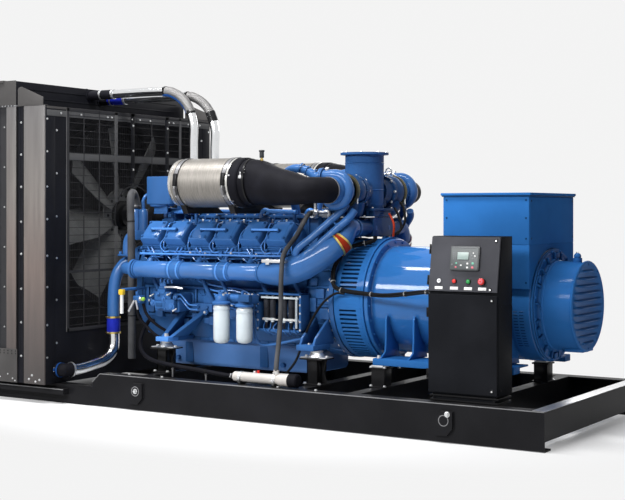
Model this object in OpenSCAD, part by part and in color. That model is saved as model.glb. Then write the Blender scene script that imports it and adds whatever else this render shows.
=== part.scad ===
/* [Radiator] */
// Depth of the radiator, from its front face to the fan side
radiator_depth = 840; // [700:10:1000]
// Width of the radiator over its side frames
radiator_width = 2040; // [1900:10:2300]
// Top of the radiator above the floor
radiator_top = 2400; // [2350:10:2600]
// Height of the top tank
top_tank_height = 200; // [150:5:250]
// Height of the bottom tank
bottom_tank_height = 180; // [140:5:200]
// Thickness of the pressed side frames
side_sheet = 6; // [4:1:10]
// Thickness of the fan shroud's plates
shroud_sheet = 5; // [3:1:8]

/* [Fan] */
// Radius at the middle of a fan blade's tip
fan_radius = 715; // [500:5:720]
// Number of fan blades
fan_blades = 8; // [5:1:10]
// Pitch of the fan blades
fan_pitch = 32; // [15:1:45]
// Width of a fan blade at its tip
blade_tip_width = 290; // [150:10:320]
// Thickness of a fan blade
blade_thickness = 6; // [3:1:10]
// Height of the fan's centre above the floor
fan_height = 1385; // [1300:5:1450]
// Gap between the blade tips and the shroud ring
fan_tip_gap = 20; // [10:1:40]

/* [Skid] */
// Width of the skid over its rails
skid_width = 1766; // [1700:2:1960]
// Height of the skid rails
rail_height = 240; // [200:5:300]
// Width of a rail's flanges
rail_flange = 100; // [80:5:120]
// Thickness of a rail's web
rail_web = 10; // [6:1:16]
// Thickness of a rail's flanges
flange_thickness = 12; // [8:1:16]
// Height of the low frame under the radiator
low_frame_height = 140; // [110:5:160]
// Depth of the cross beams below the top of the skid
cross_beam_depth = 178; // [140:2:190]
// Width of a cross beam
cross_beam_width = 90; // [60:5:130]
// Length of skid past the alternator
skid_overhang = 44; // [20:2:200]
// Diameter of the hole in a lifting lug
lug_hole = 50; // [30:1:60]

/* [Engine] */
// Space for the fan between the radiator and the engine block
fan_space = 430; // [400:10:600]
// Length of the engine block
block_length = 1460; // [1440:10:1600]
// Distance between two cylinders of a bank
cylinder_pitch = 226; // [215:1:228]
// Cylinders in one bank
cylinders_per_bank = 6; // [4:1:6]
// Height of the crankshaft above the floor
crank_height = 805; // [780:5:860]
// Distance of a bank's deck from the crankshaft
deck_distance = 470; // [450:5:490]
// Height of a cylinder head
head_height = 120; // [100:5:130]
// Height of a rocker cover
cover_height = 88; // [70:2:100]
// Length of the flywheel housing
flywheel_length = 233; // [200:1:260]
// Radius of the flywheel housing
flywheel_radius = 425; // [400:5:440]
// Radius of the coolant manifold along each bank
manifold_radius = 62; // [45:1:70]
// Radius of an air filter
filter_radius = 180; // [150:2:190]
// Length of an air filter
filter_length = 620; // [500:10:640]
// Radius of an oil filter
oil_filter_radius = 59; // [45:1:62]
// Radius of the flange on the exhaust outlet
exhaust_flange_radius = 172; // [165:1:190]
// Radius of the exhaust pipe
exhaust_radius = 138; // [110:1:140]

/* [Alternator] */
// Length of the slotted adaptor drum
drum_length = 242; // [200:2:300]
// Radius of the adaptor drum
drum_radius = 420; // [400:5:440]
// Thickness of the flange between drum and barrel
alternator_flange = 30; // [20:1:40]
// Length of the alternator barrel
barrel_length = 1155; // [1050:5:1300]
// Radius of the alternator barrel
barrel_radius = 368; // [350:2:380]
// Length of the ribbed end bracket
bracket_length = 40; // [30:2:70]
// Length of the round cowl
cowl_length = 117; // [90:1:150]
// Radius of the cowl
cowl_radius = 295; // [260:5:320]
// Length of the louvred cap
cap_length = 109; // [80:1:130]
// Width of the terminal box
box_width = 752; // [750:2:800]
// Length of the terminal box
box_length = 605; // [500:5:640]
// Top of the terminal box above the floor
box_top = 1537; // [1500:1:1650]

/* [Control cabinet] */
// Width of the cabinet
cabinet_width = 470; // [400:5:520]
// Depth of the cabinet
cabinet_depth = 205; // [180:5:240]
// Top of the cabinet above the skid
cabinet_height = 1024; // [980:2:1100]
// Height of the sloped panel door
panel_height = 344; // [320:2:380]
// How far the top of the panel door leans back
panel_lean = 56; // [30:1:70]
// Thickness of the cabinet's sheet
cabinet_sheet = 2; // [1.5:0.5:4]
// Running gap round a door
door_gap = 6; // [5.5:0.5:8]

/* [Hidden] */

$fn = 64;
seat = 0.3;        // clearance of a seated curved or soft face
face_gap = 0.05;   // clearance of two machined faces that meet
bend_sides = 12;   // sides of a swept pipe

// Places along the length, from the radiator's front to the skid's end
total_length = radiator_depth + fan_space + block_length + flywheel_length + drum_length
  + alternator_flange + barrel_length + bracket_length + cowl_length + cap_length + skid_overhang;
x_left = -total_length / 2;
x_right = total_length / 2;
x_shroud = x_left + radiator_depth;
x_block = x_shroud + fan_space;
x_block_end = x_block + block_length;
x_drum = x_block_end + flywheel_length;
x_flange = x_drum + drum_length;
x_barrel = x_flange + alternator_flange;
x_bracket = x_barrel + barrel_length;
x_cowl = x_bracket + bracket_length;
x_cap = x_cowl + cowl_length;

// Skid
rail_y = skid_width / 2;                    // outer face of a rail
rail_start = x_shroud + 350;                // left end of the high rails
slant_run = 70;                             // slanted top corner of a rail
slant_drop = 60;
beam_x = [x_block + 360, x_block_end + 190, x_barrel + 115, x_barrel + 915];
beam_web = 8;
stiffener = 10;
lug_x = [rail_start + 360, x_right - 710];
lug_thickness = 20;
lug_width = 120;
lug_height = 150;
lug_z = 45;
lug_hole_z = lug_z + lug_height * 0.62;
foundation_x = [rail_start + 150, x_right - 200];
foundation_y = -rail_y + 60;
foundation_hole = 22;
ledge_height = 40;
ledge_width = 60;

// Radiator
rad_y = radiator_width / 2;
rad_bottom = low_frame_height;
core_back = x_left + 440;                   // rear of the core and the tanks
tank_bottom = radiator_top - top_tank_height;
shroud_bottom = rad_bottom + bottom_tank_height;
column = 210;                               // rear column of a side frame
column_gap = 80;
post = 100;
fold = 15;                                  // how far the columns stand proud
guard_y = 752;
guard_bottom = shroud_bottom + 220;
guard_top = tank_bottom - 30;
guard_bar = 25;
guard_sheet = 6;
ring_inner = sqrt(pow(fan_radius, 2) + pow(blade_tip_width / 2 * cos(fan_pitch), 2)) + fan_tip_gap;

// Fan
x_fan = x_shroud - 140;
hub_radius = 120;
hub_length = 110;
spider_radius = 215;
drive_radius = 48;
x_plate = x_fan - 120;                      // shroud plate that carries the fan ring
ring_reach = 20;                            // how far the ring goes past the middle of the fan

// Engine
bank_angle = 45;
head_width = 250;
head_length = cylinder_pitch - 21;          // two heads stand 21 apart
cover_width = 196;
cover_length = head_length - 19;
first_cylinder = x_block + 160;
manifold_y = 550;
manifold_z = crank_height + 185;
manifold_end = x_block_end - 280;
valley_z = crank_height + 375;
plenum_x = x_block + 230;
plenum_length = 1200;
plenum_width = 370;
plenum_top = valley_z + 220;
filter_x = x_block + 470;
filter_y = 550;
filter_z = plenum_top + 40 + filter_radius;
strap_x = [filter_x + 90, filter_x + filter_length - 110];
turbo_x = x_block_end + 280;
turbo_y = 460;
turbo_z = crank_height + drum_radius + 335;
inlet_reach = 100;                          // from the volute out to the turbocharger's inlet
inlet_radius = 88;
exhaust_x = x_block_end + 240;
exhaust_top = turbo_z + 275;
duct_end = 200;                             // where a turbocharger meets the exhaust duct
gear_top = crank_height + 395;
crossover = [x_block_end + 260, x_block_end + 460];   // exhaust crossover over the drum
crossover_y = 300;
crossover_z = [drum_radius + crank_height + 22, turbo_z - 150];
canister_x = [x_block - 106, x_block - 38];
canister_y = 340;
canister_top = gear_top + 245;
block_side = 376;
rack_y = 540;
oil_filter_x = [x_block + 915, x_block + 1113];
oil_filter_y = 650;
oil_filter_top = crank_height - 40;
foot_x = [x_block + 350, x_block_end + 190];
foot_y = 560;
foot_z = rail_height + 230;                 // underside of the engine feet
pad_plate = 10;
mount_height = 45;
pan_bottom = rail_height + 25;
pan_rail = crank_height - 320;

// Alternator
foot_rail_z = crank_height - 415;
foot_rail_height = 50;
foot_rail_y = 430;
foot_rail_width = 100;
pad_height = 15;
box_x = x_bracket - box_length;
casing_bottom = crank_height + 120;
casing_top = crank_height + 400;

// Cabinet
cabinet_x = x_bracket - 490;
cabinet_y = -rail_y + 83;                   // front face of the cabinet
plinth = 50;
cab_bottom = rail_height;
panel_z = cabinet_height - panel_height;
cabinet_wall = 3 * cabinet_sheet;           // sheet with its folded edge
door_edge = 4;
knuckle_x = 7;                              // hinge pin, out from the cabinet's side
knuckle_y = door_gap + 7;
knuckle_radius = 5;
knuckle_length = 30;
lower_hinges = [plinth + 90, panel_z - 160];
upper_hinges = [40, panel_height - 110];
door_skin = 14;                             // depth of a folded door
panel_angle = atan(panel_lean / panel_height);
panel_length = panel_height / cos(panel_angle);

// ---- helpers ----

// Builds a piece and its twin across the centre line
module both_sides() {
  children();
  mirror([0, 1, 0]) children();
}

// A box from its two opposite corners
module block(a, b) {
  translate(a) cube(b - a);
}

// A cylinder along X from x1 to x2
module bar_x(x1, x2, r, y = 0, z = 0) {
  translate([x1, y, z]) rotate([0, 90, 0]) cylinder(r = r, h = x2 - x1);
}

// A cylinder along Y from y1 to y2
module bar_y(y1, y2, r, x = 0, z = 0) {
  translate([x, y1, z]) rotate([-90, 0, 0]) cylinder(r = r, h = y2 - y1);
}

// A channel of height h and width w along X, open towards +Y
module channel_x(x1, x2, w, h, web, flange) {
  translate([x1, 0, 0]) rotate([90, 0, 90]) linear_extrude(x2 - x1)
    polygon([[0, 0], [w, 0], [w, flange], [web, flange], [web, h - flange],
             [w, h - flange], [w, h], [0, h]]);
}

function unit(v) = v / norm(v);
function lerp(a, b, t) = a + (b - a) * t;

// A point of the smooth curve through the four points
function curve_point(p0, p1, p2, p3, t) =
  0.5 * (2 * p1 + (p2 - p0) * t + (2 * p0 - 5 * p1 + 4 * p2 - p3) * t * t
         + (3 * p1 - p0 - 3 * p2 + p3) * t * t * t);

// The route with straight ends and a smooth curve between them
function smooth(route, steps) =
  let (last = len(route) - 1)
  [route[0],
   for (i = [1 : last - 2], s = [0 : steps - 1])
     curve_point(route[i - 1], route[i], route[i + 1], route[i + 2], s / steps),
   route[last - 1], route[last]];

function tangents(p) =
  let (last = len(p) - 1)
  [for (i = [0 : last]) unit(p[min(i + 1, last)] - p[max(i - 1, 0)])];

// Side vectors carried along the route without twist
function carried(t, i, side) =
  let (s = unit(side - t[i] * (side * t[i])))
  i == len(t) - 1 ? [s] : concat([s], carried(t, i + 1, s));

// A round pipe along a route; radii has one radius for each point
module swept_pipe(p, radii, sides = bend_sides) {
  t = tangents(p);
  start = abs(t[0][2]) < 0.9 ? [0, 0, 1] : [0, 1, 0];
  s = carried(t, 0, cross(t[0], start));
  n = len(p);
  rings = [for (i = [0 : n - 1], k = [0 : sides - 1])
    let (a = 360 * k / sides, side = s[i], up = cross(t[i], side))
    p[i] + radii[i] * (cos(a) * side + sin(a) * up)];
  walls = [for (i = [0 : n - 2], k = [0 : sides - 1])
    let (a = i * sides + k, b = i * sides + (k + 1) % sides)
    each [[a, b + sides, b], [a, a + sides, b + sides]]];
  ends = [[for (k = [0 : sides - 1]) k], [for (k = [sides - 1 : -1 : 0]) (n - 1) * sides + k]];
  polyhedron(rings, concat(walls, ends), convexity = 8);
}

// A pipe of one radius along a smoothed route
module smooth_pipe(route, r, steps = 4, sides = bend_sides) {
  p = smooth(route, steps);
  swept_pipe(p, [for (q = p) r], sides);
}

// ---- skid ----

module rail(side) {
  color("#17181a")
  mirror([0, side > 0 ? 1 : 0, 0])
  difference() {
    translate([0, -rail_y, 0]) union() {
      channel_x(rail_start, x_right, rail_flange, rail_height, rail_web, flange_thickness);
      // Stiffeners between the flanges
      for (x = [rail_start + 40, beam_x[0] + 500, beam_x[2] + 400, x_right - 200])
        block([x, rail_web - 1, flange_thickness - 1],
              [x + stiffener, rail_flange - 8, rail_height - flange_thickness + 1]);
      // Lifting lugs on the outer face
      for (x = lug_x)
        translate([x, 1, lug_z]) rotate([90, 0, 0]) linear_extrude(lug_thickness + 1)
          polygon([[0, 0], [lug_width - 40, 0], [lug_width, 45], [lug_width, lug_height], [40, lug_height], [0, lug_height - 40]]);
    }
    for (x = lug_x)
      bar_y(-rail_y - lug_thickness - 1, -rail_y + rail_web + 1, lug_hole / 2, x + lug_width / 2, lug_hole_z);
    // Slanted corner over the low radiator frame
    translate([rail_start, -rail_y - 50, rail_height]) rotate([-90, 0, 0])
      linear_extrude(300) polygon([[-1, -1], [slant_run, -1], [slant_run, 0], [0, slant_drop], [-1, slant_drop]]);
    // Notches where the beams meet the rail
    for (x = concat([x_right - cross_beam_width / 2], beam_x))
      block([x - cross_beam_width / 2, -rail_y + rail_web, rail_height - cross_beam_depth],
            [x + cross_beam_width / 2 + 1, 0, rail_height + 1]);
    // Foundation bolt holes in the bottom flange
    for (x = foundation_x)
      translate([x, foundation_y, -1]) cylinder(d = foundation_hole, h = flange_thickness + 2);
  }
}

module skid_rail_near() rail(-1);
module skid_rail_far() rail(1);

// A beam across the skid with its web at x and its flanges towards -X
module cross_beam(x, w) {
  color("#17181a")
  translate([x, rail_web - rail_y, rail_height - cross_beam_depth]) rotate([90, 0, 180])
    linear_extrude(2 * (rail_y - rail_web))
      polygon([[0, 0], [w, 0], [w, beam_web], [beam_web, beam_web],
               [beam_web, cross_beam_depth - beam_web], [w, cross_beam_depth - beam_web],
               [w, cross_beam_depth], [0, cross_beam_depth]]);
}

module skid_end_beam() cross_beam(x_right, cross_beam_width);

module skid_cross_beams() {
  for (x = beam_x) cross_beam(x + cross_beam_width / 2, cross_beam_width);
}

module radiator_base_frame() {
  color("#17181a")
  both_sides() translate([0, -rail_y, 0]) {
    channel_x(x_left + 20, rail_start, rail_flange, low_frame_height, rail_web, flange_thickness);
    block([x_left + 20, -ledge_width, low_frame_height / 2],
          [rail_start - 230, 1, low_frame_height / 2 + ledge_height]);
  }
}

// ---- radiator ----

module side_frame() {
  inner = -rad_y + fold;
  color("#2c2b2c") difference() {
    union() {
      block([x_left, inner, rad_bottom], [x_shroud, inner + side_sheet, tank_bottom]);
      // Folded columns: rear column, post and front panel stand proud
      for (c = [[x_shroud - column, column], [x_shroud - column - column_gap - post, post],
                [x_left, radiator_depth - column - 2 * column_gap - post]])
        translate([c[0], -rad_y, rad_bottom]) cube([c[1], fold + 1, tank_bottom - rad_bottom]);
    }
    // Hollow of the rear column
    block([x_shroud - column + side_sheet, -rad_y + side_sheet, rad_bottom - 1],
          [x_shroud - side_sheet, inner + side_sheet + 1, tank_bottom + 1]);
  }
  // Lifting gusset over the rear column
  color("#2c2b2c")
  difference() {
    translate([x_shroud - 15, -rad_y, tank_bottom]) rotate([90, 0, 180]) linear_extrude(side_sheet)
      polygon([[0, 0], [255, 0], [255, top_tank_height * 0.62], [215, top_tank_height * 0.72], [0, 60]]);
    bar_y(-rad_y - 1, -rad_y + side_sheet + 1, 18, x_shroud - 225, tank_bottom + top_tank_height * 0.45);
  }
}

module radiator_side_near() side_frame();
module radiator_side_far() mirror([0, 1, 0]) side_frame();

module radiator_core() {
  y = rad_y - fold - side_sheet;
  color("#1c1d1f")
    block([x_left + 45, -y, shroud_bottom], [core_back, y, tank_bottom]);
}

module radiator_top_tank() {
  color("#232426")
    block([x_left + 20, -rad_y, tank_bottom], [x_shroud - column - column_gap, rad_y, radiator_top]);
}

module radiator_bottom_tank() {
  y = rad_y - fold - side_sheet;
  color("#232426")
    block([x_left + 25, -y, rad_bottom], [x_shroud - shroud_sheet, y, shroud_bottom]);
}

// Box behind the core: the rear frame plate with the top and bottom plates
module shroud_frame() {
  y = rad_y - fold - side_sheet;
  color("#151618") {
    difference() {
      block([x_shroud - shroud_sheet, -y, rad_bottom], [x_shroud, y, tank_bottom]);
      block([x_shroud - shroud_sheet - 1, -guard_y, guard_bottom], [x_shroud + 1, guard_y, guard_top]);
    }
    block([core_back, -y, tank_bottom - shroud_sheet], [x_shroud - 1, y, tank_bottom]);
    block([core_back, -y, shroud_bottom], [x_shroud - 1, y, shroud_bottom + shroud_sheet]);
  }
}

// Plate across the box with the ring that the fan runs in
module fan_shroud() {
  y = rad_y - fold - side_sheet;
  color("#151618")
  difference() {
    union() {
      block([x_plate, -y, shroud_bottom + shroud_sheet], [x_plate + shroud_sheet, y, tank_bottom - shroud_sheet]);
      bar_x(x_plate, x_fan + ring_reach, ring_inner + shroud_sheet, 0, fan_height);
    }
    bar_x(x_plate - 1, x_fan + ring_reach + 1, ring_inner, 0, fan_height);
  }
}

// Guard frame on the fan opening; its wires are fitted to this frame
module fan_guard() {
  x1 = x_shroud;
  x2 = x_shroud + guard_sheet;
  eye = 210;                                // opening round the fan drive
  lip = 25;
  color("#2a2a2c")
  difference() {
    union() {
      difference() {
        block([x1, -guard_y - lip, guard_bottom - lip], [x2, guard_y + lip, guard_top + lip]);
        block([x1 - 1, -guard_y, guard_bottom], [x2 + 1, guard_y, guard_top]);
      }
      for (y = [-590, -415, 0, 415, 590])
        block([x1, y - guard_bar / 2, guard_bottom - 1], [x2, y + guard_bar / 2, guard_top + 1]);
      block([x1, -guard_y - 1, guard_top - 370], [x2, guard_y + 1, guard_top - 310]);
      block([x1, -guard_y - 1, fan_height - 430], [x2, guard_y + 1, fan_height - 400]);
      bar_x(x1, x2, eye + guard_bar, 0, fan_height);
    }
    bar_x(x1 - 1, x2 + 1, eye, 0, fan_height);
  }
}

module fan_rotor() {
  color("#77787a") translate([x_fan, 0, fan_height]) {
    bar_x(-hub_length / 2, hub_length / 2, hub_radius);
    bar_x(-8, 8, spider_radius);
    for (i = [0 : fan_blades - 1])
      rotate([i * 360 / fan_blades + 8, 0, 0]) rotate([0, 0, fan_pitch])
        rotate([0, -90, 0]) translate([0, 0, -blade_thickness / 2]) linear_extrude(blade_thickness)
            polygon([[spider_radius - 60, -75], [spider_radius + 60, -blade_tip_width * 0.4],
                     [fan_radius, -blade_tip_width / 2], [fan_radius, blade_tip_width / 2],
                     [spider_radius + 60, blade_tip_width * 0.4], [spider_radius - 60, 75]]);
  }
}

// Bearing housing and shaft between the gear case and the fan
module fan_drive() {
  hub_face = x_fan + hub_length / 2;
  color("#2c56a3") {
    bar_x(x_block - 220, x_block - 60, 95, 0, fan_height);
    bar_x(hub_face + 40, x_block - 200, drive_radius, 0, fan_height);
    bar_x(hub_face + seat, hub_face + 41, 90, 0, fan_height);
    block([x_block - 95, -95, gear_top], [x_block - 5, 95, fan_height]);
  }
}

// ---- engine ----

// Places its children in the frame of the near bank: +Z along the cylinders
module near_bank() {
  translate([0, 0, crank_height]) rotate([bank_angle, 0, 0]) children();
}

module engine_block() {
  d = deck_distance * sin(bank_angle);
  w = head_width / 2 * cos(bank_angle);
  color("#2f5fb0")
  translate([x_block, 0, 0]) rotate([90, 0, 90]) linear_extrude(block_length)
    polygon([[-300, pan_rail], [300, pan_rail], [block_side, crank_height - 170], [block_side, crank_height + 60],
             [d + w, crank_height + d - w], [d - w, crank_height + d + w], [190, valley_z],
             [-190, valley_z], [-d + w, crank_height + d + w], [-d - w, crank_height + d - w],
             [-block_side, crank_height + 60], [-block_side, crank_height - 170]]);
}

module oil_pan() {
  color("#2f5fb0")
  translate([x_block + 30, 0, 0]) rotate([90, 0, 90]) linear_extrude(block_length - 60)
    polygon([[-300, pan_rail], [-300, pan_rail - 25], [-265, pan_rail - 25], [-250, pan_bottom],
             [250, pan_bottom], [265, pan_rail - 25], [300, pan_rail - 25], [300, pan_rail]]);
}

module gear_case() {
  color("#2f5fb0") {
    translate([x_block - 100, 0, 0]) rotate([90, 0, 90]) linear_extrude(100)
      polygon([[-250, pan_rail], [250, pan_rail], [390, crank_height - 120], [390, crank_height + 180],
               [280, gear_top], [-280, gear_top], [-390, crank_height + 180],
               [-390, crank_height - 120]]);
    // Crankshaft damper
    bar_x(x_block - 190, x_block - 99, 190, 0, crank_height);
    // Water pump on the near side
    bar_x(x_block - 180, x_block - 99, 110, -250, crank_height + 240);
  }
}

module flywheel_housing() {
  color("#2f5fb0") {
    bar_x(x_block_end, x_drum, flywheel_radius, 0, crank_height);
    // Rear engine feet
    both_sides() block([foot_x[1] - 60, -foot_y - 60, foot_z], [x_drum, -300, foot_z + 90]);
  }
}

module head_row() {
  for (i = [0 : cylinders_per_bank - 1]) {
    x = first_cylinder + i * cylinder_pitch;
    near_bank() {
      translate([x - head_length / 2, -head_width / 2, deck_distance + face_gap])
        cube([head_length, head_width, head_height]);
      translate([x - cover_length / 2, -cover_width / 2, deck_distance + head_height - 1])
        cube([cover_length, cover_width, cover_height + 1]);
    }
  }
}

module cylinder_heads_near() { color("#3468bb") head_row(); }
module cylinder_heads_far() { color("#3468bb") mirror([0, 1, 0]) head_row(); }

module coolant_manifolds() {
  color("#4a7fd0")
  both_sides() {
    bar_x(x_block + 30, manifold_end, manifold_radius, -manifold_y, manifold_z);
    // Branches to the heads
    difference() {
      for (i = [0 : cylinders_per_bank - 1])
        let (x = first_cylinder + i * cylinder_pitch)
          if (x < manifold_end - 30) translate([x, -manifold_y + 18, manifold_z + 36])
            rotate([-60, 0, 0]) cylinder(r = 26, h = 122);
      head_row();
    }
  }
}

module charge_air_elbows() {
  start = [manifold_end, -manifold_y, manifold_z];
  end = [crossover[0] + 95, -crossover_y - seat, crossover_z[0] + 78];
  route = [start, start + [60, 0, 0], start + [180, 4, 6], start + [320, 20, 45], start + [450, 50, 112],
           start + [545, 80, 178], start + [600, 130, 235], end - [0, 70, 0], end];
  p = smooth(route, 3);
  n = len(p) - 1;
  widest = 97;
  neck = 72;
  color("#3f76c8")
  both_sides()
    swept_pipe(p, [for (i = [0 : n])
      let (t = i / n) t < 0.4 ? lerp(manifold_radius, widest, sin(t / 0.4 * 90)) : lerp(widest, neck, (t - 0.4) / 0.6)]);
}

module intake_plenum() {
  color("#2f5fb0")
    block([plenum_x, -plenum_width / 2, valley_z],
          [plenum_x + plenum_length, plenum_width / 2, plenum_top]);
}

module air_filters() {
  color("silver")
  both_sides() {
    bar_x(filter_x, filter_x + filter_length, filter_radius, -filter_y, filter_z);
    for (x = strap_x)
      block([x - 22, -filter_y - 20, plenum_top], [x + 22, -plenum_width / 2 + 35, filter_z - filter_radius + 30]);
  }
}

module intake_hoses() {
  a = [filter_x + filter_length + seat, -filter_y, filter_z];
  b = [turbo_x, -turbo_y - inlet_reach - seat, turbo_z];
  bend = 120;                               // radius of the bend into the inlet
  centre = b - [bend, 10, 0];
  c = centre - [0, bend, 0];
  route = [a, a + [90, 0, 0], lerp(a, c, 0.45), lerp(a, c, 0.8), c,
           centre + bend * [sin(30), -cos(30), 0], centre + bend * [sin(60), -cos(60), 0],
           centre + [bend, 0, 0], b];
  p = smooth(route, 3);
  n = len(p) - 1;
  color("#1a1a1c")
  both_sides()
    swept_pipe(p, [for (i = [0 : n]) lerp(165, inlet_radius, min(1, i / n / 0.55))], 20);
}

module turbochargers() {
  color("#2f5fb0")
  both_sides() translate([turbo_x, -turbo_y, turbo_z]) {
    bar_y(-inlet_reach, -40, inlet_radius);
    // Volute, bearing housing, clamp band and turbine housing
    rotate([90, 0, 0]) rotate_extrude() translate([98, 0]) circle(r = 46);
    bar_y(-46, 46, 98);
    bar_y(45, 110, 70);
    bar_y(105, 135, 118);
    bar_y(134, turbo_y - duct_end, 105);
  }
}

module exhaust_outlet() {
  color("#2f5fb0") translate([exhaust_x, 0, 0]) difference() {
    union() {
      translate([0, 0, turbo_z - 120]) cylinder(r = exhaust_radius, h = exhaust_top - turbo_z + 110);
      translate([0, 0, exhaust_top - 16]) cylinder(r = exhaust_flange_radius, h = 16);
      bar_y(-duct_end, duct_end, 85, turbo_x - exhaust_x, turbo_z);
    }
    translate([0, 0, turbo_z - 40]) cylinder(r = exhaust_radius - 8, h = 400);
    for (i = [0 : 7]) rotate(22.5 + i * 45)
      translate([exhaust_flange_radius - 14, 0, exhaust_top - 20]) cylinder(d = 14, h = 30);
  }
}

module turbo_support() {
  color("#2f5fb0")
    block([plenum_x + plenum_length, -130, crossover_z[0] - 7], [exhaust_x + 150, 130, turbo_z - 120]);
    // Crossover that takes the charge air from both banks
    block([crossover[0], -crossover_y, crossover_z[0]], [crossover[1], crossover_y, crossover_z[1]]);
    // Coolant outlet for the heater hose
    bar_y(-345, -129, 22, x_block_end + 15, plenum_top);
}

module header_tank() {
  x = x_block + 60;
  color("#2f5fb0") {
    block([x, -450, plenum_top + 50], [x + 235, -250, plenum_top + 290]);
    block([x + 40, -400, plenum_top], [x + 165, -60, plenum_top + 51]);
    block([x + 40, -150, valley_z], [x + 165, -60, plenum_top + 1]);
  }
}

module breather_canisters() {
  color("#3468bb") {
    for (x = canister_x)
      translate([x, -canister_y, gear_top + 75]) cylinder(r = 32, h = canister_top - gear_top - 75);
    block([canister_x[0] - 20, -canister_y - 35, gear_top], [x_block - 5, -200, gear_top + 76]);
  }
}

module breather_hose() {
  x = canister_x[0];
  y = -canister_y;
  route = [[x, y, canister_top + seat], [x, y, canister_top + 40], [x, y - 20, canister_top + 90],
           [x + 22, y - 70, canister_top + 115], [x + 48, y - 125, canister_top + 85],
           [x + 66, y - 148, canister_top], [x + 76, y - 152, canister_top - 250],
           [x + 80, y - 152, canister_top - 700], [x + 81, y - 152, rail_height + 110],
           [x + 81, y - 152, rail_height + 80]];
  color("#3a3b3d") smooth_pipe(route, 30, 3, 8);
}

module oil_filters() {
  for (x = oil_filter_x)
    color("#dfe9ee") translate([x, -oil_filter_y, oil_filter_top - 276]) cylinder(r = oil_filter_radius, h = 276);
}

module oil_filter_heads() {
  color("#2f5fb0") {
    for (x = oil_filter_x)
      translate([x, -oil_filter_y, oil_filter_top]) cylinder(r = oil_filter_radius + 6, h = 60);
    block([oil_filter_x[0] - 50, -oil_filter_y + 10, oil_filter_top + 10],
          [oil_filter_x[1] + 20, -block_side, crank_height + 50]);
  }
}

module fuel_pump() {
  color("#2f5fb0") block([x_block + 200, -600, crank_height - 130], [x_block + 480, -block_side, crank_height + 55]);
}

module injector_rack() {
  x = x_block_end - 320;
  color("#2a3550") difference() {
    union() {
      block([x, -rack_y, crank_height - 225], [x + 370, -flywheel_radius - 5, crank_height + 45]);
      // Arms to the engine block
      for (z = [crank_height - 150, crank_height])
        block([x + 40, -flywheel_radius - 6, z], [x + 200, -block_side, z + 40]);
    }
    block([x + 20, -rack_y - 1, crank_height - 205], [x + 350, -rack_y + 85, crank_height + 25]);
  }
  color("#222") for (i = [0 : 4])
    translate([x + 55 + i * 65, -rack_y + 50, crank_height - 206]) cylinder(r = 24, h = 232);
}

module coolant_heater() {
  color("#e8eef0") {
    bar_x(x_block + 1135, x_block + 1515, 36, -rail_y + 85, rail_height + 50);
    bar_x(x_block + 1514, x_block + 1660, 46, -rail_y + 85, rail_height + 50);
    for (x = [x_block + 1180, x_block + 1460])
      block([x, -rail_y + 55, rail_height], [x + 30, -rail_y + 115, rail_height + 30]);
  }
}

module heater_hoses() {
  y = -rail_y + 85;
  z = rail_height + 50;
  x = x_block + 1480;
  color("#26282b") {
    smooth_pipe([[x, y, z + 36 + seat], [x, y, z + 100], [x - 20, y + 60, z + 260], [x - 35, y + 105, z + 430],
                 [x - 38, y + 112, z + 600], [x - 35, y + 114, z + 720], [x - 45, y + 160, z + 840],
                 [x - 30, y + 280, z + 950], [x - 12, y + 365, z + 1060],
                 [x_block_end + 15, -345 - seat - 35, plenum_top], [x_block_end + 15, -345 - seat, plenum_top]],
                17, 3, 8);
    smooth_pipe([[x_block + 1135 - seat, y, z], [x_block + 1090, y, z], [x_block + 1000, y, z + 6], [x_block + 820, y + 10, z + 20],
                 [x_block + 600, y + 40, z + 30], [x_block + 350, y + 90, z + 50], [x_block + 180, y + 170, z + 95],
                 [x_block + 90, y + 260, z + 180], [x_block + 70, -block_side - 50, z + 300],
                 [x_block + 70, -block_side + 8, z + 300]], 20, 3, 8);
  }
}

module engine_feet() {
  // Front feet bolted to the block, and the four rubber mounts
  color("#2f5fb0")
  both_sides() {
    difference() {
      union() {
        block([foot_x[0] - 60, -foot_y - 60, foot_z], [foot_x[0] + 60, -300, foot_z + 30]);
        translate([foot_x[0] - 20, 0, 0]) rotate([90, 0, 90]) linear_extrude(40)
          polygon([[-foot_y, foot_z + 29], [-300, foot_z + 29], [-300, foot_z + 190], [-400, foot_z + 190]]);
      }
      engine_block();
    }
  }
}

module engine_mounts() {
  color("silver")
  both_sides() for (x = foot_x) translate([x, -foot_y, foot_z - mount_height]) {
    cylinder(r1 = 62, r2 = 38, h = mount_height);
    cylinder(r = 75, h = 10);
  }
}

module engine_pedestals() {
  top = foot_z - mount_height - pad_plate;
  color("#17181a")
  both_sides() for (x = foot_x) {
    block([x - 90, -foot_y - 80, top], [x + 90, -foot_y + 80, top + pad_plate]);
    block([x - 45, -foot_y - 55, rail_height], [x + 45, -foot_y + 55, top + 1]);
    block([x - 80, -foot_y - 5, rail_height], [x + 80, -foot_y + 5, top + 1]);
  }
}

module upper_coolant_pipes() {
  x0 = x_shroud - column - column_gap + seat;
  z0 = radiator_top - 60;
  color("#c9ced2")
  for (k = [0, 1]) {
    y = -200 + 130 * k;
    z = z0 - 35 * k;
    xv = plenum_x + 90 + 105 * k;
    smooth_pipe([[x0, y, z], [x0 + 200, y, z], [xv - 330, y, z], [xv - 180, y, z - 20], [xv - 60, y, z - 110],
                 [xv, y, z - 260], [xv, y, z - 420], [xv, y, plenum_top + 200], [xv, y, plenum_top + seat]], 38, 3, 12);
  }
}

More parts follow.
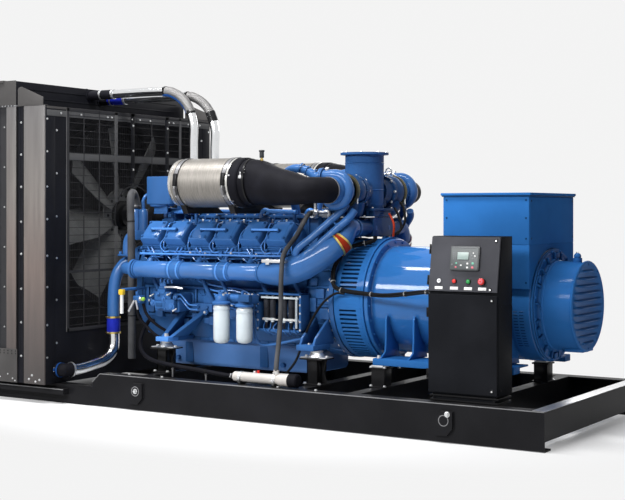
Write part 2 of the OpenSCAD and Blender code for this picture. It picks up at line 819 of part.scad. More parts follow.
module lower_coolant_pipe() {
  z = crank_height + 240;
  low = rail_height + 3;
  pump_x = x_block - 180 - seat;
  color("#3f76c8")
  smooth_pipe([[pump_x, -250, z], [pump_x - 45, -250, z], [pump_x - 120, -285, z - 45], [pump_x - 160, -325, z - 150],
               [pump_x - 165, -345, z - 320], [pump_x - 158, -352, z - 520], [pump_x - 152, -365, z - 680],
               [pump_x - 155, -450, low + 45], [pump_x - 158, -600, low + 15], [x_shroud + 88, -740, low],
               [x_shroud + 84, -820, low], [x_shroud + 72, -868, low], [x_shroud + 60, -880, low],
               [x_shroud + seat, -880, low]], 48, 2, 12);
}

// ---- alternator ----

module adaptor_drum() {
  wall = 14;
  color("#2f6fc4") difference() {
    union() {
      bar_x(x_drum, x_flange - 20, drum_radius, 0, crank_height);
      bar_x(x_flange - 21, x_flange, drum_radius + 12, 0, crank_height);
    }
    bar_x(x_drum + wall, x_flange - wall, drum_radius - wall, 0, crank_height);
    // Two groups of air slots on each side
    for (side = [0, 180], group = [-26, 26], i = [-2 : 2])
      translate([0, 0, crank_height]) rotate([side + group + i * 8.5, 0, 0])
        block([x_drum + 45, -drum_radius - 5, -11], [x_flange - 50, -drum_radius + wall + 5, 11]);
  }
}

module alternator_barrel() {
  color("#2f6fc4") {
    bar_x(x_flange, x_bracket, barrel_radius, 0, crank_height);
    bar_x(x_flange, x_barrel, drum_radius, 0, crank_height);
    both_sides() {
      block([x_barrel + 75, -foot_rail_y - foot_rail_width / 2, foot_rail_z],
            [x_bracket - 60, -foot_rail_y + foot_rail_width / 2, foot_rail_z + foot_rail_height]);
      for (x = [x_barrel + 120, x_barrel + 330, x_barrel + 700, x_barrel + 1000])
        translate([x, 0, 0]) rotate([90, 0, 90]) linear_extrude(14)
          polygon([[-foot_rail_y - 40, foot_rail_z + foot_rail_height - 1], [-200, foot_rail_z + foot_rail_height - 1],
                   [-300, crank_height - 100], [-barrel_radius + 2, crank_height - 70],
                   [-barrel_radius - 12, crank_height - 100]]);
    }
  }
}

module alternator_pedestals() {
  top = foot_rail_z - pad_height;
  both_sides() for (x = [beam_x[2], beam_x[3]]) {
    color("#17181a") block([x - 60, -foot_rail_y - 60, rail_height], [x + 60, -foot_rail_y + 60, top]);
    color("silver") block([x - 50, -foot_rail_y - 50, top - 1], [x + 50, -foot_rail_y + 50, foot_rail_z]);
  }
}

module alternator_end_bracket() {
  color("#3a78c8") difference() {
    union() {
      bar_x(x_bracket + face_gap, x_cowl, barrel_radius - 20, 0, crank_height);
      for (i = [0 : 17]) translate([0, 0, crank_height]) rotate([i * 20, 0, 0])
        block([x_bracket + face_gap, -7, 0], [x_cowl - 6, 7, barrel_radius + 7]);
    }
    bar_x(x_cowl - 25, x_cowl + 1, cowl_radius - 15, 0, crank_height);
  }
}

module alternator_cowl() {
  wall = 6;
  color("#2f6fc4") difference() {
    union() {
      bar_x(x_cowl, x_cap, cowl_radius, 0, crank_height);
      bar_x(x_cap - 1, x_cap + cap_length - 22, cowl_radius, 0, crank_height);
      bar_x(x_cap + cap_length - 23, x_cap + cap_length, cowl_radius - 14, 0, crank_height);
    }
    bar_x(x_cowl - 1, x_cap + cap_length - wall, cowl_radius - wall - 14, 0, crank_height);
    // Air openings between the slats of the end
    for (i = [-5 : 5])
      let (half = sqrt(pow(cowl_radius - 45, 2) - pow(i * 42, 2)))
        block([x_cap + cap_length - wall - 1, -half, crank_height + i * 42 - 12],
              [x_cap + cap_length + 1, half, crank_height + i * 42 + 12]);
  }
}

// Square casing round the upper half of the barrel, under the terminal box
module alternator_casing() {
  color("#2b63b5") difference() {
    block([box_x, -box_width / 2, casing_bottom], [x_bracket, box_width / 2, casing_top]);
    bar_x(box_x - 1, x_bracket + 1, barrel_radius + seat, 0, crank_height);
  }
}

module terminal_box() {
  top_lip = 14;
  lid = 24;
  color("#2b63b5") {
    block([box_x, -box_width / 2, casing_top], [box_x + box_length, box_width / 2, box_top - lid]);
    block([box_x - top_lip, -box_width / 2 - top_lip, box_top - lid],
          [box_x + box_length + top_lip, box_width / 2 + top_lip, box_top]);
  }
}

// ---- control cabinet ----

// Outline of the cabinet's side, from its front foot round to the back
module cabinet_side(inset = 0) {
  polygon([[inset, plinth + inset], [cabinet_depth - inset, plinth + inset],
           [cabinet_depth - inset, cabinet_height - inset],
           [panel_lean + inset, cabinet_height - inset], [inset, cabinet_height - panel_height]]);
}

// A hinge knuckle on the left edge, between two heights along the pin
module knuckle(z1, z2) {
  translate([-knuckle_x, -knuckle_y, z1]) cylinder(r = knuckle_radius, h = z2 - z1);
}

// Knuckles that stay on the cabinet, each with a leaf to its side
module fixed_knuckles(heights) {
  for (z = heights) {
    knuckle(z, z + knuckle_length);
    block([-knuckle_x - 3, -knuckle_y, z], [0.5, 15, z + knuckle_length]);
  }
}

// Knuckles that turn with the door, each with a leaf to its edge
module door_knuckles(heights) {
  for (z = heights) {
    knuckle(z + knuckle_length + seat, z + 2 * knuckle_length);
    block([-knuckle_x, -knuckle_y - 3, z + knuckle_length + seat],
          [door_edge + 0.5, -knuckle_y + 3, z + 2 * knuckle_length]);
  }
}

// Frame of the sloped panel: +Z runs up its face
module panel_frame() {
  translate([0, 0, panel_z]) rotate([-panel_angle, 0, 0]) children();
}

module cabinet_body() {
  color("#1d1e20") translate([cabinet_x, cabinet_y, cab_bottom]) {
    difference() {
      rotate([90, 0, 90]) linear_extrude(cabinet_width) cabinet_side();
      translate([cabinet_wall, 0, 0]) rotate([90, 0, 90])
        linear_extrude(cabinet_width - cabinet_wall * 2) translate([-20, 0]) cabinet_side(cabinet_wall);
    }
    block([20, 12, 0], [cabinet_width - 20, cabinet_depth, plinth + 1]);
    fixed_knuckles(lower_hinges);
    panel_frame() fixed_knuckles(upper_hinges);
  }
}

module cabinet_lower_door() {
  color("#1d1e20") translate([cabinet_x, cabinet_y, cab_bottom]) {
    block([door_edge, -door_gap - door_skin, plinth + 8], [cabinet_width - 2, -door_gap, panel_z - 14]);
    door_knuckles(lower_hinges);
  }
}

module cabinet_upper_door() {
  color("#1d1e20") translate([cabinet_x, cabinet_y, cab_bottom]) panel_frame() {
    block([door_edge, -door_gap - door_skin, 2], [cabinet_width - 2, -door_gap, panel_length - 6]);
    door_knuckles(upper_hinges);
  }
}

module panel_controls() {
  face = -door_gap - door_skin;
  color("#333")
  translate([cabinet_x, cabinet_y, cab_bottom]) panel_frame() {
    block([145, face - 18, 130], [342, face, 282]);
    for (x = [75, 180, 275]) bar_y(face - 14, face, 12, x, 65);
    bar_y(face - 34, face, 20, 370, 65);
  }
}

module cable_loom() {
  z = crank_height;
  route = [[crossover[1] - 20, -200, crossover_z[0] - seat], [crossover[1] - 20, -200, crossover_z[0] - 20],
           [crossover[1] - 55, -215, z + 400], [x_drum + 105, -240, z + 382], [x_drum + 45, -275, z + 358],
           [x_drum + 8, -330, z + 305], [x_drum - 3, -388, z + 232], [x_drum + 4, -430, z + 150],
           [x_drum + 40, -450, z + 92], [x_drum + 110, -456, z + 73], [x_drum + 240, -466, z + 62],
           [x_drum + 440, -492, z + 56], [x_drum + 640, -560, z + 74], [x_drum + 810, -640, z + 94],
           [cabinet_x - 50, -692, z + 100], [cabinet_x - seat, -692, z + 100]];
  color("#1b1b1d") smooth_pipe(route, 19, 3, 8);
}

skid_rail_near();
skid_rail_far();
skid_end_beam();
skid_cross_beams();
radiator_base_frame();
radiator_side_near();
radiator_side_far();
radiator_core();
radiator_top_tank();
radiator_bottom_tank();
shroud_frame();
fan_shroud();
fan_guard();
fan_rotor();
fan_drive();
engine_block();
oil_pan();
gear_case();
flywheel_housing();
cylinder_heads_near();
cylinder_heads_far();
coolant_manifolds();
charge_air_elbows();
intake_plenum();
air_filters();
intake_hoses();
turbochargers();
exhaust_outlet();
turbo_support();
header_tank();
breather_canisters();
breather_hose();
oil_filters();
oil_filter_heads();
fuel_pump();
injector_rack();
coolant_heater();
heater_hoses();
engine_feet();
engine_mounts();
engine_pedestals();
upper_coolant_pipes();
lower_coolant_pipe();
adaptor_drum();
alternator_barrel();
alternator_pedestals();
alternator_end_bracket();
alternator_cowl();
alternator_casing();
terminal_box();
cabinet_body();
cabinet_upper_door();
cabinet_lower_door();
panel_controls();
cable_loom();
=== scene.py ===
"""Looks of an open diesel generator set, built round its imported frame. Metres, +Z up, -Y is the control side."""

import math
import random

import bmesh
import bpy
from mathutils import Matrix, Vector


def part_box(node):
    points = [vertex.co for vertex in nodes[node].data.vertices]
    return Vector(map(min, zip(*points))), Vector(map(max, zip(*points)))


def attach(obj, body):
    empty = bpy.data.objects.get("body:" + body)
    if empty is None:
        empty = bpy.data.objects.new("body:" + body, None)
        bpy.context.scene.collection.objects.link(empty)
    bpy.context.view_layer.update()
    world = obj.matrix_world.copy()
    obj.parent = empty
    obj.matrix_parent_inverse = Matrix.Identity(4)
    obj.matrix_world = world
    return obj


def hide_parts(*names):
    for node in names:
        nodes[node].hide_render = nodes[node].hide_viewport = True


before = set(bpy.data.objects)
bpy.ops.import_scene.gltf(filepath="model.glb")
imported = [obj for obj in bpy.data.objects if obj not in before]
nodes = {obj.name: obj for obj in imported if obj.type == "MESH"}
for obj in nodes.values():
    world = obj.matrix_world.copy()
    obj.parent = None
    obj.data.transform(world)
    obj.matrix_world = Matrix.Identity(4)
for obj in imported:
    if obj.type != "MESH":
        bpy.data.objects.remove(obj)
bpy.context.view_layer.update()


def vec(x, y, z):
    return Vector((x, y, z))


def shifted(origin, points):
    """Points that are given from an origin, in two or three dimensions."""
    moved = [tuple(o + c for o, c in zip(origin, point)) for point in points]
    return moved if len(origin) == 2 else [Vector(point) for point in moved]


UP = vec(0, 0, 1)
LEFT = vec(-1, 0, 0)
RIGHT = vec(1, 0, 0)
NEAR = vec(0, -1, 0)
FAR = vec(0, 1, 0)


# ---- shader maths ----

class Wire:
    """A shader socket that can be used in sums with numbers and other wires."""

    def __init__(self, sheet, socket):
        self.sheet = sheet
        self.socket = socket

    def maths(self, operation, *others):
        return self.sheet.add("Math", dict(enumerate((self,) + others)), operation=operation)

    def __add__(self, other):
        return self.maths("ADD", other)

    def __mul__(self, other):
        return self.maths("MULTIPLY", other)

    def __sub__(self, other):
        return self.maths("SUBTRACT", other)

    __radd__ = __add__
    __rmul__ = __mul__

    def above(self, low, high):
        """0 under low, 1 over high, smooth between."""
        return self.sheet.add("MapRange", {0: self, 1: low, 2: high}, interpolation_type="SMOOTHSTEP")


class Sheet:
    """The node tree of one material, ending in a Principled shader."""

    def __init__(self, name):
        self.material = bpy.data.materials.new(name)
        self.material.use_nodes = True
        self.tree = self.material.node_tree
        self.shader = self.tree.nodes["Principled BSDF"]
        self.place = self.add("TexCoord", out="Object")

    def add(self, kind, values=None, out=0, stops=None, **settings):
        """One node: its settings first, then the values or wires of its sockets."""
        node = self.tree.nodes.new("ShaderNode" + kind)
        for key, value in settings.items():
            setattr(node, key, value)
        if stops:
            ramp = node.color_ramp
            while len(ramp.elements) < len(stops):
                ramp.elements.new(1.0)
            for element, (position, colour) in zip(ramp.elements, stops):
                element.position = position
                element.color = (*colour, 1.0)
        for key, value in (values or {}).items():
            self.feed(node.inputs[key], value)
        return Wire(self, node.outputs[out])

    def feed(self, socket, value):
        if isinstance(value, Wire):
            self.tree.links.new(value.socket, socket)
        elif isinstance(value, (tuple, list)) and len(value) == 3 and socket.type == "RGBA":
            socket.default_value = (*value, 1.0)
        else:
            socket.default_value = value

    def noise(self, scale, detail=3.0, roughness=0.5, stretch=(1, 1, 1)):
        place = self.place
        if stretch != (1, 1, 1):
            place = self.add("Mapping", {"Vector": place, "Scale": stretch})
        return self.add("TexNoise", {"Vector": place, "Scale": scale, "Detail": detail,
            "Roughness": roughness})

    def blend(self, factor, a, b):
        """Colour a where factor is 0 and b where it is 1."""
        return self.add("Mix", {0: factor, 6: a, 7: b}, out=2, data_type="RGBA")

    def facing_up(self):
        normal = self.add("NewGeometry", out="Normal")
        return self.add("SeparateXYZ", {0: normal}, out="Z")

    def crevice(self, distance=0.05):
        """Ambient occlusion for painted shade: 1 in the open and towards 0 in gaps and corners."""
        return self.add("AmbientOcclusion", {"Distance": distance}, out="AO", samples=4, only_local=False)

    def bump(self, height, strength, distance=0.001):
        return self.add("Bump", {"Height": height, "Strength": strength, "Distance": distance})

    def finish(self, colour, roughness, normal=None, **constants):
        self.feed(self.shader.inputs["Base Color"], colour)
        self.feed(self.shader.inputs["Roughness"], roughness)
        if normal is not None:
            self.feed(self.shader.inputs["Normal"], normal)
        for key, value in constants.items():
            self.feed(self.shader.inputs[key.replace("_", " ").title().replace("Ior", "IOR")], value)
        return self.material


def shade(colour, factor):
    return tuple(c * factor for c in colour)


# ---- materials ----

def glossy_paint(name, colour, roughness=0.3, cast=0.0, coat=0.2, dark=0.5):
    """Sprayed paint, with orange peel, painted shade in gaps and corners and, on castings, the sand texture under it.
    """
    s = Sheet(name)
    open_air = s.crevice(0.1)
    patch = s.noise(2.3, 4.0).above(0.35, 0.7)
    grain = s.noise(38.0, 5.0)
    base = s.blend(patch, shade(colour, 0.9), shade(colour, 1.1))
    base = s.blend(grain.above(0.45, 0.75) * (0.35 * cast), base, shade(colour, 0.72))
    # Painted shade: where ambient occlusion finds gaps and corners, the colour is darkened towards colour times dark.
    base = s.blend(open_air.above(0.15, 0.8), shade(colour, dark), base)
    worn = roughness + (grain - 0.5) * (0.1 + 0.25 * cast) + patch * 0.05
    height = s.noise(420.0, 2.0) * 0.25
    if cast:
        height = height + s.noise(95.0, 4.0, 0.65) * (2.2 * cast)
    dull = (patch * 0.3 + grain * 0.5) * -coat + coat * 1.3
    return s.finish(base, worn, s.bump(height, 0.35), specular_ior_level=0.0, coat_weight=dull,
        coat_roughness=roughness * 0.5)


def satin_paint(name, colour, roughness=0.45, dust=0.12, coat=0.08):
    """Satin black or grey paint with a film of dust on what faces up."""
    s = Sheet(name)
    patch = s.noise(3.1, 5.0).above(0.3, 0.75)
    speck = s.noise(160.0, 3.0)
    base = s.blend(patch, shade(colour, 0.85), shade(colour, 1.2))
    settled = s.facing_up().above(0.5, 1.0) * s.noise(9.0, 5.0).above(0.35, 0.8) * dust
    base = s.blend(settled, base, (0.19, 0.18, 0.165))
    rough = roughness + (speck - 0.5) * 0.16 + settled * 0.8
    return s.finish(base, rough, s.bump(s.noise(330.0, 3.0), 0.25), specular_ior_level=0.015,
        coat_weight=coat, coat_roughness=roughness * 0.6)


def powder_coat(name, colour):
    """Fine textured powder coat."""
    s = Sheet(name)
    texture = s.noise(620.0, 3.0, 0.6)
    base = s.blend(s.noise(4.0, 4.0).above(0.3, 0.8), shade(colour, 0.85), shade(colour, 1.2))
    rough = 0.42 + (texture - 0.5) * 0.2
    return s.finish(base, rough, s.bump(texture, 0.5, 0.0006), specular_ior_level=0.015)


def sheet_with_painted_sheen(name):
    """Dark powder-coated sheet with a painted sheen that follows height: a reflection that is grey above and warmer
    and redder lower down, as its surroundings colour it, and painted shade towards the foot.
    """
    s = Sheet(name)
    height = s.add("SeparateXYZ", {0: s.place}, out="Z")
    # Painted sheen and shade by height: darkest at the foot, lightest and warmest partway up, greyer at the top.
    painted_sheen_by_height = s.add("ValToRGB", {"Fac": height.maths("DIVIDE", 2.2)}, out="Color",
        stops=[(0.0, (0.04, 0.037, 0.037)), (0.25, (0.115, 0.094, 0.088)), (0.45, (0.185, 0.145, 0.13)),
        (0.7, (0.19, 0.172, 0.16)), (1.0, (0.135, 0.13, 0.13))])
    streak = s.noise(5.0, 4.0, stretch=(6, 6, 0.4))
    base = s.blend(streak.above(0.3, 0.8) * 0.35, painted_sheen_by_height, (0.05, 0.047, 0.046))
    rough = 0.38 + (s.noise(60.0, 4.0) - 0.5) * 0.2
    return s.finish(base, rough, s.bump(s.noise(500.0, 3.0), 0.3), metallic=0.25)


def brushed_steel(name, colour, roughness=0.3, brush=0.55):
    """Stainless sheet with fine brush lines round the piece."""
    s = Sheet(name)
    fine = s.noise(9.0, 6.0, 0.7, stretch=(22, 1.2, 1.2))
    broad = s.noise(3.0, 3.0, 0.5, stretch=(9, 0.6, 0.6))
    cloud = s.noise(5.0, 4.0)
    base = s.blend(fine.above(0.3, 0.7) * brush, shade(colour, 1.15), shade(colour, 0.62))
    base = s.blend(broad.above(0.4, 0.75) * 0.3, base, shade(colour, 0.78))
    rough = roughness + (fine - 0.5) * 0.18 + cloud * 0.08
    return s.finish(base, rough, s.bump(fine, 0.3, 0.0008), metallic=0.85)


def polished_steel(name, colour=(0.78, 0.79, 0.8), roughness=0.12):
    s = Sheet(name)
    haze = s.noise(14.0, 5.0).above(0.35, 0.8)
    scratch = s.noise(120.0, 3.0, stretch=(0.2, 1, 1))
    base = s.blend(haze * 0.25, colour, shade(colour, 0.72))
    return s.finish(base, roughness + haze * 0.12 + (scratch - 0.5) * 0.06, s.bump(scratch, 0.08, 0.0005),
        metallic=1.0)


def plated(name, colour, roughness=0.3, stain=(0.25, 0.2, 0.14)):
    """Zinc or brass plating with dull spots."""
    s = Sheet(name)
    spot = s.noise(70.0, 4.0).above(0.5, 0.8)
    base = s.blend(spot * 0.45, colour, stain)
    return s.finish(base, roughness + spot * 0.25, s.bump(s.noise(300.0, 3.0), 0.25, 0.0006), metallic=0.9)


def rubber(name, colour, roughness=0.6, ribbed=0.0):
    s = Sheet(name)
    grain = s.noise(240.0, 4.0)
    base = s.blend(s.noise(8.0, 4.0).above(0.3, 0.8), shade(colour, 0.8), shade(colour, 1.35))
    height = grain
    if ribbed:
        height = height + s.noise(30.0, 2.0, stretch=(0.2, 1, 1)) * ribbed
    return s.finish(base, roughness + (grain - 0.5) * 0.2, s.bump(height, 0.35), specular_ior_level=0.06)


def plastic(name, colour, roughness=0.35, glow=0.0):
    s = Sheet(name)
    grain = s.noise(700.0, 2.0)
    cloud = s.noise(30.0, 3.0).above(0.3, 0.8)
    base = s.blend(cloud * 0.3, colour, shade(colour, 0.8))
    if glow:
        s.feed(s.shader.inputs["Emission Color"], base)
        s.shader.inputs["Emission Strength"].default_value = glow
    return s.finish(base, roughness + (grain - 0.5) * 0.12, s.bump(grain, 0.15, 0.0004))


def filter_paint(name, colour=(0.6, 0.67, 0.71)):
    """White enamel on a pressed canister, faintly greyed by handling."""
    s = Sheet(name)
    smudge = s.noise(11.0, 5.0).above(0.42, 0.8)
    base = s.blend(smudge * 0.25, colour, shade(colour, 0.58))
    return s.finish(base, 0.28 + smudge * 0.15, s.bump(s.noise(300.0, 2.0), 0.12), coat_weight=0.4)


def fin_stack(name):
    """Black painted cooling fins seen through the fan."""
    s = Sheet(name)
    along = s.add("SeparateXYZ", {0: s.place}, out="Z")
    fin = (along * 900.0).maths("SINE")
    tube = (s.add("SeparateXYZ", {0: s.place}, out="Y") * 240.0).maths("SINE")
    base = s.blend(fin.above(-0.4, 0.6), (0.012, 0.012, 0.014), (0.04, 0.04, 0.044))
    base = s.blend(tube.above(0.75, 0.95), base, (0.06, 0.06, 0.065))
    return s.finish(base, 0.6 + fin * 0.05, s.bump(fin + tube, 0.6, 0.002), specular_ior_level=0.25)


def blade_paint(name):
    """Matt grey paint on the fan blades, with a cloudy tone that varies at random."""
    s = Sheet(name)
    cloud = s.noise(6.0, 5.0, 0.6).above(0.3, 0.75)
    base = s.blend(cloud, (0.105, 0.107, 0.105), (0.17, 0.172, 0.17))
    return s.finish(base, 0.5 + cloud * 0.15, s.bump(s.noise(200.0, 3.0), 0.25), specular_ior_level=0.2)


BLUE = (0.038, 0.128, 0.345)
SKY = (0.027, 0.145, 0.42)
engine_paint = glossy_paint("engine_paint", BLUE, 0.3, cast=0.35)
cast_paint = glossy_paint("cast_engine_paint", BLUE, 0.34, cast=0.9, coat=0.35, dark=0.3)
# 1.2 times the engine blue: lighter partly as a painted highlight for the manifold's highlight band; the full coat is
#                            real gloss.
pipe_paint = glossy_paint("blue_pipe_paint", shade(BLUE, 1.2), 0.26, cast=0.0, coat=1.0, dark=0.6)
# Engine blue at twice the brightness: a painted highlight, used on thin pipes, wires, bars, clamps, studs, lifting
# hooks, louvre lips and the front foot plate.
highlight_blue_paint = glossy_paint("painted_highlight_blue", shade(BLUE, 2.0), 0.2, cast=0.0, coat=1.0, dark=0.5)
# Lighter than the engine blue as painted light: it stands for the front light and the floor's reflection on the pan.
pan_paint = glossy_paint("oil_pan_paint", (0.1, 0.23, 0.53), 0.3, cast=0.15, coat=0.3, dark=0.6)
barrel_paint = glossy_paint("barrel_paint", SKY, 0.15, cast=0.08, coat=0.7, dark=0.55)
strap_steel = plated("strap_steel", (0.26, 0.26, 0.27), 0.35, stain=(0.08, 0.08, 0.08))
smooth_paint = glossy_paint("smooth_engine_paint", shade(BLUE, 1.1), 0.22, cast=0.0, coat=0.5, dark=0.5)
stack_paint = glossy_paint("stack_paint", shade(BLUE, 0.85), 0.4, cast=0.9, coat=0.2, dark=0.4)
tank_paint = glossy_paint("tank_paint", shade(BLUE, 0.82), 0.2, cast=0.0, coat=0.3, dark=0.6)
deep_paint = glossy_paint("deep_engine_paint", shade(BLUE, 0.62), 0.38, cast=0.7, coat=0.25, dark=0.4)
louvre_paint = glossy_paint("louvre_paint", shade(SKY, 0.9), 0.35, cast=0.0, coat=0.05, dark=1.0)
terminal_paint = glossy_paint("terminal_box_paint", SKY, 0.3, cast=0.04, coat=0.03, dark=0.6)
alternator_paint = glossy_paint("alternator_paint", SKY, 0.22, cast=0.08, coat=0.14, dark=0.55)
alternator_cast = glossy_paint("alternator_cast_paint", shade(SKY, 0.8), 0.34, cast=0.8)
alternator_dark = glossy_paint("alternator_shadow_paint", shade(SKY, 0.35), 0.4, cast=0.4, coat=0.2)
skid_paint = satin_paint("skid_black_paint", (0.0115, 0.0115, 0.013), 0.36, coat=0.12)
# Light grey on the skid's lips and rims: partly worn edges, partly a painted highlight.
worn_edge_and_highlight_paint = satin_paint("skid_worn_edge_and_highlight", (0.2, 0.2, 0.205), 0.3, dust=0.3, coat=0.3)
box_paint = satin_paint("radiator_black_paint", (0.012, 0.0125, 0.016), 0.42, dust=0.06)
grey_paint = satin_paint("radiator_grey_paint", (0.075, 0.072, 0.071), 0.42, dust=0.1)
column_sheen_sheet = sheet_with_painted_sheen("radiator_column_painted_sheen")
guard_paint = satin_paint("guard_paint", (0.035, 0.035, 0.038), 0.4, dust=0.1)
bar_paint = satin_paint("guard_bar_paint", (0.1, 0.1, 0.102), 0.45, dust=0.05)
fins = fin_stack("core_fins")
blade_grey = blade_paint("fan_blade_paint")
stainless = brushed_steel("stainless_sheet", (0.285, 0.268, 0.245), 0.42, 0.8)
steel_band = brushed_steel("bright_band", (0.62, 0.61, 0.585), 0.2, 0.3)
pipe_steel = polished_steel("polished_pipe")
zinc = plated("zinc_plate", (0.72, 0.73, 0.74))
brass = plated("brass_plate", (0.62, 0.45, 0.14), 0.28)
gold = plated("yellow_zinc_plate", (0.66, 0.5, 0.13), 0.3)
olive = plated("heat_tinted_steel", (0.085, 0.08, 0.05), 0.45, stain=(0.03, 0.028, 0.02))
cast_alloy = plated("cast_alloy", (0.6, 0.61, 0.62), 0.38, stain=(0.3, 0.3, 0.3))
black_steel = satin_paint("black_steel", (0.013, 0.013, 0.014), 0.35, dust=0.03, coat=0.2)
hose_rubber = rubber("hose_rubber", (0.008, 0.008, 0.011), 0.6)
loom_rubber = rubber("loom_tape", (0.011, 0.011, 0.012), 0.45, ribbed=0.6)
blue_rubber = rubber("blue_hose", (0.018, 0.03, 0.42), 0.35)
steel_blue = rubber("blue_sleeve", (0.012, 0.055, 0.2), 0.35)
red_rubber = rubber("red_hose", (0.36, 0.035, 0.012), 0.42)
grey_rubber = rubber("grey_hose", (0.07, 0.071, 0.075), 0.5)
white_enamel = filter_paint("white_enamel")
heater_white = filter_paint("heater_enamel", (0.56, 0.53, 0.5))
cream_paint = filter_paint("cream_enamel")
rack_cylinder = rubber("rack_cylinder", (0.035, 0.037, 0.045), 0.4)
cabinet_coat = powder_coat("cabinet_powder_coat", (0.0125, 0.0132, 0.0158))
panel_coat = powder_coat("panel_powder_coat", (0.066, 0.067, 0.076))
dark_plastic = plastic("controller_plastic", (0.03, 0.033, 0.037))
screen_glass = plastic("display_glass", (0.26, 0.33, 0.31), 0.3, glow=0.25)
# Glows: on the lamp lens as a lit lamp, and on the stop button and the heater's red plug as painted light, since they
# are no lamps.
glowing_red_plastic = plastic("red_glow_plastic", (0.62, 0.02, 0.014), 0.2, glow=0.12)
green_plastic = plastic("green_lens", (0.02, 0.3, 0.07), 0.2, glow=0.1)
white_plastic = plastic("white_plastic", (0.78, 0.78, 0.76), 0.35)
yellow_plastic = plastic("yellow_plastic", (0.75, 0.5, 0.02), 0.35)
lime_plastic = plastic("green_knob", (0.25, 0.5, 0.04), 0.35)
mid_plastic = plastic("grey_button", (0.12, 0.13, 0.14), 0.4)


def woven(name):
    """Steel braid over a hose."""
    s = Sheet(name)
    x = s.add("SeparateXYZ", {0: s.place}, out="X")
    z = s.add("SeparateXYZ", {0: s.place}, out="Z")
    weave = ((x + z) * 620.0).maths("SINE") * ((x - z) * 620.0).maths("SINE")
    base = s.blend(weave.above(-0.3, 0.5), (0.05, 0.05, 0.055), (0.42, 0.41, 0.4))
    return s.finish(base, 0.4 + weave * 0.08, s.bump(weave, 0.6, 0.0015), metallic=0.6)


braid = woven("steel_braid")
mid_panel = plastic("controller_face", (0.052, 0.062, 0.064), 0.4)
plate_grey = plastic("blank_plate", (0.1, 0.11, 0.115), 0.4)
mint_plastic = plastic("green_key", (0.1, 0.42, 0.28), 0.35)
pink_plastic = plastic("red_key", (0.6, 0.1, 0.14), 0.35)
tie_plastic = plastic("cable_tie", (0.3, 0.3, 0.29), 0.4)
# Bright metal strip for the end beam's top edge: a painted highlight.
beam_edge_highlight_paint = plated("painted_beam_edge_highlight", (0.62, 0.62, 0.63), 0.3, stain=(0.2, 0.2, 0.2))


# ---- meshes ----

at = Matrix.Translation


def turned(angle, axis):
    """Rotation about one of the axes."""
    return Matrix.Rotation(angle, 4, axis)


def facing(centre, direction):
    """Place at a centre whose +Z looks along a direction."""
    return at(centre) @ Vector(direction).to_track_quat("Z", "Y").to_matrix().to_4x4()


